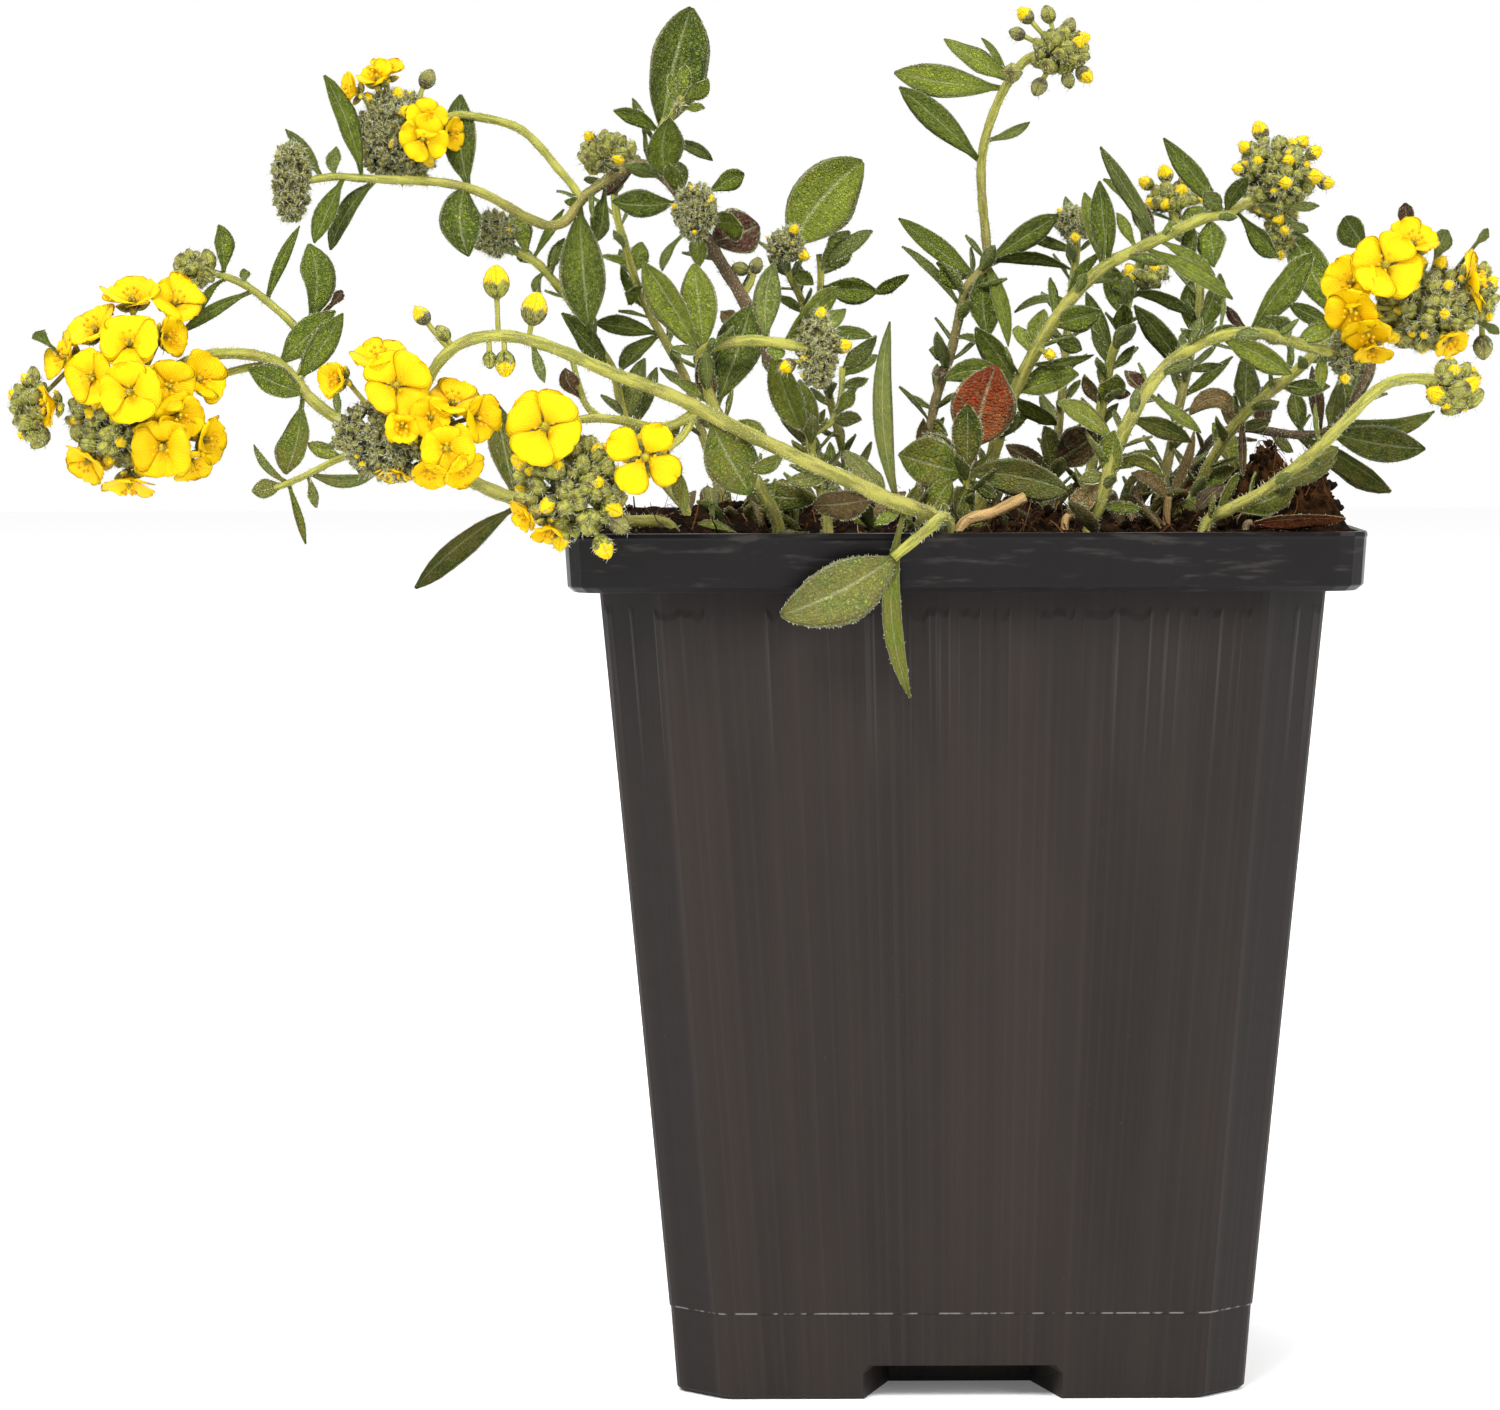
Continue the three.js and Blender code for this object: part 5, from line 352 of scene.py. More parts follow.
        [43.8, 129, 41.9, 135, 3.2, 0, 3, 1], [48.5, 131.5, 48.6, 136.5, 1.9, 0, 2, 4],
        [50.3, 130, 53.4, 133.4, 2.3, 0, 2, 3], [55.3, 130.5, 57.8, 133.6, 1.2, 0, 1, 3],
        [56.5, 124.6, 59.1, 121.9, 1.1, 0, -1, 3],
    ],
    "shoot_s": [
        [0, 106.8, 0.1, 114.4, 3.5, 0, -2, 1], [-0.3, 106.6, -7.6, 108.8, 6, 0, -5, 0],
        [0.3, 106.8, 11.4, 104.6, 4.6, 0.5, -7, 3], [0.3, 105.4, -1.3, 101.9, 3, 0, -4, 1],
        [0, 106.9, -5.2, 111, 3.2, 0, 4, 4], [0.5, 106, 3.4, 103.9, 1.7, 0, -2, 1],
    ],
    "shoot_u": [
        [9.6, 107.3, 8.6, 111.9, 2.4, 0, -2, 1], [9.8, 107.3, 14.5, 111.3, 4.4, 0, -2, 4],
        [9.4, 106.8, 4.3, 109.8, 2.3, 0, 3, 4],
    ],
    "leaf_red": [
        [0.9, 109.6, 3.3, 118.7, 7.4, 0.3, -1, 5],
    ],
    "leaf_red_low": [
        [31.6, 101.1, 42.3, 101.5, 1.8, 0.1, -0.5, 5],
    ],
    "dead_leaf_front": [
        [11.3, 101.8, 14.7, 105.4, 2.7, 0, -1, 6],
    ],
    "dead_leaf_mid": [
        [22.4, 103.8, 25.3, 111.5, 1.2, -0.5, -1, 6], [22.3, 103.4, 18.2, 106.6, 1.7, -0.8, -1, 6],
    ],
})

# Dense heads of buds by node. Each row: centre [x, z, y], half sizes [x, z, y], buds, bud length.
HEADS = by_node({
    "head_a": [
        [[-94, 113, -20], [5.6, 4.6, 4.2], 16, 2.6], [[-104.2, 114.3, -20], [1.5, 3.4, 1.6], 9, 2],
    ],
    "shoot_a": [
        [[-85.6, 129.6, -14], [1.7, 1.4, 1.6], 8, 2],
    ],
    "head_b": [
        [[-63.5, 111.2, -49], [6, 4.6, 3.6], 18, 2.2],
    ],
    "head_c": [
        [[-44, 105.6, -48], [5.2, 4.9, 2.8], 20, 2.6],
    ],
    "head_c2": [
        [[-33.7, 108.9, -50.8], [1.1, 1, 0.9], 0, 1],
    ],
    "head_d": [
        [[-63, 144, 2], [4.2, 4.8, 3.8], 24, 1.8],
    ],
    "shoot_d": [
        [[-74.9, 139.4, -2], [1.8, 4.2, 2], 14, 1.6], [[-30, 135.7, -5], [2.2, 2.7, 2.2], 14, 1.5],
    ],
    "shoot_e": [
        [[-52.4, 133.3, 9], [2, 2.3, 2], 10, 1.7],
    ],
    "shoot_g": [
        [[-39.8, 142.4, 12], [2.6, 1.5, 2], 12, 2],
    ],
    "shoot_h": [
        [[-16.5, 120.3, -39], [2.1, 3.6, 1.8], 14, 1.8],
    ],
    "shoot_j": [
        [[-20.1, 132, 7], [1.8, 1.6, 1.8], 10, 1.8],
    ],
    "shoot_k": [
        [[10.2, 153.5, 22], [2.4, 1.7, 1.8], 6, 2],
    ],
    "shoot_l": [
        [[34.2, 139.4, -10], [3.8, 4, 3.2], 22, 2.2], [[34.9, 133.6, -10], [1.2, 2.2, 1.4], 6, 1.6],
    ],
    "shoot_m": [
        [[42, 119.8, -24], [1.5, 2.4, 1.7], 14, 1.8],
    ],
    "shoot_o": [
        [[19.9, 128.7, 13], [2, 0.9, 1.6], 10, 1.8],
    ],
    "shoot_p": [
        [[22.6, 137.2, 14], [2.3, 1.1, 1.8], 6, 1.8],
    ],
    "shoot_r": [
        [[12, 134.4, 26], [1.9, 1.6, 1.8], 10, 1.7],
    ],
    "head_n": [
        [[54, 116.4, -35], [2.1, 2.1, 2], 14, 2.3],
    ],
    "head_e": [
        [[51, 125, -24], [4.6, 4, 3.6], 20, 2.2], [[57, 126.3, -24], [1.3, 2.7, 1.5], 7, 1.7],
    ],
})

# Single buds on their own stalks by node. Each row: tip-side centre [x, z, y], length, yellow part.
BUDS = by_node({
    "shoot_b": [
        [[-52.2, 128, -51], 3.8, 1], [[-48, 125, -51], 3.8, 1], [[-60.5, 124.3, -51], 2.4, 1],
        [[-58.2, 122.3, -51], 2.2, 0], [[-53, 119.4, -51], 2, 0], [[-51.3, 119, -51], 3, 1],
    ],
    "head_c": [
        [[-49.3, 108, -48.5], 3, 1], [[-41.3, 109.2, -49], 2.2, 1], [[-39.6, 103, -49.5], 3, 1],
        [[-38.8, 101.2, -49], 3, 0], [[-41.2, 105.8, -50.5], 2.2, 1], [[-40.5, 98.6, -49.5], 3, 1],
        [[-46.6, 103.3, -50.5], 2.6, 1], [[-45.2, 99.4, -49.5], 2.6, 1],
    ],
    "head_c2": [
        [[-32.6, 107.6, -50], 2.6, 0],
    ],
    "head_d": [
        [[-63, 148.6, 1], 2.2, 1], [[-66.1, 148.2, 1], 2, 1], [[-62.2, 146.8, -2], 2.2, 1],
        [[-59.8, 141.5, 0], 2.2, 1], [[-62, 139.6, 0], 1.8, 1], [[-60.2, 139.4, 0], 2, 1],
        [[-59.7, 150.4, 2], 2.6, 0],
    ],
    "shoot_d": [
        [[-32, 147.3, -2.5], 2.2, 0], [[-25.1, 129.4, 0], 2.2, 0], [[-23.4, 129.7, 0], 2.2, 0],
    ],
    "shoot_g": [
        [[-41.7, 143.9, 11], 1.9, 1], [[-38.7, 141.6, 10], 2.4, 1],
    ],
    "shoot_h": [
        [[-16.2, 124.2, -39.5], 2, 1], [[-19.9, 118.6, -40.5], 2.2, 1], [[-13.8, 120.8, -39.5], 2.2, 1],
    ],
    "shoot_j": [
        [[-19.2, 133.6, 5.5], 1.8, 1], [[-18.2, 130.9, 5.5], 2, 1],
    ],
    "shoot_k": [
        [[6.5, 157.2, 22], 2.5, 1], [[9, 157.3, 22], 2.4, 0], [[5.6, 155.2, 22], 2.2, 0],
        [[11.3, 156, 22], 2.3, 0], [[12.7, 154.6, 21.5], 2.3, 1], [[12.7, 152.8, 21.5], 2.2, 0],
        [[13, 150.7, 21.5], 2.6, 1], [[11.2, 150.1, 21.5], 2.2, 0], [[8, 149.4, 21], 2.6, 0],
        [[5, 150.9, 19.8], 3.4, 0],
    ],
    "shoot_l": [
        [[32.5, 144.4, -10], 2.6, 1], [[30.9, 142.5, -11], 2.2, 1], [[30.2, 140.2, -12], 2, 1],
        [[37, 143, -10], 2.3, 1], [[38.4, 142, -11], 2.2, 1], [[38.4, 139.4, -13], 2.5, 1],
        [[39.7, 138.7, -11], 2.2, 1], [[35.3, 138.7, -14], 2.2, 1], [[35.2, 133.4, -12], 1.8, 1],
        [[34.8, 131, -10.5], 1.8, 1], [[9.2, 119.8, -18.5], 1.9, 1],
    ],
    "shoot_p": [
        [[19.9, 138.7, 13.5], 2.2, 1], [[22, 139.7, 13], 2.5, 1], [[24.1, 138.9, 13.5], 2.1, 1],
        [[25.8, 137.1, 13.5], 2.1, 1],
    ],
    "shoot_r": [
        [[12, 132.8, 24], 1.8, 1],
    ],
    "shoot_m": [
        [[42, 117.2, -25.5], 1.8, 1],
    ],
    "head_e": [
        [[47.5, 121.8, -26], 2.4, 1], [[49.6, 127.3, -28], 2, 1], [[50.3, 129.7, -26], 2.2, 1],
        [[52.5, 129.5, -25], 2.4, 1], [[53.4, 127.2, -27], 2, 1], [[53, 124.2, -28], 1.8, 1],
        [[50.6, 120.8, -25], 2.2, 1], [[45.9, 123.8, -26], 1.9, 1], [[57.3, 120.5, -23], 3, 0],
    ],
})

# Open flowers by node. Each row: centre [x, z, y], width across, turn to the side, tilt up, cup.
# A turn and a tilt of 0 face the eye point; angles in degrees.
FLOWERS = by_node({
    "head_a": [
        [[-92.6, 126, -19], 6.2, -10, 60, 30], [[-87.9, 125.9, -19], 6, 25, 35, 25],
        [[-96.6, 122.8, -20], 6.4, -40, 45, 30], [[-93, 121.4, -24], 6.4, 0, 30, 20],
        [[-89, 122, -21], 5.6, 55, 0, 40], [[-99.8, 119.7, -20], 6, -60, 20, 30],
        [[-97.2, 117.6, -25], 6, -20, 0, 20], [[-93, 116, -27], 6.8, 0, -5, 15],
        [[-88.6, 116.6, -25], 5.6, 20, -5, 20], [[-85.3, 117.3, -21], 6, 40, 20, 30],
        [[-87.6, 113.2, -24], 5.6, 30, -20, 20], [[-101.6, 114.6, -22], 5.6, -75, -10, 30],
        [[-89.4, 109.9, -24], 7, -5, -25, 20], [[-93.2, 106, -21], 6, 0, -75, 25],
        [[-97.7, 108.3, -21], 5.4, -40, -40, 30], [[-84.6, 110.6, -21], 5.6, 65, 0, 30],
        [[-86.2, 108.1, -22], 5, 40, -45, 30],
    ],
    "head_b": [
        [[-65.2, 119.4, -50], 6.4, -10, 60, 30], [[-63.4, 116.6, -53], 7.4, 5, 10, 15],
        [[-69.7, 117.3, -50], 5.4, -45, 0, 45], [[-62.7, 112.2, -54], 4.8, -5, -20, 40],
        [[-57.2, 114.6, -51], 6, 10, 55, 30], [[-59.6, 113, -53], 5, 10, 0, 25],
        [[-54.4, 112.9, -51], 5.8, 45, -5, 30], [[-57.9, 109.6, -53], 6, 5, -10, 20],
        [[-56.2, 107.6, -51], 5.2, 40, -40, 30], [[-59.6, 107.2, -52], 5, -10, -45, 30],
        [[-63.6, 107.3, -50], 4.4, -20, -70, 35],
    ],
    "head_c": [
        [[-46.9, 112, -51.5], 8.2, 0, 5, 10], [[-48.9, 102.4, -49.5], 4.8, -60, -30, 35],
        [[-46.7, 100.6, -50], 4.6, -10, -65, 35],
    ],
    "head_c2": [
        [[-35.8, 108.6, -52.5], 8.2, 5, -5, 10],
    ],
    "head_d": [
        [[-65.3, 150.4, 1], 4.8, -20, 50, 35], [[-64.2, 151.2, 3], 4.6, 10, 65, 35],
        [[-67.9, 149, 0], 4.8, -65, 10, 35], [[-59.8, 146.2, -3], 4.8, 10, 20, 20],
        [[-60.2, 143.9, -3.5], 5.2, 5, -10, 15], [[-57.2, 144.4, 0], 4, 55, 0, 30],
    ],
    "head_e": [
        [[46.4, 129.6, -29], 7.6, 0, 10, 15], [[42.6, 127.7, -28], 6.4, -25, 10, 20],
        [[49.4, 131.9, -26], 6.2, 20, 50, 30], [[42.8, 124.7, -29], 6, -20, -30, 20],
        [[44.4, 122.4, -28], 5.6, 0, -55, 25], [[45, 120.2, -27], 4.4, 10, -65, 30],
        [[55.9, 127.8, -26], 6.8, 70, 10, 20], [[53.7, 121.2, -25.5], 4.4, 20, -45, 30],
    ],
})

# Lumps in the soil. Each row: real x, real y, height, radius.
LUMPS = [
  [41, -29, 7.2, 7], [35, -34, 4, 6], [39, 12, 9.4, 5.5], [31, 17, 5, 6], [42, 22, 4, 6], [12, -20, 1.6, 6],
  [24, -28, 1.8, 6], [-8, 5, 1.6, 9], [-28, 10, 2, 8], [8, 26, 2, 9],
]


# Where the random draws of each kind of growth start
SHOOT_SEED = 1000
FLOWER_HEAD_SEED = 3000
LOOSE_LEAF_SEED = 5000
SEED_STEP = 17
HEAD_SEED = 50
BUD_SEED = 90
FLOWER_SEED = 130
SMALL_LEAF_SEED = 200
LOW_LEAF_SEED = 77
CRUMB_SEED = 21
FIBRE_SEED = 34
# Turns that the part's solids have too
TWIST_SEED = 700
TWIST_STEP = 37
SPIN_SEED = 500
SPIN_STEP = 131


# Working out shapes as whole arrays


def chance(seed):
    """A seeded source of random numbers, the same at every run."""
    return np.random.default_rng(seed)


def unit(v):
    return v / np.maximum(np.linalg.norm(v, axis=-1, keepdims=True), 1e-9)


def mixed(a, b, share):
    return a + (b - a) * share


def seen_scale(y):
    """Real length at depth y of a millimetre seen on the upright plane of the rim's front edge."""
    return (y - EYE[1]) / (SEEN_DEPTH - EYE[1])


def real(x, z, y):
    """The point at depth y that shows at x, z on the upright plane of the rim's front edge."""
    x, z, y = (np.asarray(value, float) for value in (x, z, y))
    k = seen_scale(y)
    return np.stack(np.broadcast_arrays(EYE[0] + (x - EYE[0]) * k, y, EYE[2] + (z - EYE[2]) * k), axis=-1)


def smooth_path(points, step):
    """A path through all points: cubic pieces whose slopes are the chords of their neighbours."""
    points = np.asarray(points, float)
    padded = np.concatenate([2 * points[:1] - points[1:2], points, 2 * points[-1:] - points[-2:-1]])
    reach = np.linalg.norm(np.diff(points, axis=0), axis=1)
    each = max(2, int(np.ceil(reach.mean() / step)))
    t = np.linspace(0, 1, each, endpoint=False)[None, :, None]
    p0, p1, p2, p3 = (padded[i:len(padded) - 3 + i, None, :] for i in range(4))
    curve = 0.5 * (2 * p1 + (p2 - p0) * t + (2 * p0 - 5 * p1 + 4 * p2 - p3) * t ** 2
                   + (3 * p1 - p0 - 3 * p2 + p3) * t ** 3)
    return np.concatenate([curve.reshape(-1, 3), points[-1:]])


def square_pair(axis, limit=0.8):
    """Two directions square to an axis and to each other: the first also to +Z, or to +X for a steep axis."""
    helper = np.where(np.abs(axis[..., 2:3]) < limit, UP, RIGHT)
    first = unit(np.cross(helper, axis))
    return first, np.cross(axis, first)


def circle(turns, first, second):
    """The directions at a list of turns, counted from first towards second."""
    return np.cos(turns)[..., None] * first[..., None, :] + np.sin(turns)[..., None] * second[..., None, :]


def reach_along(path):
    """Length of a path from its start to each of its points."""
    return np.concatenate([[0], np.cumsum(np.linalg.norm(np.diff(path, axis=0), axis=1))])


def spot_on(path, marks, at, near):
    """Points and directions of a path at given places, when marks tells the places of its own points."""
    spot, ahead, behind = (np.stack([np.interp(at + shift, marks, line) for line in path.T], axis=-1)
                           for shift in (0, near, -near))
    return spot, unit(ahead - behind)


def two_skins(count):
    """Places round a flat blade: 1 to -1 over its upper skin and back under it, and 1 where it is upper."""
    front = np.linspace(1, -1, count)
    return (np.concatenate([front, front[-2:0:-1]]),
            np.concatenate([np.ones(count), np.zeros(count - 2)]))


def put_in_scene(name, data):
    made = bpy.data.objects.new(name, data)
    bpy.context.scene.collection.objects.link(made)
    return made


def frames(centres):
    """Directions across and up for each point of a batch of paths, from the path's slope and its plane."""
    along = unit(np.gradient(centres, axis=-2))
    spread = centres - centres.mean(axis=-2, keepdims=True)
    _, _, axes = np.linalg.svd(spread, full_matrices=True)
    normal = np.broadcast_to(axes[..., -1:, :], along.shape)
    across = unit(normal - along * (normal * along).sum(-1, keepdims=True))
    return across, np.cross(along, across)


class Growth:
    """Gathers closed skins, each with its shading values, into one mesh."""

    def __init__(self, finishes):
        self.finishes = finishes
        self.parts = []

    def add(self, rings, finish, place, kind):
        """Joins a batch of ring stacks (items, rings, points, 3) by quads and closes both ends with fans.

        place holds along, across and side for each point; kind holds tone, hue and size for each item.
        """
        items, count, around = rings.shape[:3]
        kind = np.broadcast_to(np.asarray(kind, float), (items, 3))
        each = count * around + 2
        verts = np.concatenate([rings[:, 0].mean(1)[:, None], rings.reshape(items, -1, 3),
                                rings[:, -1].mean(1)[:, None]], axis=1)
        place = np.broadcast_to(place, (items, count, around, 3)).reshape(items, -1, 3)
        ends = [place[:, :around].mean(1)[:, None], place[:, -around:].mean(1)[:, None]]
        place = np.concatenate([ends[0], place, ends[1]], axis=1)
        i = np.arange(count - 1)[:, None] * around
        j = np.arange(around)[None]
        a = 1 + i + j
        b = 1 + i + (j + 1) % around
        quads = np.stack([a, b, b + around, a + around], axis=-1).reshape(-1, 4)
        j = np.arange(around)
        j2 = (j + 1) % around
        last = 1 + (count - 1) * around
        tris = np.concatenate([
            np.stack([np.zeros_like(j), 1 + j2, 1 + j], axis=-1),
            np.stack([np.full_like(j, each - 1), last + j, last + j2], axis=-1),
        ])
        shift = (np.arange(items) * each)[:, None, None]
        self.parts.append({
            "verts": verts.reshape(-1, 3),
            "quads": (quads[None] + shift).reshape(-1, 4),
            "tris": (tris[None] + shift).reshape(-1, 3),
            "place": place.reshape(-1, 3),
            "kind": np.repeat(kind, each, axis=0),
            "finish": self.finishes.index(finish),
        })

    def add_spikes(self, roots, tips, radius, finish, kind):
        """Thin hairs: three points round each root and one at the tip."""
        turn = np.array([0, 2 * np.pi / 3, 4 * np.pi / 3])
        foot = roots[:, None] + radius * circle(turn, *square_pair(unit(tips - roots)))
        verts = np.concatenate([foot, tips[:, None]], axis=1)
        faces = np.array([[0, 2, 1], [0, 1, 3], [1, 2, 3], [2, 0, 3]])
        shift = (np.arange(len(roots)) * 4)[:, None, None]
        share = np.array([0.0, 0, 0, 1])
        place = np.stack([share, share * 0, share * 0], axis=-1)
        self.parts.append({
            "verts": verts.reshape(-1, 3),
            "quads": np.zeros((0, 4), int),
            "tris": (faces[None] + shift).reshape(-1, 3),
            "place": np.tile(place, (len(roots), 1)),
            "kind": np.broadcast_to(np.asarray(kind, float), (len(roots) * 4, 3)),
            "finish": self.finishes.index(finish),
        })

    def make(self, name, node):
        """Writes the gathered skins to one smooth-shaded object that replaces a node of the frame."""
        offsets = np.cumsum([0] + [len(part["verts"]) for part in self.parts])
        verts = np.concatenate([part["verts"] for part in self.parts]) / 1000.0
        quads = [part["quads"] + o for part, o in zip(self.parts, offsets)]
        tris = [part["tris"] + o for part, o in zip(self.parts, offsets)]
        finish = np.concatenate([np.full(len(f), part["finish"]) for faces in (quads, tris)
                                 for part, f in zip(self.parts, faces)])
        quads, tris = np.concatenate(quads), np.concatenate(tris)
        mesh = bpy.data.meshes.new(name)
        mesh.vertices.add(len(verts))
        mesh.vertices.foreach_set("co", verts.astype(np.float32).ravel())
        mesh.loops.add(quads.size + tris.size)
        mesh.loops.foreach_set("vertex_index", np.concatenate([quads.ravel(), tris.ravel()]).astype(np.int32))
        mesh.polygons.add(len(quads) + len(tris))
        starts = np.concatenate([np.arange(len(quads)) * 4, quads.size + np.arange(len(tris)) * 3])
        mesh.polygons.foreach_set("loop_start", starts.astype(np.int32))
        mesh.polygons.foreach_set("material_index", finish.astype(np.int32))
        mesh.update(calc_edges=True)
        mesh.validate()
        mesh.shade_smooth()
        for label in ("place", "kind"):
            values = np.concatenate([part[label] for part in self.parts])
            layer = mesh.attributes.new(label, "FLOAT_VECTOR", "POINT")
            layer.data.foreach_set("vector", values.astype(np.float32).ravel())
        for finish_name in self.finishes:
            mesh.materials.append(bpy.data.materials[finish_name])
        piece = put_in_scene(name, mesh)
        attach(piece, "root")
        if node:
            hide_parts(node)
        return piece


def ring_place(items, stations, turns, side=0.0):
    """Shading place for round pieces: share of the length, share of the turn and a fixed side value."""
    along = np.broadcast_to(stations[None, :, None], (items, len(stations), len(turns)))
    turned = np.broadcast_to(turns[None, None, :] / (2 * np.pi), along.shape)
    return np.stack([along, turned, np.broadcast_to(side, along.shape)], axis=-1)


def stem_rings(path, start, end, sides, tones=(0.03, 0.03)):
    """A round stem: its radius runs evenly from start to end, swells a little by waves along it and is
    slightly ribbed, as 1 + 0.05 cos(5 turn). Its tone goes from foot to tip along a smooth step."""
    reach = reach_along(path)
    share = reach / reach[-1]
    radius = mixed(start, end, share) * (1 + 0.05 * np.sin(reach * 1.7) + 0.03 * np.sin(reach * 4.1 + 1))
    step = np.clip((share - 0.3) / 0.6, 0, 1)
    tone = mixed(tones[0], tones[1], step * step * (3 - 2 * step))
    turns = np.linspace(0, 2 * np.pi, sides, endpoint=False)
    ribs = 1 + 0.05 * np.cos(5 * turns)
    reach_out = radius[None, :, None, None] * ribs[None, None, :, None]
    rings = path[None, :, None] + reach_out * circle(turns, *frames(path[None]))
    return rings, ring_place(1, share, turns, tone[None, :, None]), reach[-1]


def stem_hairs(path, start, end, per_mm, hair, seed):
    """Roots spread evenly over a stem's length and turn, each hair leaning forward by a random amount."""
    rng = chance(seed)
    reach = reach_along(path)
    count = int(reach[-1] * per_mm)
    at = rng.uniform(0, reach[-1], count)
    spot, along = spot_on(path, reach, at, 0.3)
    loose = unit(rng.normal(size=(count, 3)))
    out = unit(loose - along * (loose * along).sum(-1, keepdims=True))
    radius = mixed(start, end, at / reach[-1])[:, None]
    roots = spot + out * radius * 0.92
    lean = rng.uniform(-0.5, 0.9, (count, 1))
    tips = roots + unit(out + along * lean) * hair * rng.uniform(0.5, 1.3, (count, 1))
    return roots, tips


def leaf_outline(u, early):
    """Half width along a leaf: a sine arch over u to the power of early, so that the widest place is at
    0.5 ** (1 / early), drawn in to a blunt point at the end."""
    return np.sin(np.pi * np.clip(u, 0, 1) ** early) ** 0.8


# Half thickness of a blade and depth of the groove over its midrib
LEAF_SKIN = 0.16
LEAF_GROOVE = 0.1


def leaf_rings(start, middle, end, width, face, stalk, across_count, along_count, rng):
    """Closed blades in a batch. Each follows a bent midrib through three points; its cross-section is a
    shallow gutter of the given width with an upper and a lower skin that meet at thin margins, and both
    margins rise and fall in slow waves."""
    items = len(start)
    t = np.linspace(0.02, 0.985, along_count) ** 0.92
    t = t[None, :, None]
    centre = (1 - t) ** 2 * start[:, None] + 2 * t * (1 - t) * middle[:, None] + t ** 2 * end[:, None]
    along = unit(2 * (1 - t) * (middle - start)[:, None] + 2 * t * (end - middle)[:, None])
    up = unit(face[:, None] - along * (face[:, None] * along).sum(-1, keepdims=True))
    side = np.cross(up, along)
    t = t[..., 0]
    u = (t - stalk[:, None]) / (1 - stalk[:, None])
    petiole = np.minimum(0.24 + 0.02 * width, 0.5)[:, None]
    early = rng.uniform(0.9, 1.25, (items, 1))
    blade = np.maximum(leaf_outline(u, early) * width[:, None] / 2, petiole * (u < 0.4))
    half = np.where(u > 0, blade, petiole)
    v, top = two_skins(across_count)
    size = (items, 1, 1)
    fold = rng.uniform(0.12, 0.5, size)
    phase = rng.uniform(0, 6.28, size)
    wave = 0.1 * np.sin(7 * t[..., None] + phase) * half[..., None] * v * np.abs(v)
    wave += 0.05 * np.sin(15 * t[..., None] + 2.3 * phase) * half[..., None] * v ** 2
    gutter = fold * half[..., None] * (np.abs(v) ** 1.4 - 0.45)
    skin = np.where(top > 0, LEAF_SKIN, -LEAF_SKIN) * np.sqrt(np.clip(1.05 - v ** 2, 0, 1))
    groove = -LEAF_GROOVE * np.exp(-(v / 0.13) ** 2) * top
    rise = gutter + wave + skin + groove
    points = (centre[:, :, None] + side[:, :, None] * (half[..., None] * v)[..., None]
              + up[:, :, None] * rise[..., None])
    return points, np.stack(np.broadcast_arrays(np.clip(u, -0.2, 1)[..., None], v, top), axis=-1)


# Upward share of a flower's facing past which its petals are counted from +X
FLOWER_STEEP = 0.9
# Shares of a petal's length, but for the half thickness in millimetres
PETAL_WIDEST = 0.62
PETAL_NOTCH = 0.09
PETAL_RIPPLE = 0.085
PETAL_SKIN = 0.07


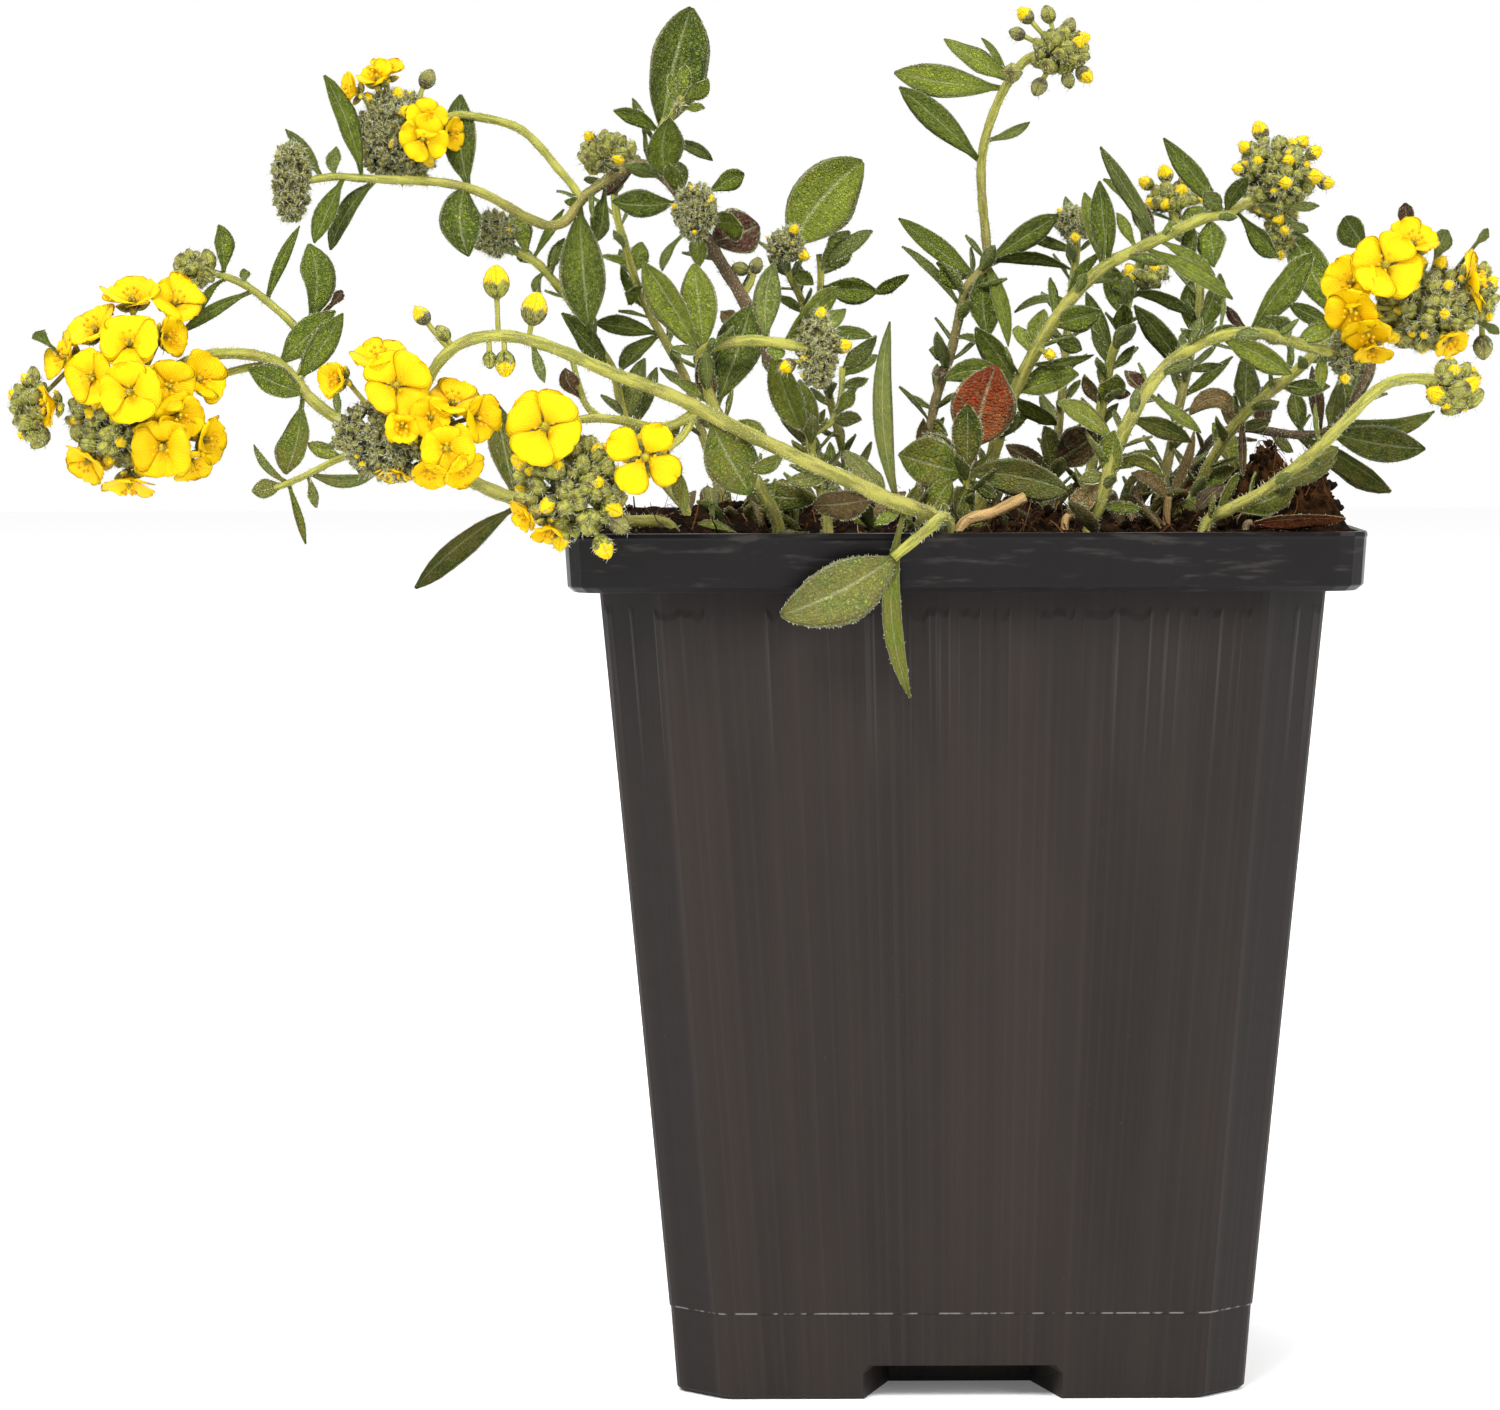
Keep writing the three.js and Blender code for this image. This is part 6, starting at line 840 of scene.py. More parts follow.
def petal_rings(heart, facing, reach, cup, spin, broad, rng):
    """Four petals on each heart. Every petal is a spoon: a narrow claw up to 0.15 of its reach, widest at
    0.62, shallowly notched at its end, and bent from a steep foot to a nearly flat, waved rim. Each second
    petal lies a little behind its neighbours."""
    flowers = len(heart)
    angle = spin[:, None] + np.arange(4)[None] * np.pi / 2 + rng.uniform(-0.09, 0.09, (flowers, 4))
    out = circle(angle, *square_pair(facing, FLOWER_STEEP)).reshape(-1, 3)
    facing = np.repeat(facing, 4, axis=0)
    heart = np.repeat(heart, 4, axis=0)
    reach = np.repeat(reach, 4) * rng.uniform(0.93, 1.05, flowers * 4)
    cup = np.repeat(cup, 4) + rng.uniform(-0.12, 0.12, flowers * 4)
    side = np.cross(facing, out)
    u = np.linspace(0.03, 0.99, 9)
    v, top = two_skins(7)
    wide = np.where(u < PETAL_WIDEST,
                    0.15 + 0.85 * np.sin(np.clip((u - 0.1) / 0.52, 0, 1) * np.pi / 2) ** 1.2,
                    np.sqrt(np.clip(1 - ((u - PETAL_WIDEST) / 0.385) ** 2, 0, 1)))
    broad = broad * np.repeat(rng.uniform(0.9, 1.1, flowers), 4) * rng.uniform(0.9, 1.08, flowers * 4)
    layer = np.tile([0.0, -0.07], flowers * 2)[:, None, None]
    half = (broad * reach)[:, None] * wide[None]
    bend = cup[:, None] + 0.45 - 0.8 * u[None]
    step = np.gradient(u)[None]
    flat = np.cumsum(np.cos(bend) * step, axis=1)
    high = np.cumsum(np.sin(bend) * step, axis=1)
    notch = PETAL_NOTCH * np.exp(-(v[None, None] / 0.3) ** 2)
    notch = notch * np.clip((u[None, :, None] - 0.6) / 0.4, 0, 1) ** 2
    forth = flat[..., None] - notch
    phase = rng.uniform(0, 6.28, (len(out), 1, 1))
    ripple = PETAL_RIPPLE * np.sin(4.2 * v[None, None] + phase + 2 * u[None, :, None]) * u[None, :, None] ** 2
    hollow = rng.uniform(-0.06, 0.24, (len(out), 1, 1))
    dish = hollow * (np.abs(v[None, None]) ** 2 - 0.3) * wide[None, :, None]
    skin = (np.where(top > 0, PETAL_SKIN, -PETAL_SKIN) * np.sqrt(np.clip(1.03 - v ** 2, 0, 1)))[None, None]
    rise = (high[..., None] + ripple + dish + layer) * reach[:, None, None] + skin
    points = (heart[:, None, None] + out[:, None, None] * (forth * reach[:, None, None])[..., None]
              + side[:, None, None] * (half[..., None] * v)[..., None]
              + facing[:, None, None] * rise[..., None])
    return points, np.stack(np.broadcast_arrays(u[:, None], v, top), axis=-1)


# Places of the rings of a bud, as shares of its length: single, grey and olive buds
BUD_STATIONS = (0.02, 0.1, 0.24, 0.42, 0.6, 0.77, 0.9, 0.98)
SMALL_BUD_STATIONS = (0.04, 0.28, 0.56, 0.82, 0.96)
OLIVE_BUD_STATIONS = (0.03, 0.2, 0.45, 0.7, 0.88, 0.97)


def bud_rings(foot, tip, width, blunt=0.8, stations=BUD_STATIONS, sides=8):
    """Ovoid buds in a batch: a half sine raised to a power gives the profile, and 1 + 0.07 cos(4 turn)
    marks the four folded sepals."""
    axis = tip - foot
    share = np.array(stations)
    radius = np.sin(np.pi * share ** 0.9) ** blunt
    turns = np.linspace(0, 2 * np.pi, sides, endpoint=False)
    seam = 1 + 0.07 * np.cos(4 * turns)
    out = radius[:, None] * seam[None]
    points = (foot[:, None, None] + axis[:, None, None] * share[None, :, None, None]
              + (width / 2)[:, None, None, None] * out[None, ..., None]
              * circle(turns, *square_pair(unit(axis)))[:, None])
    return points, ring_place(len(foot), share, turns)


def bud_hairs(foot, tip, width, each, hair, rng):
    """Roots spread over the outer two thirds of each bud; the hairs lean every way, most to its tip."""
    share = rng.uniform(0.3, 0.98, (len(foot), each, 1))
    turns = rng.uniform(0, 2 * np.pi, (len(foot), each, 1))
    axis = (tip - foot)[:, None]
    along = unit(axis)
    first, second = square_pair(along)
    out = np.cos(turns) * first + np.sin(turns) * second
    radius = (width / 2)[:, None, None] * np.sin(np.pi * share ** 0.9) ** 0.8
    roots = foot[:, None] + axis * share + out * radius * 0.95
    loose = rng.normal(0, 0.45, roots.shape)
    lean = unit(out + along * rng.uniform(-0.1, 1.1, share.shape) + loose)
    tips = roots + lean * hair * rng.uniform(0.5, 1.2, share.shape)
    return roots.reshape(-1, 3), tips.reshape(-1, 3)


# Finishes


class Wire:
    """One shader socket that can stand in Python sums and products."""

    def __init__(self, finish, socket):
        self.finish = finish
        self.socket = socket

    def maths(self, operation, *values):
        return self.finish.node("ShaderNodeMath", {"operation": operation}, dict(enumerate(values)))

    def __add__(self, other):
        return self.maths("ADD", self, other)

    def __sub__(self, other):
        return self.maths("SUBTRACT", self, other)

    def __rsub__(self, other):
        return self.maths("SUBTRACT", other, self)

    def __mul__(self, other):
        return self.maths("MULTIPLY", self, other)

    def __truediv__(self, other):
        return self.maths("DIVIDE", self, other)

    def __abs__(self):
        return self.maths("ABSOLUTE", self)

    __radd__ = __add__
    __rmul__ = __mul__

    def between(self, low, high):
        """0 below low, 1 above high and a smooth rise from one to the other. Low may be the larger."""
        return self.finish.node("ShaderNodeMapRange", {"interpolation_type": "SMOOTHSTEP"},
                                {0: self, 1: low, 2: high, 3: 0.0, 4: 1.0})


class Finish:
    """A material under construction, with one method that makes any node."""

    def __init__(self, name):
        self.material = bpy.data.materials.new(name)
        self.material.use_nodes = True
        self.tree = self.material.node_tree
        self.tree.nodes.clear()

    def node(self, kind, settings=None, values=None, out=0):
        """Makes a node, sets its settings, fills or links its sockets and returns an output."""
        made = self.tree.nodes.new(kind)
        for key, setting in (settings or {}).items():
            setattr(made, key, setting)
        for key, value in (values or {}).items():
            if isinstance(value, Wire):
                self.tree.links.new(value.socket, made.inputs[key])
            elif isinstance(value, tuple) and len(value) == 3 and made.inputs[key].type == "RGBA":
                made.inputs[key].default_value = (*value, 1)
            else:
                made.inputs[key].default_value = value
        return Wire(self, made.outputs[out])

    def parts(self, vector):
        """The x, y and z of a vector as three wires."""
        split = self.node("ShaderNodeSeparateXYZ", None, {0: vector})
        return [Wire(self, split.socket.node.outputs[n]) for n in range(3)]

    def vector(self, *parts):
        return self.node("ShaderNodeCombineXYZ", None, dict(enumerate(parts)))

    def ramp(self, value, stops, steps="LINEAR"):
        """A colour that depends on a value, by stops of a place and a colour each."""
        made = self.node("ShaderNodeValToRGB", None, {0: value})
        ramp = made.socket.node.color_ramp
        ramp.interpolation = steps
        for place, colour in stops[1:-1]:
            ramp.elements.new(place).color = (*colour, 1)
        for end in (0, -1):
            ramp.elements[end].position = stops[end][0]
            ramp.elements[end].color = (*stops[end][1], 1)
        return made

    def blend(self, share, a, b, how="MIX"):
        return self.node("ShaderNodeMix", {"data_type": "RGBA", "blend_type": how}, {0: share, 6: a, 7: b}, 2)

    def millimetres(self, stretch=(1, 1, 1)):
        """Object coordinates in millimetres, squeezed along each axis by a factor."""
        place = self.node("ShaderNodeTexCoord", None, None, 3)
        scale = tuple(1000.0 * s for s in stretch)
        return self.node("ShaderNodeMapping", None, {"Vector": place, "Scale": scale})

    def noise(self, vector, scale, detail=2.0, rough=0.5):
        return self.node("ShaderNodeTexNoise", None,
                         {"Vector": vector, "Scale": scale, "Detail": detail, "Roughness": rough})

    def spots(self, vector, scale, feature="F1"):
        """Distance to the nearest of a scatter of points, or to the border between two of them."""
        return self.node("ShaderNodeTexVoronoi", {"feature": feature}, {"Vector": vector, "Scale": scale})

    def attribute(self, name):
        return self.node("ShaderNodeAttribute", {"attribute_name": name}, None, 1)

    def bump(self, height, strength, distance=0.0002):
        return self.node("ShaderNodeBump", None,
                         {"Height": height, "Strength": strength, "Distance": distance})

    def surface(self, values):
        shader = self.node("ShaderNodeBsdfPrincipled", None, values)
        out = self.tree.nodes.new("ShaderNodeOutputMaterial")
        self.tree.links.new(shader.socket, out.inputs["Surface"])


def plastic_finish(look):
    """Moulded black plastic: upright flow lines, shiny flutes with round tops under the rim with painted
    shade over them and painted highlights along their edges, painted shade on the flat corner faces and under
    the rim, painted reflection streaks on the rim band, scuffs and dust.

    x and y are divided by the wall's half width at their height, so that lines run down the tapered walls.
    """
    f = Finish("pot plastic")
    mm = f.millimetres()
    x, y, z = f.parts(mm)
    half = z * 0.0906 + 32.8

    def down_the_wall(step, detail=2.0):
        """Noise that depends on the place round the wall alone, with cells of a step in millimetres."""
        across, along = (side / half * (41.0 / step) for side in (x, y))
        return f.noise(f.vector(across, along), 1.0, detail, 0.6)

    broad = down_the_wall(9.0)
    lines = down_the_wall(1.0, 3.0)
    comb = down_the_wall(2.2, 1.0)
    cloud = f.noise(f.millimetres((1, 1, 0.25)), 0.09, 3.0)
    reach = 60.0 + comb * 44.0
    under_rim = (z - reach).between(-14.0, 6.0) * (z + comb * 5.0).between(94.4, 93.2)
    flute = comb.between(0.5, 0.55) * under_rim
    # Mask of the painted highlights along the edges of the flutes.
    painted_flute_highlight = comb.between(0.51, 0.53) * comb.between(0.555, 0.54) * under_rim * lines.between(0.35, 0.6)
    outer = f.node("ShaderNodeMath", {"operation": "MAXIMUM"}, {0: abs(x), 1: abs(y)}) / half
    corner_shade = ((abs(x) + abs(y)) / half).between(1.72, 1.78) * outer.between(0.985, 0.965)
    rim = z.between(93.2, 93.6)
    # Streaky noise for the painted reflection on the rim band; it also varies the roughness.
    reflection_streaks = f.noise(f.millimetres((0.25, 0.25, 1.4)), 0.55, 3.0, 0.6)
    dust = f.noise(mm, 1.3, 4.0, 0.7).between(0.66, 0.8)
    step = abs(z - 10.15).between(0.14, 0.04)
    worn = f.noise(f.millimetres((1, 1, 0.2)), 0.9, 2.0)
    scuff = step * worn.between(0.44, 0.56)
    shade = 0.35 + broad.between(0.3, 0.7) * 0.35 + cloud.between(0.3, 0.7) * 0.3
    wall = f.blend(shade, look["deep"], look["wall"])
    wall = f.blend(lines.between(0.45, 0.7) * 0.35, wall, look["streak"])
    # Painted shade over the flutes under the rim.
    wall = f.blend(flute * 0.45, wall, look["deep"])
    # Painted shade on the flat corner faces of the pot.
    wall = f.blend(corner_shade * 0.7, wall, look["deep"])
    # Painted highlights along the edges of the flutes, in the highlight colour.
    wall = f.blend(painted_flute_highlight * 0.4, wall, look["flute"])
    # Painted shade under the rim: the wall darkens from 84 mm up to the rim.
    wall = f.blend(z.between(84.0, 93.0) * 0.55, wall, look["deep"])
    wall = f.blend(rim, wall, look["rim"])
    # Painted reflection: streaks of the highlight colour along the rim band.
    wall = f.blend(rim * reflection_streaks.between(0.54, 0.7) * 0.3, wall, look["flute"])
    wall = f.blend(scuff * 0.5, wall, (0.32, 0.31, 0.3))
    wall = f.blend(dust * 0.07, wall, (0.25, 0.22, 0.18))
    rough = 0.5 + broad * 0.1 + reflection_streaks * 0.08 - flute * 0.2 - rim * 0.24 + scuff * 0.2
    height = lines * 0.35 + flute * 1.5 + dust * 0.1
    f.surface({"Base Color": wall, "Roughness": rough, "Specular IOR Level": 0.16,
               "Normal": f.bump(height, 0.45, 0.0003)})


def peat_finish(look):
    """Moist peat: nearly black crumbs, warmer fibres and pale flecks."""
    f = Finish("peat")
    mm = f.millimetres()
    clod = f.noise(mm, 0.5, 4.0, 0.65)
    grain = f.noise(mm, 3.2, 3.0, 0.7)
    fibre = f.noise(f.millimetres((0.25, 1.4, 1.4)), 1.6, 3.0, 0.6)
    colour = f.blend(clod.between(0.35, 0.7), look["dark"], look["warm"])
    high = f.parts(mm)[2].between(100.5, 105.0)
    colour = f.blend(fibre.between(0.6, 0.75) * 0.6, colour, look["fibre"])
    colour = f.blend(high * clod.between(0.4, 0.6) * 0.5, colour, look["fibre"])
    colour = f.blend(grain.between(0.68, 0.8) * 0.5, colour, look["fleck"])
    f.surface({"Base Color": colour, "Roughness": 0.75 + grain * 0.2,
               "Specular IOR Level": 0.04, "Normal": f.bump(grain + clod + fibre, 1.0, 0.0006)})


def litter_finish(look):
    """Loose fibres, bark and dry bits in the peat, each of its own brown."""
    f = Finish("litter")
    tone = f.parts(f.attribute("kind"))[0]
    grain = f.noise(f.millimetres(), 2.4, 3.0, 0.6)
    own = f.ramp(tone, [(0.0, look["dark"]), (0.45, look["warm"]),
                        (0.8, look["fibre"]), (1.0, look["straw"])])
    colour = f.blend(grain.between(0.4, 0.75) * 0.6, own, look["dark"])
    f.surface({"Base Color": colour, "Roughness": 0.85, "Specular IOR Level": 0.06,
               "Normal": f.bump(grain, 0.5, 0.0002)})


def stem_finish(look):
    """Stem skin under its felt: its tone runs along it, with streaks and pale hair flecks."""
    f = Finish("stem skin")
    share, turn, tone = f.parts(f.attribute("place"))
    length = f.parts(f.attribute("kind"))[2]
    mm = f.millimetres()
    along = f.vector(share * length * 0.3, abs(turn - 0.5) * 9.0, length)
    streak = f.noise(along, 1.0, 3.0, 0.6)
    own = f.ramp(tone, [(0.0, look["pale"]), (0.33, look["brown"]),
                        (0.66, look["dead"]), (1.0, look["straw"])])
    felt = f.spots(mm, 3.2).between(0.36, 0.14)
    blotch = f.noise(mm, 0.28, 2.0)
    colour = f.blend(streak.between(0.4, 0.62) * 0.75, own, f.blend(1.0, own, look["shade"], "MULTIPLY"))
    colour = f.blend(blotch.between(0.56, 0.72) * 0.35, colour, look["brown"])
    colour = f.blend(felt * 0.5, colour, look["felt"])
    f.surface({"Base Color": colour, "Roughness": 0.72 + felt * 0.15, "Specular IOR Level": 0.25,
               "Normal": f.bump(felt + streak * 0.6, 0.6, 0.00015)})


def leaf_finish(look):
    """Felted leaf: dark and light cells of the blade, a glowing middle, a brown margin with a pale fringe,
    aged patches low down, and short hairs that lie along the blade as streaks."""
    f = Finish("leaf skin")
    u, v, top = f.parts(f.attribute("place"))
    tone, hue, size = f.parts(f.attribute("kind"))
    mm = f.millimetres()
    stops = [(n / 7.0, look[name]) for n, name in
             enumerate(("green", "dark", "pale", "grey", "purple", "red", "dry"))]
    own = f.ramp(tone, stops, "CONSTANT")
    along, across = u * size, v * size * 0.21
    blade = f.vector(along, across, hue * 60.0)
    lying = f.vector(along * 0.5, across * 2.0, hue * 90.0)
    patch = f.noise(mm, 0.35, 3.0, 0.6)
    mottle = f.noise(blade, 2.0, 3.0, 0.6)
    cells = f.spots(blade, 2.3, "DISTANCE_TO_EDGE").between(0.02, 0.22)
    streaks = f.noise(lying, 3.0, 3.0, 0.75).between(0.48, 0.66)
    fringe = f.spots(mm, 4.2).between(0.42, 0.18)
    vein = abs(v).between(0.1, 0.02)
    glow = abs(v).between(0.85, 0.0) * u.between(1.1, 0.2)
    margin = abs(v).between(0.62, 0.86)
    rim = abs(v).between(0.86, 0.96)
    light = f.blend(tone.between(0.54, 0.6), f.blend(0.62, own, look["sun"]), f.blend(0.1, own, look["dry"]))
    dark = f.blend(1.0, own, look["shade"], "MULTIPLY")
    colour = f.blend(glow * 0.5 + hue * 0.3, own, light)
    colour = f.blend(patch.between(0.6, 0.38) * 0.5, colour, dark)
    colour = f.blend(mottle.between(0.58, 0.36) * 0.5, colour, dark)
    colour = f.blend(cells * mottle.between(0.4, 0.6) * 0.6, colour, light)
    colour = f.blend((1.0 - top) * 0.4, colour, look["under"])
    colour = f.blend(margin * patch.between(0.42, 0.58) * 0.5, colour, look["edge"])
    low = f.parts(mm)[2].between(124.0, 104.0)
    colour = f.blend(low * patch.between(0.36, 0.6) * 0.5, colour, look["aged"])
    colour = f.blend(vein * 0.35, colour, look["felt"])
    colour = f.blend(streaks * (0.26 + fringe * 0.36), colour, look["felt"])
    colour = f.blend(rim * (0.5 + fringe * 0.4), colour, look["felt"])
    f.surface({"Base Color": colour, "Roughness": 0.6 + streaks * 0.2, "Specular IOR Level": 0.1,
               "Normal": f.bump(cells * 0.9 + streaks * 0.8 + mottle * 0.5 + vein * -0.7, 0.9, 0.0005)})


def petal_finish(look):
    """Thin petals: deeper yellow at the claw, painted shade that deepens the yellow towards the heart of the
    flower and on the lower skin, and veins that fan outwards.
    """
    f = Finish("petal skin")
    u, v, top = f.parts(f.attribute("place"))
    tone, hue = f.parts(f.attribute("kind"))[:2]
    mm = f.millimetres()
    fan = f.node("ShaderNodeTexWave", {"wave_type": "BANDS", "bands_direction": "X"},
                 {"Vector": f.vector(v), "Scale": 2.6, "Distortion": 1.2, "Detail": 1.0})
    cloud = f.noise(mm, 0.7, 3.0, 0.6)
    colour = f.blend(hue, look["full"], look["light"])
    # Painted shade: a deeper orange yellow towards the heart of the flower.
    colour = f.blend(u.between(0.62, 0.1) * 0.75, colour, look["vein"])
    colour = f.blend(u.between(0.2, 0.02) * 0.6, colour, look["claw"])
    colour = f.blend(fan.between(0.6, 1.0) * 0.2 + cloud.between(0.5, 0.75) * 0.3, colour, look["vein"])
    # Painted shade on the lower skin of each petal.
    colour = f.blend((1.0 - top) * 0.3, colour, look["vein"])
    colour = f.blend(tone, colour, look["spent"])
    f.surface({"Base Color": colour, "Roughness": 0.55, "Specular IOR Level": 0.12,
               "Emission Color": colour, "Emission Strength": look["glow"],
               "Normal": f.bump(fan * 0.6 + cloud * 0.8, 0.4, 0.0002)})


def bud_finish(look):
    """Hairy buds: grey brown or olive sepals with dark ends, painted shade in the creases between them and
    dark patches that are partly their own colour and partly painted shadow between the buds. The more a bud
    is open, the lower the yellow of its petals starts between the pointed sepals, with painted shade in its
    folds."""
    f = Finish("bud skin")
    share, turn = f.parts(f.attribute("place"))[:2]
    tone, hue = f.parts(f.attribute("kind"))[:2]
    mm = f.millimetres()
    flecks = f.spots(mm, 3.8).between(0.4, 0.14)
    seam = f.noise(mm, 2.1, 3.0, 0.65)
    lobe = f.node("ShaderNodeMath", {"operation": "PINGPONG"}, {0: turn * 4.0, 1: 0.5})
    fold = lobe.between(0.12, 0.0)
    edge = tone * -0.4 + 0.72 + seam * 0.1 + lobe * 0.3
    # Painted shade in the folds of the yellow between the sepals and in patches over it.
    petals = f.blend(fold * 0.5 + seam.between(0.45, 0.65) * 0.3, look["yellow"], look["vein"])
    colour = f.blend(hue.between(0.1, 0.9), look["grey"], look["green"])
    # Dark patches: partly the sepals' own dark colour, partly painted shadow between the packed buds.
    colour = f.blend(seam.between(0.42, 0.58) * 0.85, colour, look["shade"])
    # Painted shade in the creases between the sepal lobes.
    colour = f.blend(fold * 0.6, colour, look["shade"])
    colour = f.blend(share.between(0.3, 0.7) * 0.4, colour, look["sun"])
    colour = f.blend(share.between(0.84, 0.97) * 0.8, colour, look["dark"])
    colour = f.blend(flecks * 0.45, colour, look["felt"])
    colour = f.blend((share - edge).between(0.0, 0.08) * tone.between(0.05, 0.3), colour, petals)
    f.surface({"Base Color": colour, "Roughness": 0.75, "Specular IOR Level": 0.2,
               "Normal": f.bump(flecks + seam * 0.8 - fold, 0.7, 0.00025)})


def hair_finish(look):
    """Silvery hairs, a little darker at the root."""
    f = Finish("felt hair")
    share = f.parts(f.attribute("place"))[0]
    tone = f.parts(f.attribute("kind"))[0]
    colour = f.blend(share, f.blend(tone, look["root"], look["brown"]), look["tip"])
    f.surface({"Base Color": colour, "Roughness": 0.6})


# Where things join, as in the part's solids


LEHMER_FACTOR = 48271
LEHMER_PRIME = 2147483647


def lehmer(seed):
    """The third value of a multiplying generator, from 0 to 1: the same turn as in the part's solids."""
    state = seed
    for _ in range(3):
        state = state * LEHMER_FACTOR % LEHMER_PRIME
    return state / LEHMER_PRIME


def nearest_on_stems(name, x, z):
    """Nearest point of a node's stems to a seen point: its x, z, depth and distance."""
    best = None
    for node, _, _, points in ROUTES:
        if node != name:
            continue
        line = np.asarray(points, float)
        a, d = line[:-1], np.diff(line, axis=0)
        square = np.maximum(d[:, 0] ** 2 + d[:, 1] ** 2, 1e-9)
        t = ((x - a[:, 0]) * d[:, 0] + (z - a[:, 1]) * d[:, 1]) / square
        spot = a + np.clip(t, 0, 1)[:, None] * d
        away = np.hypot(x - spot[:, 0], z - spot[:, 1])
        n = int(away.argmin())
        if best is None or away[n] < best[3]:
            best = (*spot[n], away[n])
    if best is None:
        hx, hz, hy = next(row[1] for row in HEADS if row[0] == name)
        best = (hx, hz, hy, math.hypot(x - hx, z - hz))
    return best


def bud_joint(name, centre):
    """Where a bud's or flower's stalk starts: in the nearest head or on the nearest stem."""
    heads = [(math.hypot(at[0] - centre[0], at[1] - centre[1]), at) for node, at, *_ in HEADS if node == name]
    stems = nearest_on_stems(name, centre[0], centre[1]) if any(row[0] == name for row in ROUTES) else None
    if heads and (stems is None or min(heads)[0] < stems[3] + 2):
        return real(*min(heads)[1])
    return real(*stems[:3])


# The plant


STEM_TONES = {"shoot_d": (0.45, 0.0), "shoot_t": (0.66, 0.4), "shoot_k": (0.26, 0.02), "shoot_p": (0.2, 0.0),
              "shoot_g": (0.16, 0.0), "shoot_r": (0.2, 0.02), "shoot_u": (0.4, 0.3), "twig": (1.0, 1.0),
              "dead_leaf_front": (1.0, 1.0), "dead_leaf_mid": (1.0, 1.0), "leaf_red": (0.3, 0.3),
              "leaf_red_low": (0.33, 0.33)}
USUAL_TONES = (0.07, 0.0)
# Spacing of the points along a stem
PATH_STEP = 0.7
# Hairs
HAIR_LENGTH = 0.52
BUD_HAIR_LENGTH = 0.75
HAIR_RADIUS = 0.045
STEM_HAIR_RADIUS = 0.042
HAIRS_PER_MM = 11
# Leaves: widths past which they are divided more finely and twist less, and twists in degrees
WIDE_LEAF = 3.1
BROAD_LEAF = 4
LEAF_TWIST = 50
BROAD_TWIST = 28
LOW_LEAVES = 96
# Tones of the leaves
GREEN, DARK, PALE, GREY, PURPLE, RED, DRY = range(7)
# How many small leaves a shoot bears all round, from and to which share of its main stem, and their tones.
SMALL_LEAVES = {
    "shoot_a": (5, 0.3, 0.62, (GREEN, PALE)), "shoot_d": (16, 0.04, 0.5, (DARK, GREEN, PURPLE)),
    "shoot_e": (12, 0.1, 0.97, (GREEN, GREY)), "shoot_g": (14, 0.08, 0.95, (GREEN, GREY)),
    "shoot_h": (13, 0.06, 0.6, (GREY, PALE, GREEN)), "shoot_i": (18, 0.08, 0.95, (GREY, GREEN, PALE)),
    "shoot_j": (24, 0.06, 0.95, (GREY, GREEN, DARK)), "shoot_k": (18, 0.03, 0.5, (GREEN, DARK, GREY)),
    "shoot_l": (16, 0.05, 0.9, (GREEN, PALE, GREY)), "shoot_m": (18, 0.06, 0.85, (GREEN, GREY, DARK)),
    "shoot_n": (6, 0.04, 0.4, (GREEN, PALE)), "shoot_o": (22, 0.06, 0.96, (GREEN, GREY, DARK)),
    "shoot_p": (24, 0.05, 0.92, (GREEN, GREY, DARK)), "shoot_q": (20, 0.05, 0.85, (GREEN, GREY, DARK)),
    "shoot_r": (22, 0.05, 0.95, (GREEN, GREY)), "shoot_t": (12, 0.1, 0.9, (DARK, PURPLE)),
    "shoot_s": (9, 0.2, 0.95, (GREY, GREEN, PALE)), "shoot_u": (10, 0.1, 0.95, (PURPLE, DARK, GREEN)),
}
PLANT_FINISHES = ["stem skin", "leaf skin", "bud skin", "petal skin", "felt hair"]


def grow_stems(growth, name, seed, hairy):
    """Every stem of a node, from its foot in the peat to its end, with its hairs."""
    foot_tone, tip_tone = STEM_TONES.get(name, USUAL_TONES)
    for n, (_, start, end, points) in enumerate(row for row in ROUTES if row[0] == name):
        spots = np.asarray(points, float)
        path = real(*spots.T)
        if n == 0:
            foot = path[:1].copy()
            foot[0, 2] = SOIL_LEVEL - ROOT_DEPTH
            path = np.concatenate([foot, path])
        scale = seen_scale(spots[0, 2])
        path = smooth_path(path, PATH_STEP)
        tones = (tip_tone if n else foot_tone, tip_tone)
        rings, place, length = stem_rings(path, start * scale, end * scale, 10, tones)
        growth.add(rings, "stem skin", place, (0, 0.5, length))
        if hairy:
            roots, tips = stem_hairs(path, start * scale, end * scale, HAIRS_PER_MM, HAIR_LENGTH, seed + n)
            high = roots[:, 2] > SOIL_LEVEL
            growth.add_spikes(roots[high], tips[high], STEM_HAIR_RADIUS, "felt hair",
                              (min(tones[0], 0.5), 0, 0))


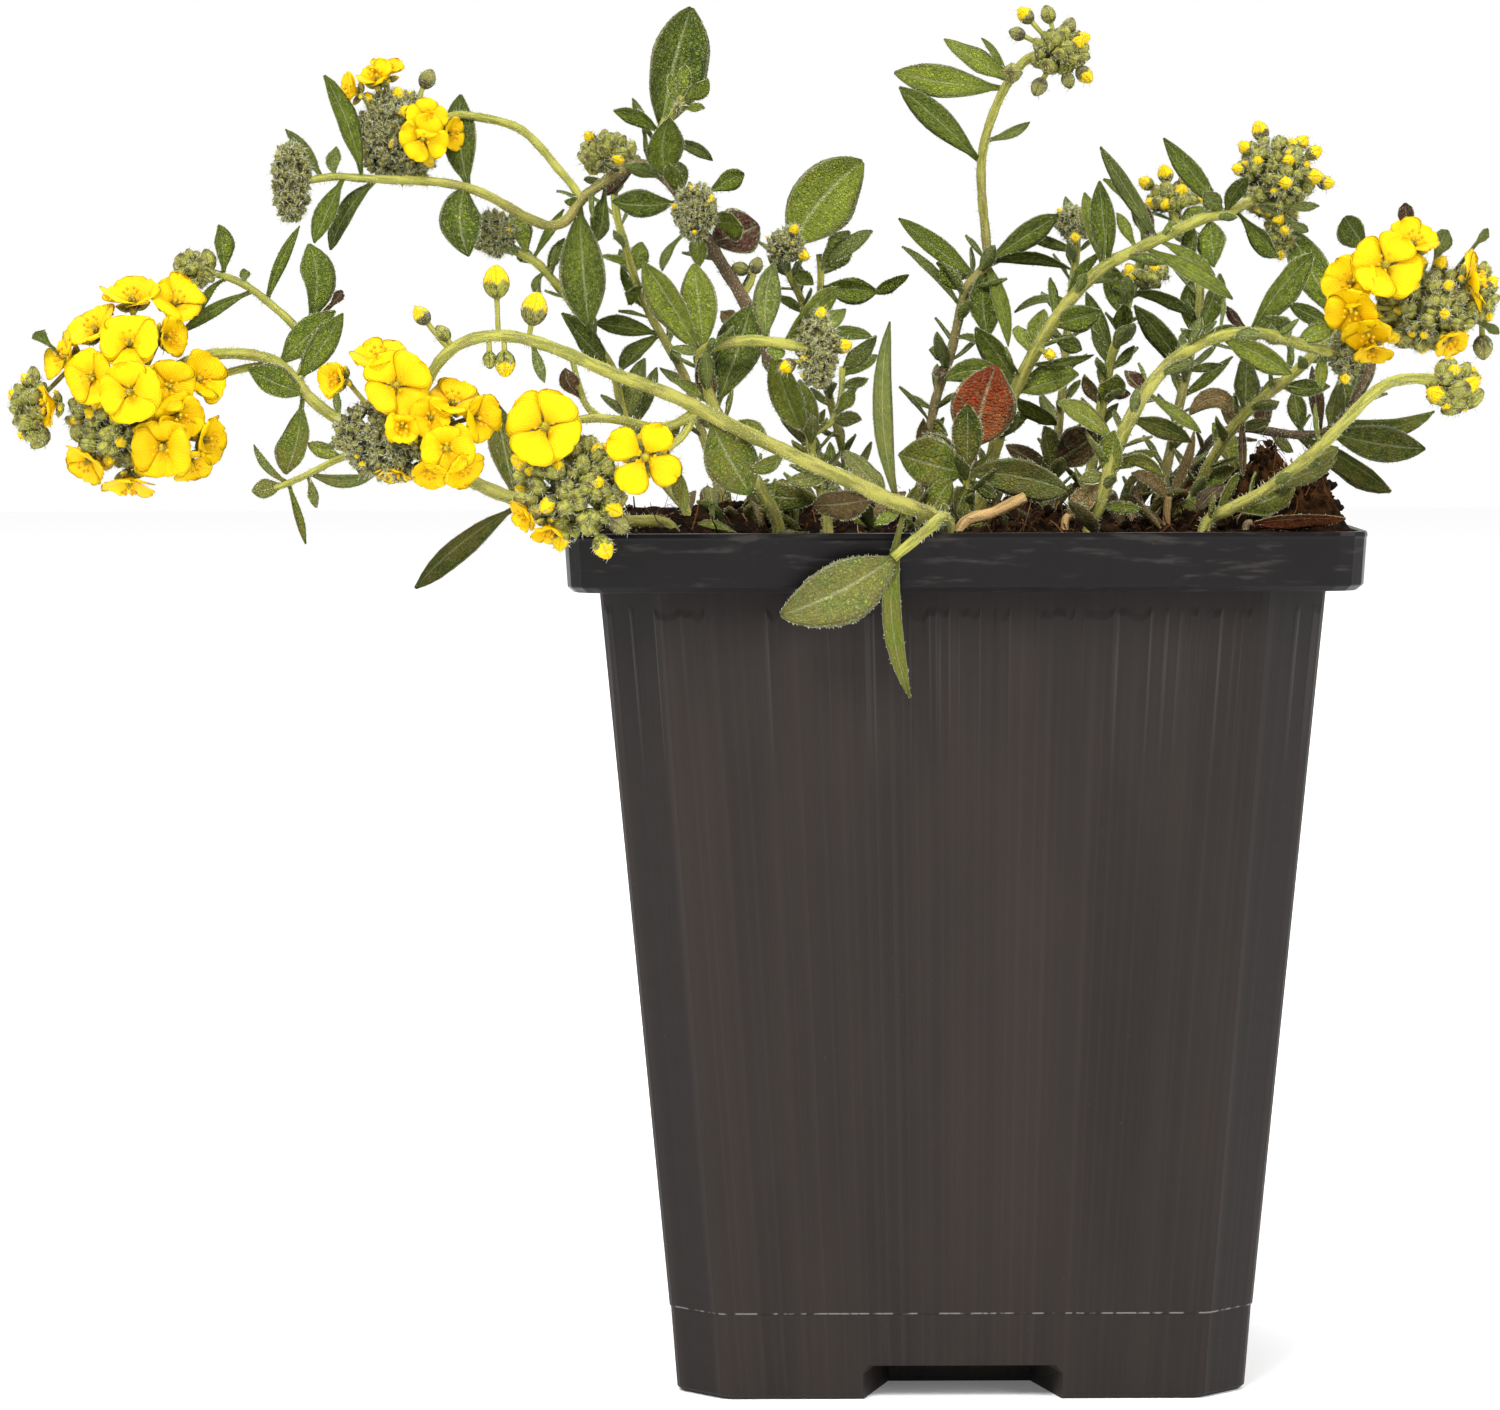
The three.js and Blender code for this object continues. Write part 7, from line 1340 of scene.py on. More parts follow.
def grow_leaves(growth, name, seed):
    """Every leaf of a node, turned and placed as in the solids, with star hairs on its face and margins."""
    rng = chance(seed)
    rows = [(n, row) for n, row in enumerate(LEAVES) if row[0] == name]
    for broad in (False, True):
        chosen = [(n, row) for n, row in rows if (row[5] > WIDE_LEAF) == broad]
        if not chosen:
            continue
        joints = np.array([nearest_on_stems(name, row[1], row[2]) for _, row in chosen])
        bx, bz, tx, tz, width, bow, nearer, tone = np.array([row[1:9] for _, row in chosen], float).T
        depth = joints[:, 2]
        root = real(joints[:, 0], joints[:, 1], depth)
        tip = real(tx, tz, depth + nearer)
        length = np.hypot(tx - bx, tz - bz)
        middle = real((bx + tx) / 2 - (tz - bz) / length * bow * 2,
                      (bz + tz) / 2 + (tx - bx) / length * bow * 2,
                      depth + nearer * 0.35)
        twist = np.radians([(BROAD_TWIST if row[5] > BROAD_LEAF else LEAF_TWIST)
                            * (2 * lehmer(TWIST_SEED + n * TWIST_STEP) - 1) for n, row in chosen])
        axis = unit(tip - root)
        face = unit(EYE - real(bx, bz, depth))
        c, s = np.cos(twist)[:, None], np.sin(twist)[:, None]
        face = face * c + np.cross(axis, face) * s + axis * (axis * face).sum(-1, keepdims=True) * (1 - c)
        wide = width * (depth - EYE[1]) / (SEEN_DEPTH - EYE[1]) / np.cos(twist)
        stalk = joints[:, 3] / (joints[:, 3] + length)
        counts = (9, 14) if broad else (7, 10)
        write_leaves(growth, (root, middle, tip), wide, face, stalk, tone, counts, 140 if broad else 60, rng)


def write_leaves(growth, spine, wide, face, stalk, tone, counts, each, rng):
    """Adds a batch of blades and the hairs of their margins and faces."""
    root, middle, tip = spine
    points, place = leaf_rings(root, middle, tip, wide, face, stalk, *counts, rng)
    length = np.linalg.norm(tip - root, axis=-1)
    kind = np.stack([tone / 7 + 0.02, rng.uniform(0, 1, len(root)), length], axis=-1)
    growth.add(points, "leaf skin", place, kind)
    items, stations, around = points.shape[:3]
    which = np.repeat(np.arange(items), each)
    along = rng.integers(1, stations, len(which))
    edge = np.where(rng.uniform(size=len(which)) < 0.7,
                    rng.choice([0, counts[0] - 1], len(which)), rng.integers(0, around, len(which)))
    spot = points[which, along, edge]
    centre = points[which, along].mean(1)
    spot = mixed(spot, points[which, along - 1, edge], rng.uniform(0, 1, (len(which), 1)))
    out = (unit(spot - centre) + face[which] * rng.normal(0, 0.45, (len(which), 1))
           + rng.normal(0, 0.3, spot.shape))
    growth.add_spikes(spot, spot + unit(out) * HAIR_LENGTH * rng.uniform(0.25, 0.6, (len(which), 1)),
                      HAIR_RADIUS, "felt hair", (0, 0, 0))


def grow_small_leaves(growth, name, seed):
    """Small leaves all round a shoot's main stem, each a golden angle on from the last."""
    if name not in SMALL_LEAVES:
        return
    count, low, high, tones = SMALL_LEAVES[name]
    rng = chance(seed + SMALL_LEAF_SEED)
    spots = np.asarray(next(row[3] for row in ROUTES if row[0] == name), float)
    path = smooth_path(real(*spots.T), PATH_STEP)
    share = np.linspace(low, high, count) + rng.uniform(-0.3, 0.3, count) * (high - low) / count
    at = share * (len(path) - 1)
    root, along = spot_on(path, np.arange(len(path)), at, 1)
    first = unit(np.cross(along, np.array([0.3, 1.0, 0.2])))
    second = np.cross(along, first)
    turn = (np.arange(count) * GOLDEN_ANGLE + rng.uniform(0, 6.28))[:, None]
    out = np.cos(turn) * first + np.sin(turn) * second
    away = unit(out * rng.uniform(0.7, 1.2, (count, 1)) + along * 0.65 + np.array([0, 0, 0.25]))
    long = rng.uniform(3.2, 6.6, count) * (1.05 - 0.3 * share)
    tip = root + away * long[:, None]
    tip[:, 2] = np.maximum(tip[:, 2], SOIL_LEVEL + 1.0)
    face = unit(along - away * (along * away).sum(-1, keepdims=True) + 1e-6)
    middle = (root + tip) / 2 + face * (rng.uniform(-0.14, 0.1, count) * long)[:, None]
    tone = rng.choice(tones, count).astype(float)
    write_leaves(growth, (root, middle, tip), long * rng.uniform(0.3, 0.42, count), face,
                 np.full(count, 0.06), tone, (5, 8), 24, rng)


def grow_buds(growth, foot, tip, width, yellow, hue, rng, each=16, blunt=0.8, stations=BUD_STATIONS, sides=8):
    rings, place = bud_rings(foot, tip, width, blunt, stations, sides)
    kind = np.stack([yellow, hue, np.linalg.norm(tip - foot, axis=-1)], axis=-1)
    growth.add(rings, "bud skin", place, kind)
    roots, tips = bud_hairs(foot, tip, width, each, BUD_HAIR_LENGTH, rng)
    growth.add_spikes(roots, tips, HAIR_RADIUS, "felt hair", (0, 0, 0))


def grow_stalk(growth, start, end, radius, sag, tone=0.03):
    """A short stalk bent outwards in the middle by a share of its length."""
    t = np.linspace(0, 1, 6)[:, None]
    reach = np.linalg.norm(end - start)
    path = mixed(start, end, t) + np.array([0, 0, -1.0]) * sag * reach * (t - t ** 2) * 2
    rings, place, length = stem_rings(path, radius, radius * 1.15, 6, (tone, tone))
    growth.add(rings, "stem skin", place, (0, 0.4, length))


def grow_heads(growth, name, seed, yellow_share):
    """Dense heads: small buds packed on a golden spiral over a bumpy ellipsoid that a dark core fills."""
    for n, (_, (x, z, y), (rx, rz, ry), count, size) in enumerate(row for row in HEADS if row[0] == name):
        if not count:
            continue
        rng = chance(seed + HEAD_SEED + n)
        at = real(x, z, y)
        k = seen_scale(y)
        half = np.array([rx * k, ry, rz * k])
        olive = name in OLIVE_HEADS
        bud = size * (0.92 if rx > 3 else 1.25) if olive else max(1.2, size * 0.62)
        a, b, c = half + 0.3 * bud
        area = 4 * np.pi * (((a * b) ** 1.6 + (a * c) ** 1.6 + (b * c) ** 1.6) / 3) ** 0.625
        total = int(area / ((0.72 if olive else 0.66) * bud) ** 2)
        order = np.arange(total)
        up = 1 - 2 * (order + 0.5) / total
        turn = order * GOLDEN_ANGLE + rng.uniform(0, 6.28)
        flat = np.sqrt(1 - up ** 2)
        out = unit(np.stack([flat * np.cos(turn), flat * np.sin(turn), up], axis=-1)
                   + rng.normal(0, 0.07, (total, 3)))
        lumps = unit(rng.normal(size=(9, 3)))
        near = np.max(out @ lumps.T, axis=1)
        swell = 0.84 + 0.2 * np.clip((near - 0.6) / 0.4, 0, 1) + rng.uniform(-0.05, 0.09, total)
        long = bud * rng.uniform(0.8, 1.2, total)
        tip = at + out * half * swell[:, None] + out * (0.45 * long)[:, None]
        lean = unit(out * 1.2 + 0.35 * UP + rng.normal(0, 0.3, (total, 3)))
        foot = tip - lean * long[:, None]
        yellow = (rng.uniform(size=total) < yellow_share) * rng.uniform(0.3, 1.0, total)
        hue = rng.uniform(0.55, 1, total) if olive else rng.uniform(0, 0.5, total)
        width, hairs, blunt, stations = OLIVE_BUD if olive else GREY_BUD
        grow_buds(growth, foot, tip, long * width, yellow, hue, rng, hairs, blunt, stations, PACKED_SIDES)
        tall = np.array([0, 0, half[2] * 0.85])
        core = np.array([1.55 * min(half[0], half[1])])
        rings, place = bud_rings((at - tall)[None], (at + tall)[None], core, 0.6)
        growth.add(rings, "bud skin", place, (0, 0.3, 2))
        if name in {row[0] for row in ROUTES}:
            joint = nearest_on_stems(name, x, z)
            if joint[3] > 0.5:
                grow_stalk(growth, real(*joint[:3]), at, 0.5, 0.0)


def grow_single_buds(growth, name, seed):
    """Buds placed one by one; those away from a head stand on a stalk of their own."""
    rng = chance(seed + BUD_SEED)
    rows = [row for row in BUDS if row[0] == name]
    if not rows:
        return
    joint = np.array([bud_joint(name, row[1]) for row in rows])
    at = np.array([real(*row[1]) for row in rows])
    size = np.array([row[2] for row in rows])
    out = unit(at - joint)
    foot, tip = at - out * size[:, None] * 0.5, at + out * size[:, None] * 0.52
    yellow = np.array([row[3] for row in rows], float)
    grow_buds(growth, foot, tip, size * 0.74, yellow, rng.uniform(0, 1, len(rows)), rng, 30, 0.6)
    for start, end in zip(joint, foot + out * 0.2):
        grow_stalk(growth, start, end, 0.3, 0.08)


def grow_flowers(growth, name, seed):
    """Open flowers: four petals, four sepals, six stamens and a pistil on a stalk."""
    rng = chance(seed + FLOWER_SEED)
    rows = [row for row in FLOWERS if row[0] == name]
    if not rows:
        return
    turn, tilt, cup = (np.radians([row[n] for row in rows]) for n in (3, 4, 5))
    facing = np.stack([np.sin(turn) * np.cos(tilt), -np.cos(turn) * np.cos(tilt), np.sin(tilt)], axis=-1)
    depth = np.array([row[1][2] for row in rows])
    reach = np.array([row[2] / 2 for row in rows]) * (depth - EYE[1]) / (SEEN_DEPTH - EYE[1]) * 1.04
    heart = np.array([real(*row[1]) for row in rows]) - 0.6 * facing
    spin = np.array([lehmer(SPIN_SEED + n * SPIN_STEP) for n in range(len(rows))]) * 1.5
    points, place = petal_rings(heart, facing, reach, cup, spin, PETAL_WIDTHS.get(name, USUAL_PETAL), rng)
    kind = np.stack([np.zeros(len(points)), rng.uniform(0, 1, len(points)), np.repeat(reach, 4)], axis=-1)
    growth.add(points, "petal skin", place, kind)

    def round_heart(count, offset):
        angle = spin[:, None] + offset + np.arange(count) * 2 * np.pi / count
        return circle(angle, *square_pair(facing, FLOWER_STEEP))

    sepal = round_heart(4, np.pi / 4)
    near = heart[:, None] - facing[:, None] * 0.5
    foot = np.broadcast_to(near, sepal.shape).reshape(-1, 3)
    long = reach[:, None, None]
    tip = near + sepal * long * 0.62 + facing[:, None] * long * np.sin(cup)[:, None, None] * 0.45
    tip = tip.reshape(-1, 3)
    grow_buds(growth, foot, tip, np.repeat(reach, 4) * 0.3, np.full(len(foot), 0.25),
              rng.uniform(0.3, 1, len(foot)), rng, 5)
    stamen = unit(round_heart(6, 0.3) * 0.42 + facing[:, None])
    top = (heart[:, None] + stamen * long * 0.62).reshape(-1, 3)
    base = np.repeat(heart, 6, axis=0)
    growth.add_spikes(base, top, 0.09, "petal skin", (0, 0.4, 1))
    away = np.repeat(facing, 6, axis=0)
    rings, place = bud_rings(top - away * 0.2, top + away * 0.34, np.full(len(top), 0.42))
    growth.add(rings, "petal skin", place, (0.32, 0.2, 1))
    rings, place = bud_rings(heart - facing * 0.1, heart + facing * reach[:, None] * 0.5, reach * 0.26)
    growth.add(rings, "bud skin", place, (0.2, 0.9, 1))
    for row, end in zip(rows, heart - facing * 0.35):
        start = bud_joint(name, row[1])
        grow_stalk(growth, start, end, 0.28, 0.06)


# Share of the buds that show yellow, for the heads of a node
USUAL_YELLOW = 0.04
YELLOW_SHARES = {"head_a": 0.25, "head_b": 0.06, "head_c": 0.14, "head_d": 0.04, "head_e": 0.14,
                 "head_n": 0.6, "shoot_l": 0.2, "shoot_k": 0.12, "shoot_p": 0.3, "shoot_o": 0.3}
OLIVE_HEADS = ("head_a", "head_c", "head_e", "head_n", "shoot_a", "shoot_g", "shoot_k", "shoot_l", "shoot_o",
               "shoot_p")
# Buds packed into a head: width as a share of the length, hairs, bluntness and places of the rings
OLIVE_BUD = (0.76, 20, 0.6, OLIVE_BUD_STATIONS)
GREY_BUD = (0.62, 9, 0.7, SMALL_BUD_STATIONS)
PACKED_SIDES = 6
# Half widths of the petals as shares of their length
USUAL_PETAL = 0.58
PETAL_WIDTHS = {"head_a": 0.8, "head_b": 0.72, "head_c": 0.66, "head_c2": 0.46, "head_e": 0.7}


def grow(name, seed, hairy=True):
    growth = Growth(PLANT_FINISHES)
    grow_stems(growth, name, seed, hairy)
    grow_leaves(growth, name, seed)
    grow_small_leaves(growth, name, seed)
    grow_heads(growth, name, seed, YELLOW_SHARES.get(name, USUAL_YELLOW))
    grow_single_buds(growth, name, seed)
    grow_flowers(growth, name, seed)
    return growth.make(name + "_grown", name)


def grow_all(slots, seed, hairy=True):
    """Grows each node named in slots, each node from a seed of its own."""
    for n, (name, slot) in enumerate(slots.items()):
        grow(name, seed + n * SEED_STEP, hairy)


def grow_low_leaves():
    """Small green, brown and dry leaves that rise from the peat between the shoots and arch outwards."""
    rng = chance(LOW_LEAF_SEED)
    count = LOW_LEAVES
    x, y = rng.uniform(-32, 38, count), rng.uniform(-39, 30, count)
    root = np.stack([x, y, peat_height(x, y) - 0.4], axis=-1)
    turn, rise = rng.uniform(0, 2 * np.pi, count), rng.uniform(0.3, 1.2, count)
    away = np.stack([np.cos(turn) * np.cos(rise), np.sin(turn) * np.cos(rise), np.sin(rise)], axis=-1)
    long = rng.uniform(4, 8.5, count)
    tip = root + away * long[:, None]
    reach = SOIL_HALF - 1.5
    tip[:, :2] = tip[:, :2].clip(-reach, reach)
    middle = mixed(root, tip, 0.5) + UP * (rng.uniform(0.05, 0.3, count) * long)[:, None]
    face = unit(UP - away * away[:, 2:] + rng.normal(0, 0.35, (count, 3)))
    fresh = rng.choice([GREEN, DARK, GREY, PALE], count)
    old = rng.choice([PURPLE, PURPLE, DRY], count)
    tone = np.where(rng.uniform(size=count) < 0.25 + 0.35 * (x > 0), old, fresh).astype(float)
    growth = Growth(PLANT_FINISHES)
    wide = long * rng.uniform(0.3, 0.5, count)
    write_leaves(growth, (root, middle, tip), wide, face, np.full(count, 0.1), tone, (5, 8), 18, rng)
    growth.make("low_leaves", None)


# The peat


NOISE_CELLS = 128
WALL_FALL = 3.5
# Folds of the peat. Each row: size, height and seed.
PEAT_FOLDS = [(4.3, 0.7, 3), (2.1, 0.55, 5), (1.05, 0.35, 8), (0.62, 0.2, 13)]
PEAT_CORNER = 2.5
# The sides of the peat on their way down. Each row: height, half width and radius of the corners.
PEAT_SIDES = [(95.1, SOIL_HALF, PEAT_CORNER), (94.8, SOIL_HALF - 0.8, PEAT_CORNER), (94.6, 39.9, 12.6),
              (5.7, 31.9, 9.2)]


def lattice_noise(x, y, cell, seed):
    """Smooth noise: random heights on a grid of cells, blended by the curve 3t^2 - 2t^3."""
    grid = chance(seed).uniform(-1, 1, (NOISE_CELLS, NOISE_CELLS))
    gx, gy = x / cell + NOISE_CELLS // 2, y / cell + NOISE_CELLS // 2
    ix, iy = np.floor(gx).astype(int), np.floor(gy).astype(int)
    tx, ty = gx - ix, gy - iy
    tx, ty = tx * tx * (3 - 2 * tx), ty * ty * (3 - 2 * ty)
    ix, iy = ix % NOISE_CELLS, iy % NOISE_CELLS
    jx, jy = (ix + 1) % NOISE_CELLS, (iy + 1) % NOISE_CELLS
    return mixed(mixed(grid[ix, iy], grid[jx, iy], tx), mixed(grid[ix, jy], grid[jx, jy], tx), ty)


def peat_height(x, y):
    """Level peat with broad waves, the lumps as bells that fall off at the walls, and crumbs as folded noise
    of four sizes, coarser on the lumps."""
    z = SOIL_LEVEL + 0.45 * np.sin(x * 0.55 + 1.3) * np.sin(y * 0.48 + 0.4)
    z += 0.3 * np.sin(x * 1.21 + y * 0.83) + 0.25 * np.sin(x * 0.77 - y * 1.37 + 2)
    heap = 0.0
    for lx, ly, high, radius in LUMPS:
        bell = np.exp(-1.3 * ((x - lx) ** 2 + (y - ly) ** 2) / radius ** 2) * 0.92
        z += high * bell
        heap = np.maximum(heap, bell * np.minimum(high / 4, 1))
    for cell, high, seed in PEAT_FOLDS:
        z += high * (np.abs(lattice_noise(x, y, cell, seed)) * 2 - 0.8) * (1 + 0.9 * heap)
    inward = np.clip((SOIL_HALF - np.maximum(np.abs(x), np.abs(y))) / WALL_FALL, 0, 1)
    return np.where(z > RIM_TOP, mixed(RIM_TOP, z, inward * (2 - inward)), z)


# Colours and sizes that a user would change


def colour(name, words, default):
    return bpy.props.FloatVectorProperty(name=name, description=words, subtype="COLOR", size=3, min=0, max=1,
                                         default=default)


class PotLook(bpy.types.PropertyGroup):
    """Colours of the pot and the softness of its edges."""

    # Darkest plastic, also the colour of the painted shade over the flutes, on the corner faces and under the
    # rim.
    deep: colour("Deep", "Darkest plastic", (0.007, 0.0055, 0.005))
    wall: colour("Wall", "Main plastic", (0.0225, 0.0168, 0.0145))
    streak: colour("Streak", "Flow streaks", (0.03, 0.023, 0.02))
    # Painted highlight colour: the highlights along the flute edges and the reflection streaks on the rim.
    flute: colour("Flute", "Shiny edges of the flutes under the rim", (0.062, 0.055, 0.05))
    rim: colour("Rim", "Rim band", (0.0038, 0.003, 0.003))
    edge: bpy.props.FloatProperty(name="Edge", description="Width of the rounded edges", default=0.00022,
                                  unit="LENGTH", min=0)


class PeatLook(bpy.types.PropertyGroup):
    """Colours of the peat and how much lies loose on it."""

    dark: colour("Dark", "Moist crumbs", (0.004, 0.0019, 0.0007))
    warm: colour("Warm", "Drier crumbs", (0.028, 0.012, 0.004))
    fibre: colour("Fibre", "Fibres", (0.15, 0.062, 0.02))
    fleck: colour("Fleck", "Pale flecks", (0.22, 0.12, 0.06))
    straw: colour("Straw", "Dry straw", (0.5, 0.33, 0.15))
    crumbs: bpy.props.IntProperty(name="Crumbs", description="Loose crumbs", default=900, min=0)
    fibres: bpy.props.IntProperty(name="Fibres", description="Loose fibres", default=1000, min=0)
    cell: bpy.props.FloatProperty(name="Cell", description="Spacing of the peat's grid", default=0.00062,
                                  unit="LENGTH", min=0.0002)


class StemLook(bpy.types.PropertyGroup):
    """Colours of the stems."""

    pale: colour("Pale", "Green stems", (0.34, 0.33, 0.055))
    brown: colour("Brown", "Brown stems", (0.16, 0.1, 0.055))
    dead: colour("Dead", "Old branches", (0.05, 0.035, 0.024))
    straw: colour("Straw", "Dry stalks", (0.46, 0.28, 0.11))
    shade: colour("Shade", "Streaks", (0.34, 0.38, 0.28))
    felt: colour("Felt", "Hair flecks", (0.5, 0.52, 0.24))


class LeafLook(bpy.types.PropertyGroup):
    """Colours of the leaves."""

    green: colour("Green", "Usual leaves", (0.15, 0.215, 0.018))
    dark: colour("Dark", "Dark leaves", (0.066, 0.105, 0.01))
    pale: colour("Pale", "Pale leaves", (0.28, 0.335, 0.035))
    grey: colour("Grey", "Grey leaves", (0.225, 0.265, 0.075))
    purple: colour("Purple", "Purple leaves", (0.1, 0.03, 0.026))
    red: colour("Red", "Red leaves", (0.42, 0.045, 0.012))
    dry: colour("Dry", "Dry leaves", (0.42, 0.26, 0.11))
    shade: colour("Shade", "Darker patches", (0.34, 0.4, 0.28))
    sun: colour("Sun", "Lighter leaves", (0.35, 0.43, 0.032))
    under: colour("Under", "Lower sides", (0.29, 0.34, 0.11))
    aged: colour("Aged", "Patches on the lowest leaves", (0.21, 0.15, 0.035))
    edge: colour("Edge", "Margins", (0.09, 0.05, 0.018))
    felt: colour("Felt", "Star hairs", (0.66, 0.69, 0.38))


class BloomLook(bpy.types.PropertyGroup):
    """Colours of petals, buds and hairs."""

    full: colour("Full", "Full yellow", (0.68, 0.43, 0.0))
    light: colour("Light", "Light yellow", (0.77, 0.525, 0.0))
    claw: colour("Claw", "Foot of a petal", (0.55, 0.42, 0.01))
    # Vein colour, also the painted shade towards the heart, under the petals and in the folds of the yellow
    # in buds.
    vein: colour("Vein", "Veins and shade", (0.7, 0.38, 0.0))
    spent: colour("Spent", "Anthers and spent petals", (0.62, 0.26, 0.02))
    glow: bpy.props.FloatProperty(name="Glow", description="Light that shows through petals",
                                  default=0.12, min=0)
    grey: colour("Grey", "Grey buds", (0.135, 0.12, 0.06))
    green: colour("Green", "Green buds", (0.29, 0.3, 0.03))
    # Painted shade for the creases between the sepals, and the colour of the dark patches, which are partly
    # painted shadow.
    shade: colour("Shade", "Seams and dark ends", (0.045, 0.036, 0.012))
    dark: colour("Dark", "Ends of the sepals", (0.05, 0.028, 0.016))
    sun: colour("Sun", "Bud shoulders", (0.4, 0.39, 0.08))
    yellow: colour("Yellow", "Petals in the bud", (0.74, 0.53, 0.002))
    felt: colour("Felt", "Bud hairs", (0.5, 0.5, 0.33))
    root: colour("Root", "Foot of a hair", (0.42, 0.45, 0.24))
    brown: colour("Brown", "Foot of a hair on brown stems", (0.4, 0.28, 0.18))
    tip: colour("Tip", "End of a hair", (0.72, 0.74, 0.58))


class StageLook(bpy.types.PropertyGroup):
    """Camera and light."""

    lens: bpy.props.FloatProperty(name="Lens", description="Focal length on a 36 mm sensor", default=129.41,
                                  unit="CAMERA")
    pitch: bpy.props.FloatProperty(name="Pitch", description="How far the camera looks down", default=0.0699,
                                   subtype="ANGLE")
    roll: bpy.props.FloatProperty(name="Roll", description="Turn about the line of sight", default=-0.003,
                                  subtype="ANGLE")
    key: bpy.props.FloatProperty(name="Key", description="Key light", default=36.0, subtype="POWER")
    fill: bpy.props.FloatProperty(name="Fill", description="Fill light", default=13.0, subtype="POWER")
    sky: bpy.props.FloatProperty(name="Sky", description="Brightness of the surroundings", default=1.0)
    dim: bpy.props.FloatProperty(name="Dim", description="Brightness behind the camera", default=0.45)


LOOKS = {"pot": PotLook, "peat": PeatLook, "stem": StemLook, "leaf": LeafLook, "bloom": BloomLook,
         "stage": StageLook}


class AlyssumLook(bpy.types.PropertyGroup):
    """Everything a user would change, by piece."""

    pot: bpy.props.PointerProperty(type=PotLook)
    peat: bpy.props.PointerProperty(type=PeatLook)
    stem: bpy.props.PointerProperty(type=StemLook)
    leaf: bpy.props.PointerProperty(type=LeafLook)
    bloom: bpy.props.PointerProperty(type=BloomLook)
    stage: bpy.props.PointerProperty(type=StageLook)


def look_of(context, group):
    """A group's values by name, with colours as plain tuples."""
    values = getattr(context.scene.alyssum, group)
    names = LOOKS[group].__annotations__
    return {name: (tuple(value) if hasattr(value, "__len__") else value)
            for name, value in ((name, getattr(values, name)) for name in names)}


# Metres, but for the angle in degrees
WELD_DISTANCE = 0.00002
SHARP_ANGLE = 28
FLOOR_HALF = 3
LIGHT_AIM = (0, 0, 0.08)


# Operators, one for each piece or group of like pieces


class ALYSSUM_OT_finishes(bpy.types.Operator):
    """Makes the materials of the plant"""

    bl_idname = "alyssum.finishes"
    bl_label = "Plant finishes"

    def execute(self, context):
        stem_finish(look_of(context, "stem"))
        leaf_finish(look_of(context, "leaf"))
        bloom = look_of(context, "bloom")
        petal_finish(bloom)
        bud_finish(bloom)
        hair_finish(bloom)
        return {"FINISHED"}


class ALYSSUM_OT_pot(bpy.types.Operator):
    """Dresses the square nursery pot: the frame's shell with rounded edges and moulded plastic"""

    bl_idname = "alyssum.pot"
    bl_label = "Nursery pot"

    def execute(self, context):
        look = look_of(context, "pot")
        plastic_finish(look)
        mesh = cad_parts["pot"].data.copy()
        mesh.name = "pot_shell"
        mesh.materials.clear()
        mesh.materials.append(bpy.data.materials["pot plastic"])
        pot = put_in_scene("pot_shell", mesh)
        weld = pot.modifiers.new("Weld", "WELD")
        weld.merge_threshold = WELD_DISTANCE
        bevel = pot.modifiers.new("Rounded edges", "BEVEL")
        bevel.width = look["edge"]
        bevel.segments = 2
        bevel.limit_method = "ANGLE"
        bevel.angle_limit = math.radians(SHARP_ANGLE)
        bevel.use_clamp_overlap = True
        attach(pot, "root")
        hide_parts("pot")
        return {"FINISHED"}


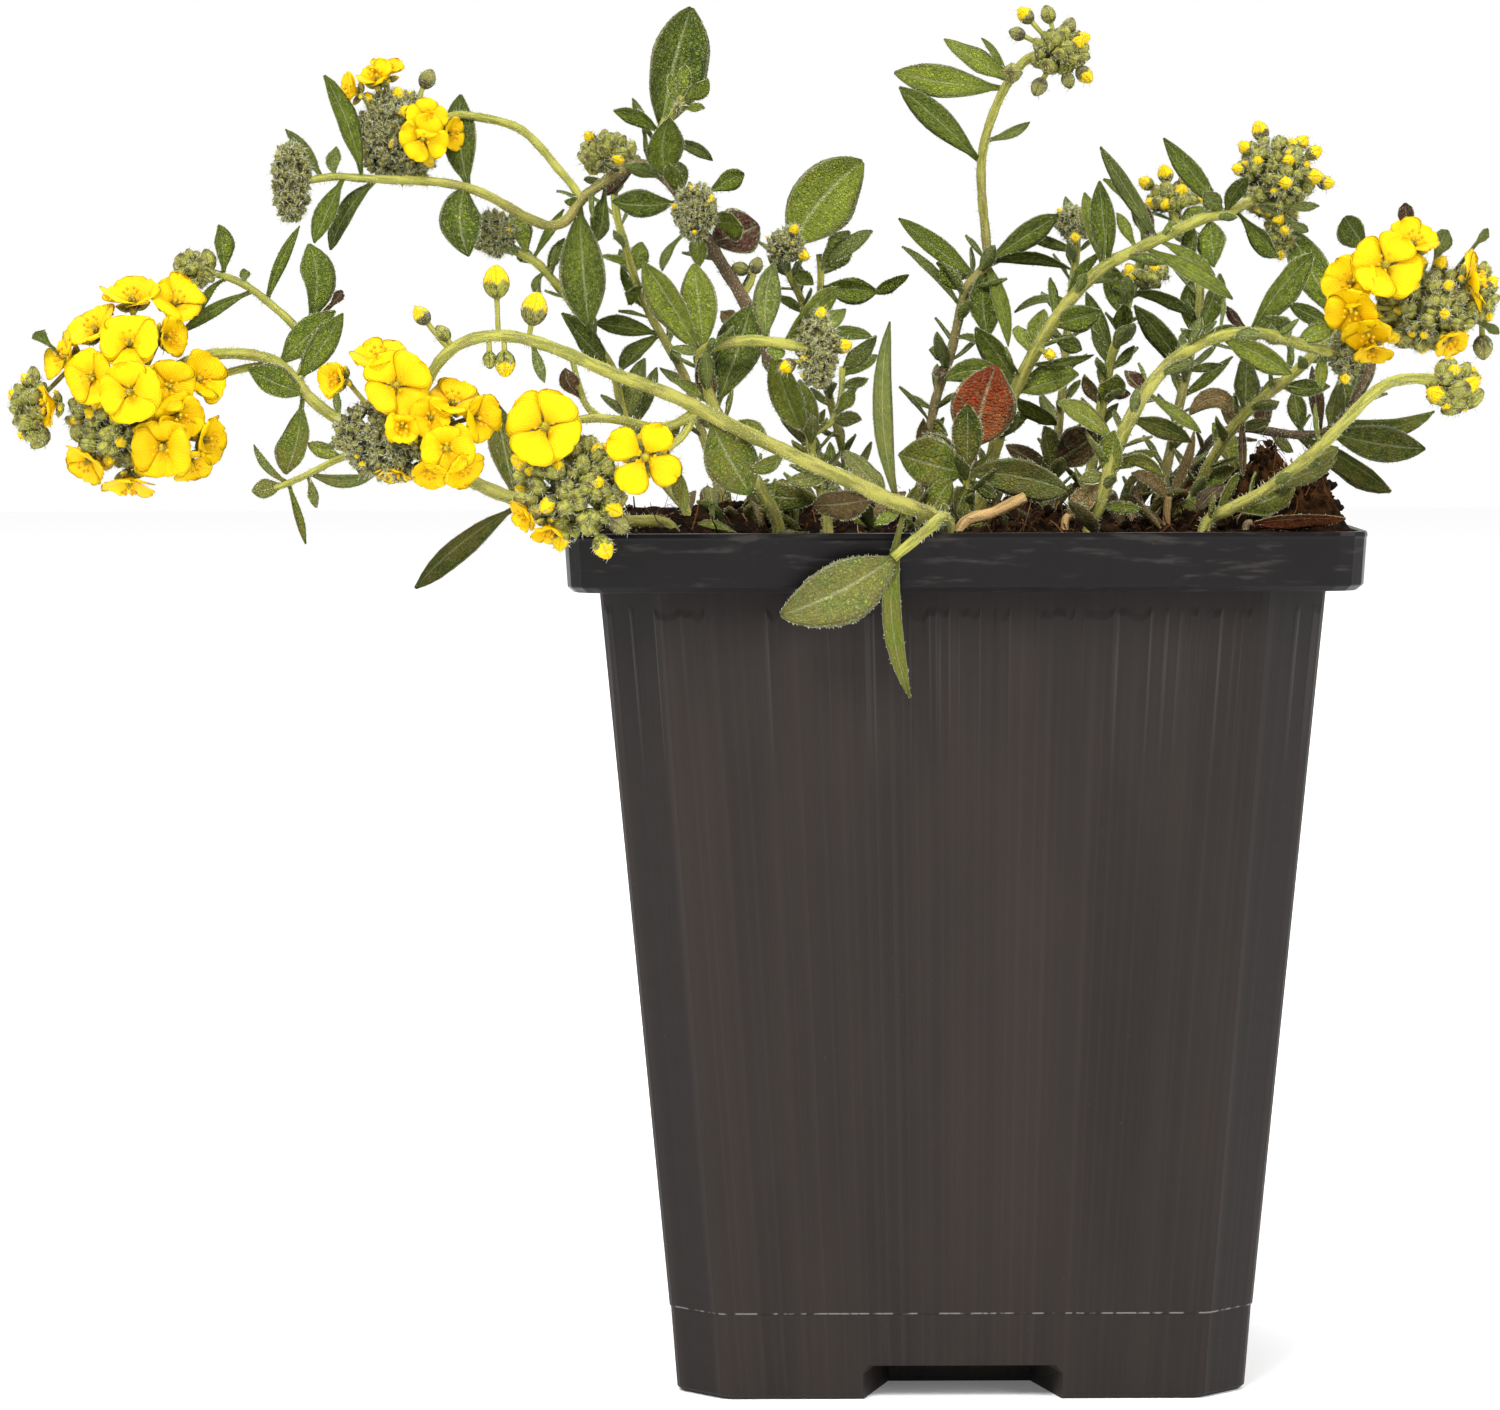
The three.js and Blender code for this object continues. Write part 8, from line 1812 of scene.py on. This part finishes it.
class ALYSSUM_OT_peat(bpy.types.Operator):
    """Fills the pot with crumbly peat and scatters crumbs, fibres and dry bits on it"""

    bl_idname = "alyssum.peat"
    bl_label = "Peat"

    def execute(self, context):
        look = look_of(context, "peat")
        peat_finish(look)
        litter_finish(look)
        layers = [("peat_bed", "soil", "peat", self.bed, look["cell"] * 1000),
                  ("peat_crumbs", None, "litter", self.crumbs, look["crumbs"]),
                  ("peat_fibres", None, "litter", self.fibres, look["fibres"])]
        for name, node, finish, lay, amount in layers:
            growth = Growth([finish])
            lay(growth, amount)
            growth.make(name, node)
        return {"FINISHED"}

    def scatter(self, rng, count, edge):
        """Places on the peat: some spread evenly and some gathered on the lumps."""
        reach = SOIL_HALF - edge
        spots = rng.uniform(-reach, reach, (2, count))
        lumps = np.array(LUMPS)[rng.integers(0, len(LUMPS), count)]
        heaped = lumps[:, :2].T + rng.normal(0, 0.5, (2, count)) * lumps[:, 3]
        return np.where(rng.uniform(size=count) < 0.42, heaped, spots).clip(-reach, reach)

    def bed(self, growth, cell):
        """A filled pot of peat in square rings: out over the crumbly top, then down inside the walls."""
        count = int(SOIL_HALF / cell)
        around = 8 * count
        turn = np.arange(around) * 8 / around
        edge = np.stack([np.clip(np.abs((turn + shift) % 8 - 4) - 2, -1, 1) for shift in (3, 1)], axis=-1)

        def outline(half, radius):
            """A square with round corners: what lies past the straight sides is drawn in to the radius."""
            spot = edge * half
            core = np.clip(spot, -(half - radius), half - radius)
            return core + unit(spot - core) * radius

        share = np.linspace(0.004, 1, count)[:, None, None]
        flat = outline(SOIL_HALF, PEAT_CORNER)[None] * share
        top = np.concatenate([flat, peat_height(flat[..., 0], flat[..., 1])[..., None]], axis=-1)
        below = [np.concatenate([outline(half, radius), np.full((around, 1), z)], axis=-1)
                 for z, half, radius in PEAT_SIDES]
        rings = np.concatenate([top, np.stack(below)])[None, ::-1]
        growth.add(rings, "peat", np.zeros(3), (0, 0, 0))

    def crumbs(self, growth, count):
        """Lumpy balls: five rings of seven points whose radius varies at random."""
        rng = chance(CRUMB_SEED)
        x, y = self.scatter(rng, count, 1)
        size = rng.gamma(2.0, 0.16, count).clip(0.15, 1.3)
        centre = np.stack([x, y, peat_height(x, y) + size * 0.3], axis=-1)
        polar = np.linspace(0.25, np.pi - 0.25, 5)
        turns = np.linspace(0, 2 * np.pi, 7, endpoint=False)
        radius = size[:, None, None] * rng.uniform(0.5, 1.2, (count, 5, 7))
        flat = radius * np.sin(polar)[None, :, None]
        squash = rng.uniform(0.6, 1.0, (count, 1, 1))
        rings = np.stack([flat * np.cos(turns), flat * np.sin(turns),
                          -radius * squash * np.cos(polar)[None, :, None]], axis=-1)
        kind = np.stack([rng.beta(1.1, 3.2, count), rng.uniform(0, 1, count), size], axis=-1)
        growth.add(centre[:, None, None] + rings, "litter", ring_place(count, polar / np.pi, turns), kind)

    def fibres(self, growth, count):
        """Bent threads and slivers that lie on the peat or stand a little out of it."""
        rng = chance(FIBRE_SEED)
        x, y = self.scatter(rng, count, 4)
        long = rng.gamma(2.6, 1.1, count).clip(0.8, 8)
        turn = rng.uniform(0, 2 * np.pi, count)
        t = np.linspace(-0.5, 0.5, 7)[None]
        bend = rng.normal(0, 0.6, count)[:, None] * long[:, None]
        fx = x[:, None] + long[:, None] * t * np.cos(turn)[:, None] - bend * t ** 2 * np.sin(turn)[:, None]
        fy = y[:, None] + long[:, None] * t * np.sin(turn)[:, None] + bend * t ** 2 * np.cos(turn)[:, None]
        rise = rng.gamma(1.2, 0.9, count)[:, None] * (t + 0.5) ** 2
        fx = fx.clip(-SOIL_HALF + 0.6, SOIL_HALF - 0.6)
        fy = fy.clip(-SOIL_HALF + 0.6, SOIL_HALF - 0.6)
        path = np.stack([fx, fy, peat_height(fx, fy) + 0.15 + rise], axis=-1)
        thick = rng.gamma(1.6, 0.035, count).clip(0.035, 0.3)[:, None, None, None]
        turns = np.linspace(0, 2 * np.pi, 5, endpoint=False)
        taper = (0.45 + 0.55 * np.cos(np.pi * t * 0.9))[..., None, None]
        rings = path[:, :, None] + thick * taper * circle(turns, *frames(path))
        kind = np.stack([rng.beta(1.6, 1.6, count), rng.uniform(0, 1, count), long], axis=-1)
        growth.add(rings, "litter", ring_place(count, t[0] + 0.5, turns), kind)


class ALYSSUM_OT_shoots(bpy.types.Operator):
    """Grows the leafy shoots: hairy stems with felted leaves, buds and small heads"""

    bl_idname = "alyssum.shoots"
    bl_label = "Leafy shoots"

    def execute(self, context):
        names = sorted(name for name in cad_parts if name.startswith("shoot"))
        grow_all({name: "old_branch" if name == "shoot_t" else "leafy" for name in names}, SHOOT_SEED)
        grow_low_leaves()
        return {"FINISHED"}


class ALYSSUM_OT_heads(bpy.types.Operator):
    """Grows the flower heads: dense hairy buds with open four-petalled flowers"""

    bl_idname = "alyssum.heads"
    bl_label = "Flower heads"

    def execute(self, context):
        slots = {"head_a": "flowers", "head_b": "flowers", "head_c": "bud_head", "head_c2": "flowers",
                 "head_d": "grey_head", "head_e": "bud_head", "head_n": "spent_head"}
        grow_all(slots, FLOWER_HEAD_SEED)
        return {"FINISHED"}


class ALYSSUM_OT_loose_leaves(bpy.types.Operator):
    """Makes the red leaves, the twig and the dry leaves that stand in the peat"""

    bl_idname = "alyssum.loose_leaves"
    bl_label = "Red and dry leaves"

    def execute(self, context):
        slots = {"leaf_red": "red_leaf", "leaf_red_low": "dark_red_leaf", "twig": "dry",
                 "dead_leaf_front": "dry", "dead_leaf_mid": "dry"}
        grow_all(slots, LOOSE_LEAF_SEED, hairy=False)
        return {"FINISHED"}


class ALYSSUM_OT_stage(bpy.types.Operator):
    """Sets a white floor, soft lights and the camera"""

    bl_idname = "alyssum.stage"
    bl_label = "Stage"

    def execute(self, context):
        look = look_of(context, "stage")
        self.floor()
        self.light("Key", (-0.5, -1.15, 1.4), 0.7, look["key"])
        self.light("Fill", (1.1, -0.9, 0.75), 0.9, look["fill"])
        self.light("Back", (0.2, 1.2, 1.3), 1.5, look["fill"])
        self.room(context, look)
        context.scene.view_settings.view_transform = "Standard"
        self.camera(context, look)
        return {"FINISHED"}

    def room(self, context, look):
        """White all round, dimmer on the side that the camera stands on."""
        world = bpy.data.worlds.new("White room")
        world.use_nodes = True
        tree = world.node_tree
        place = tree.nodes.new("ShaderNodeTexCoord")
        split = tree.nodes.new("ShaderNodeSeparateXYZ")
        fade = tree.nodes.new("ShaderNodeMapRange")
        fade.inputs["From Min"].default_value = -0.75
        fade.inputs["From Max"].default_value = 0.0
        fade.inputs["To Min"].default_value = look["dim"]
        fade.inputs["To Max"].default_value = look["sky"]
        tree.links.new(place.outputs["Generated"], split.inputs[0])
        tree.links.new(split.outputs["Y"], fade.inputs["Value"])
        tree.links.new(fade.outputs["Result"], tree.nodes["Background"].inputs["Strength"])
        tree.nodes["Background"].inputs["Color"].default_value = (1, 1, 1, 1)
        context.scene.world = world

    def floor(self):
        f = Finish("white floor")
        f.surface({"Base Color": (0.93, 0.93, 0.93), "Roughness": 0.9, "Specular IOR Level": 0.1,
                   "Emission Color": (1, 1, 1), "Emission Strength": 0.12})
        mesh = bpy.data.meshes.new("floor")
        corners = [(x * FLOOR_HALF, y * FLOOR_HALF, 0) for x, y in ((-1, -1), (1, -1), (1, 1), (-1, 1))]
        mesh.from_pydata(corners, [], [(0, 1, 2, 3)])
        mesh.materials.append(f.material)
        put_in_scene("floor", mesh)

    def light(self, name, place, size, power):
        lamp = bpy.data.lights.new(name, "AREA")
        lamp.energy = power
        lamp.shape = "DISK"
        lamp.size = size
        lamp_object = put_in_scene(name, lamp)
        away = np.array(place) - np.array(LIGHT_AIM)
        across = math.hypot(away[0], away[1])
        lamp_object.location = place
        lamp_object.rotation_euler = (math.atan2(across, away[2]), 0, math.atan2(away[0], -away[1]))

    def camera(self, context, look):
        """A camera at the eye point that looks along +Y, tipped down and rolled slightly."""
        lens = bpy.data.cameras.new("Camera")
        lens.lens = look["lens"]
        lens.sensor_width = 36
        lens.clip_start = 0.05
        camera = put_in_scene("Camera", lens)
        cp, sp = math.cos(look["pitch"]), math.sin(look["pitch"])
        cr, sr = math.cos(look["roll"]), math.sin(look["roll"])
        right, up, ahead = np.array([1.0, 0, 0]), np.array([0, sp, cp]), np.array([0, cp, -sp])
        matrix = np.eye(4)
        matrix[:3, 0] = right * cr + up * sr
        matrix[:3, 1] = up * cr - right * sr
        matrix[:3, 2] = -ahead
        matrix[:3, 3] = EYE / 1000
        camera.matrix_world = Matrix(matrix.tolist())
        context.scene.camera = camera


class ALYSSUM_PT_panel(bpy.types.Panel):
    """Lists the looks and the operators"""

    bl_idname = "ALYSSUM_PT_panel"
    bl_label = "Potted alyssum"
    bl_space_type = "VIEW_3D"
    bl_region_type = "UI"
    bl_category = "Alyssum"

    def draw(self, context):
        for operator in OPERATORS:
            self.layout.operator(operator.bl_idname)
        for group, look in LOOKS.items():
            box = self.layout.box()
            box.label(text=group.capitalize())
            for name in look.__annotations__:
                box.prop(getattr(context.scene.alyssum, group), name)


OPERATORS = [ALYSSUM_OT_finishes, ALYSSUM_OT_pot, ALYSSUM_OT_peat, ALYSSUM_OT_shoots, ALYSSUM_OT_heads,
             ALYSSUM_OT_loose_leaves, ALYSSUM_OT_stage]
CLASSES = [*LOOKS.values(), AlyssumLook, *OPERATORS, ALYSSUM_PT_panel]


def register():
    for made in CLASSES:
        bpy.utils.register_class(made)
    bpy.types.Scene.alyssum = bpy.props.PointerProperty(type=AlyssumLook)


def unregister():
    del bpy.types.Scene.alyssum
    for made in reversed(CLASSES):
        bpy.utils.unregister_class(made)


def main():
    register()
    bpy.ops.alyssum.finishes()
    bpy.ops.alyssum.pot()
    bpy.ops.alyssum.peat()
    bpy.ops.alyssum.shoots()
    bpy.ops.alyssum.heads()
    bpy.ops.alyssum.loose_leaves()
    bpy.ops.alyssum.stage()


if __name__ == "__main__":
    main()
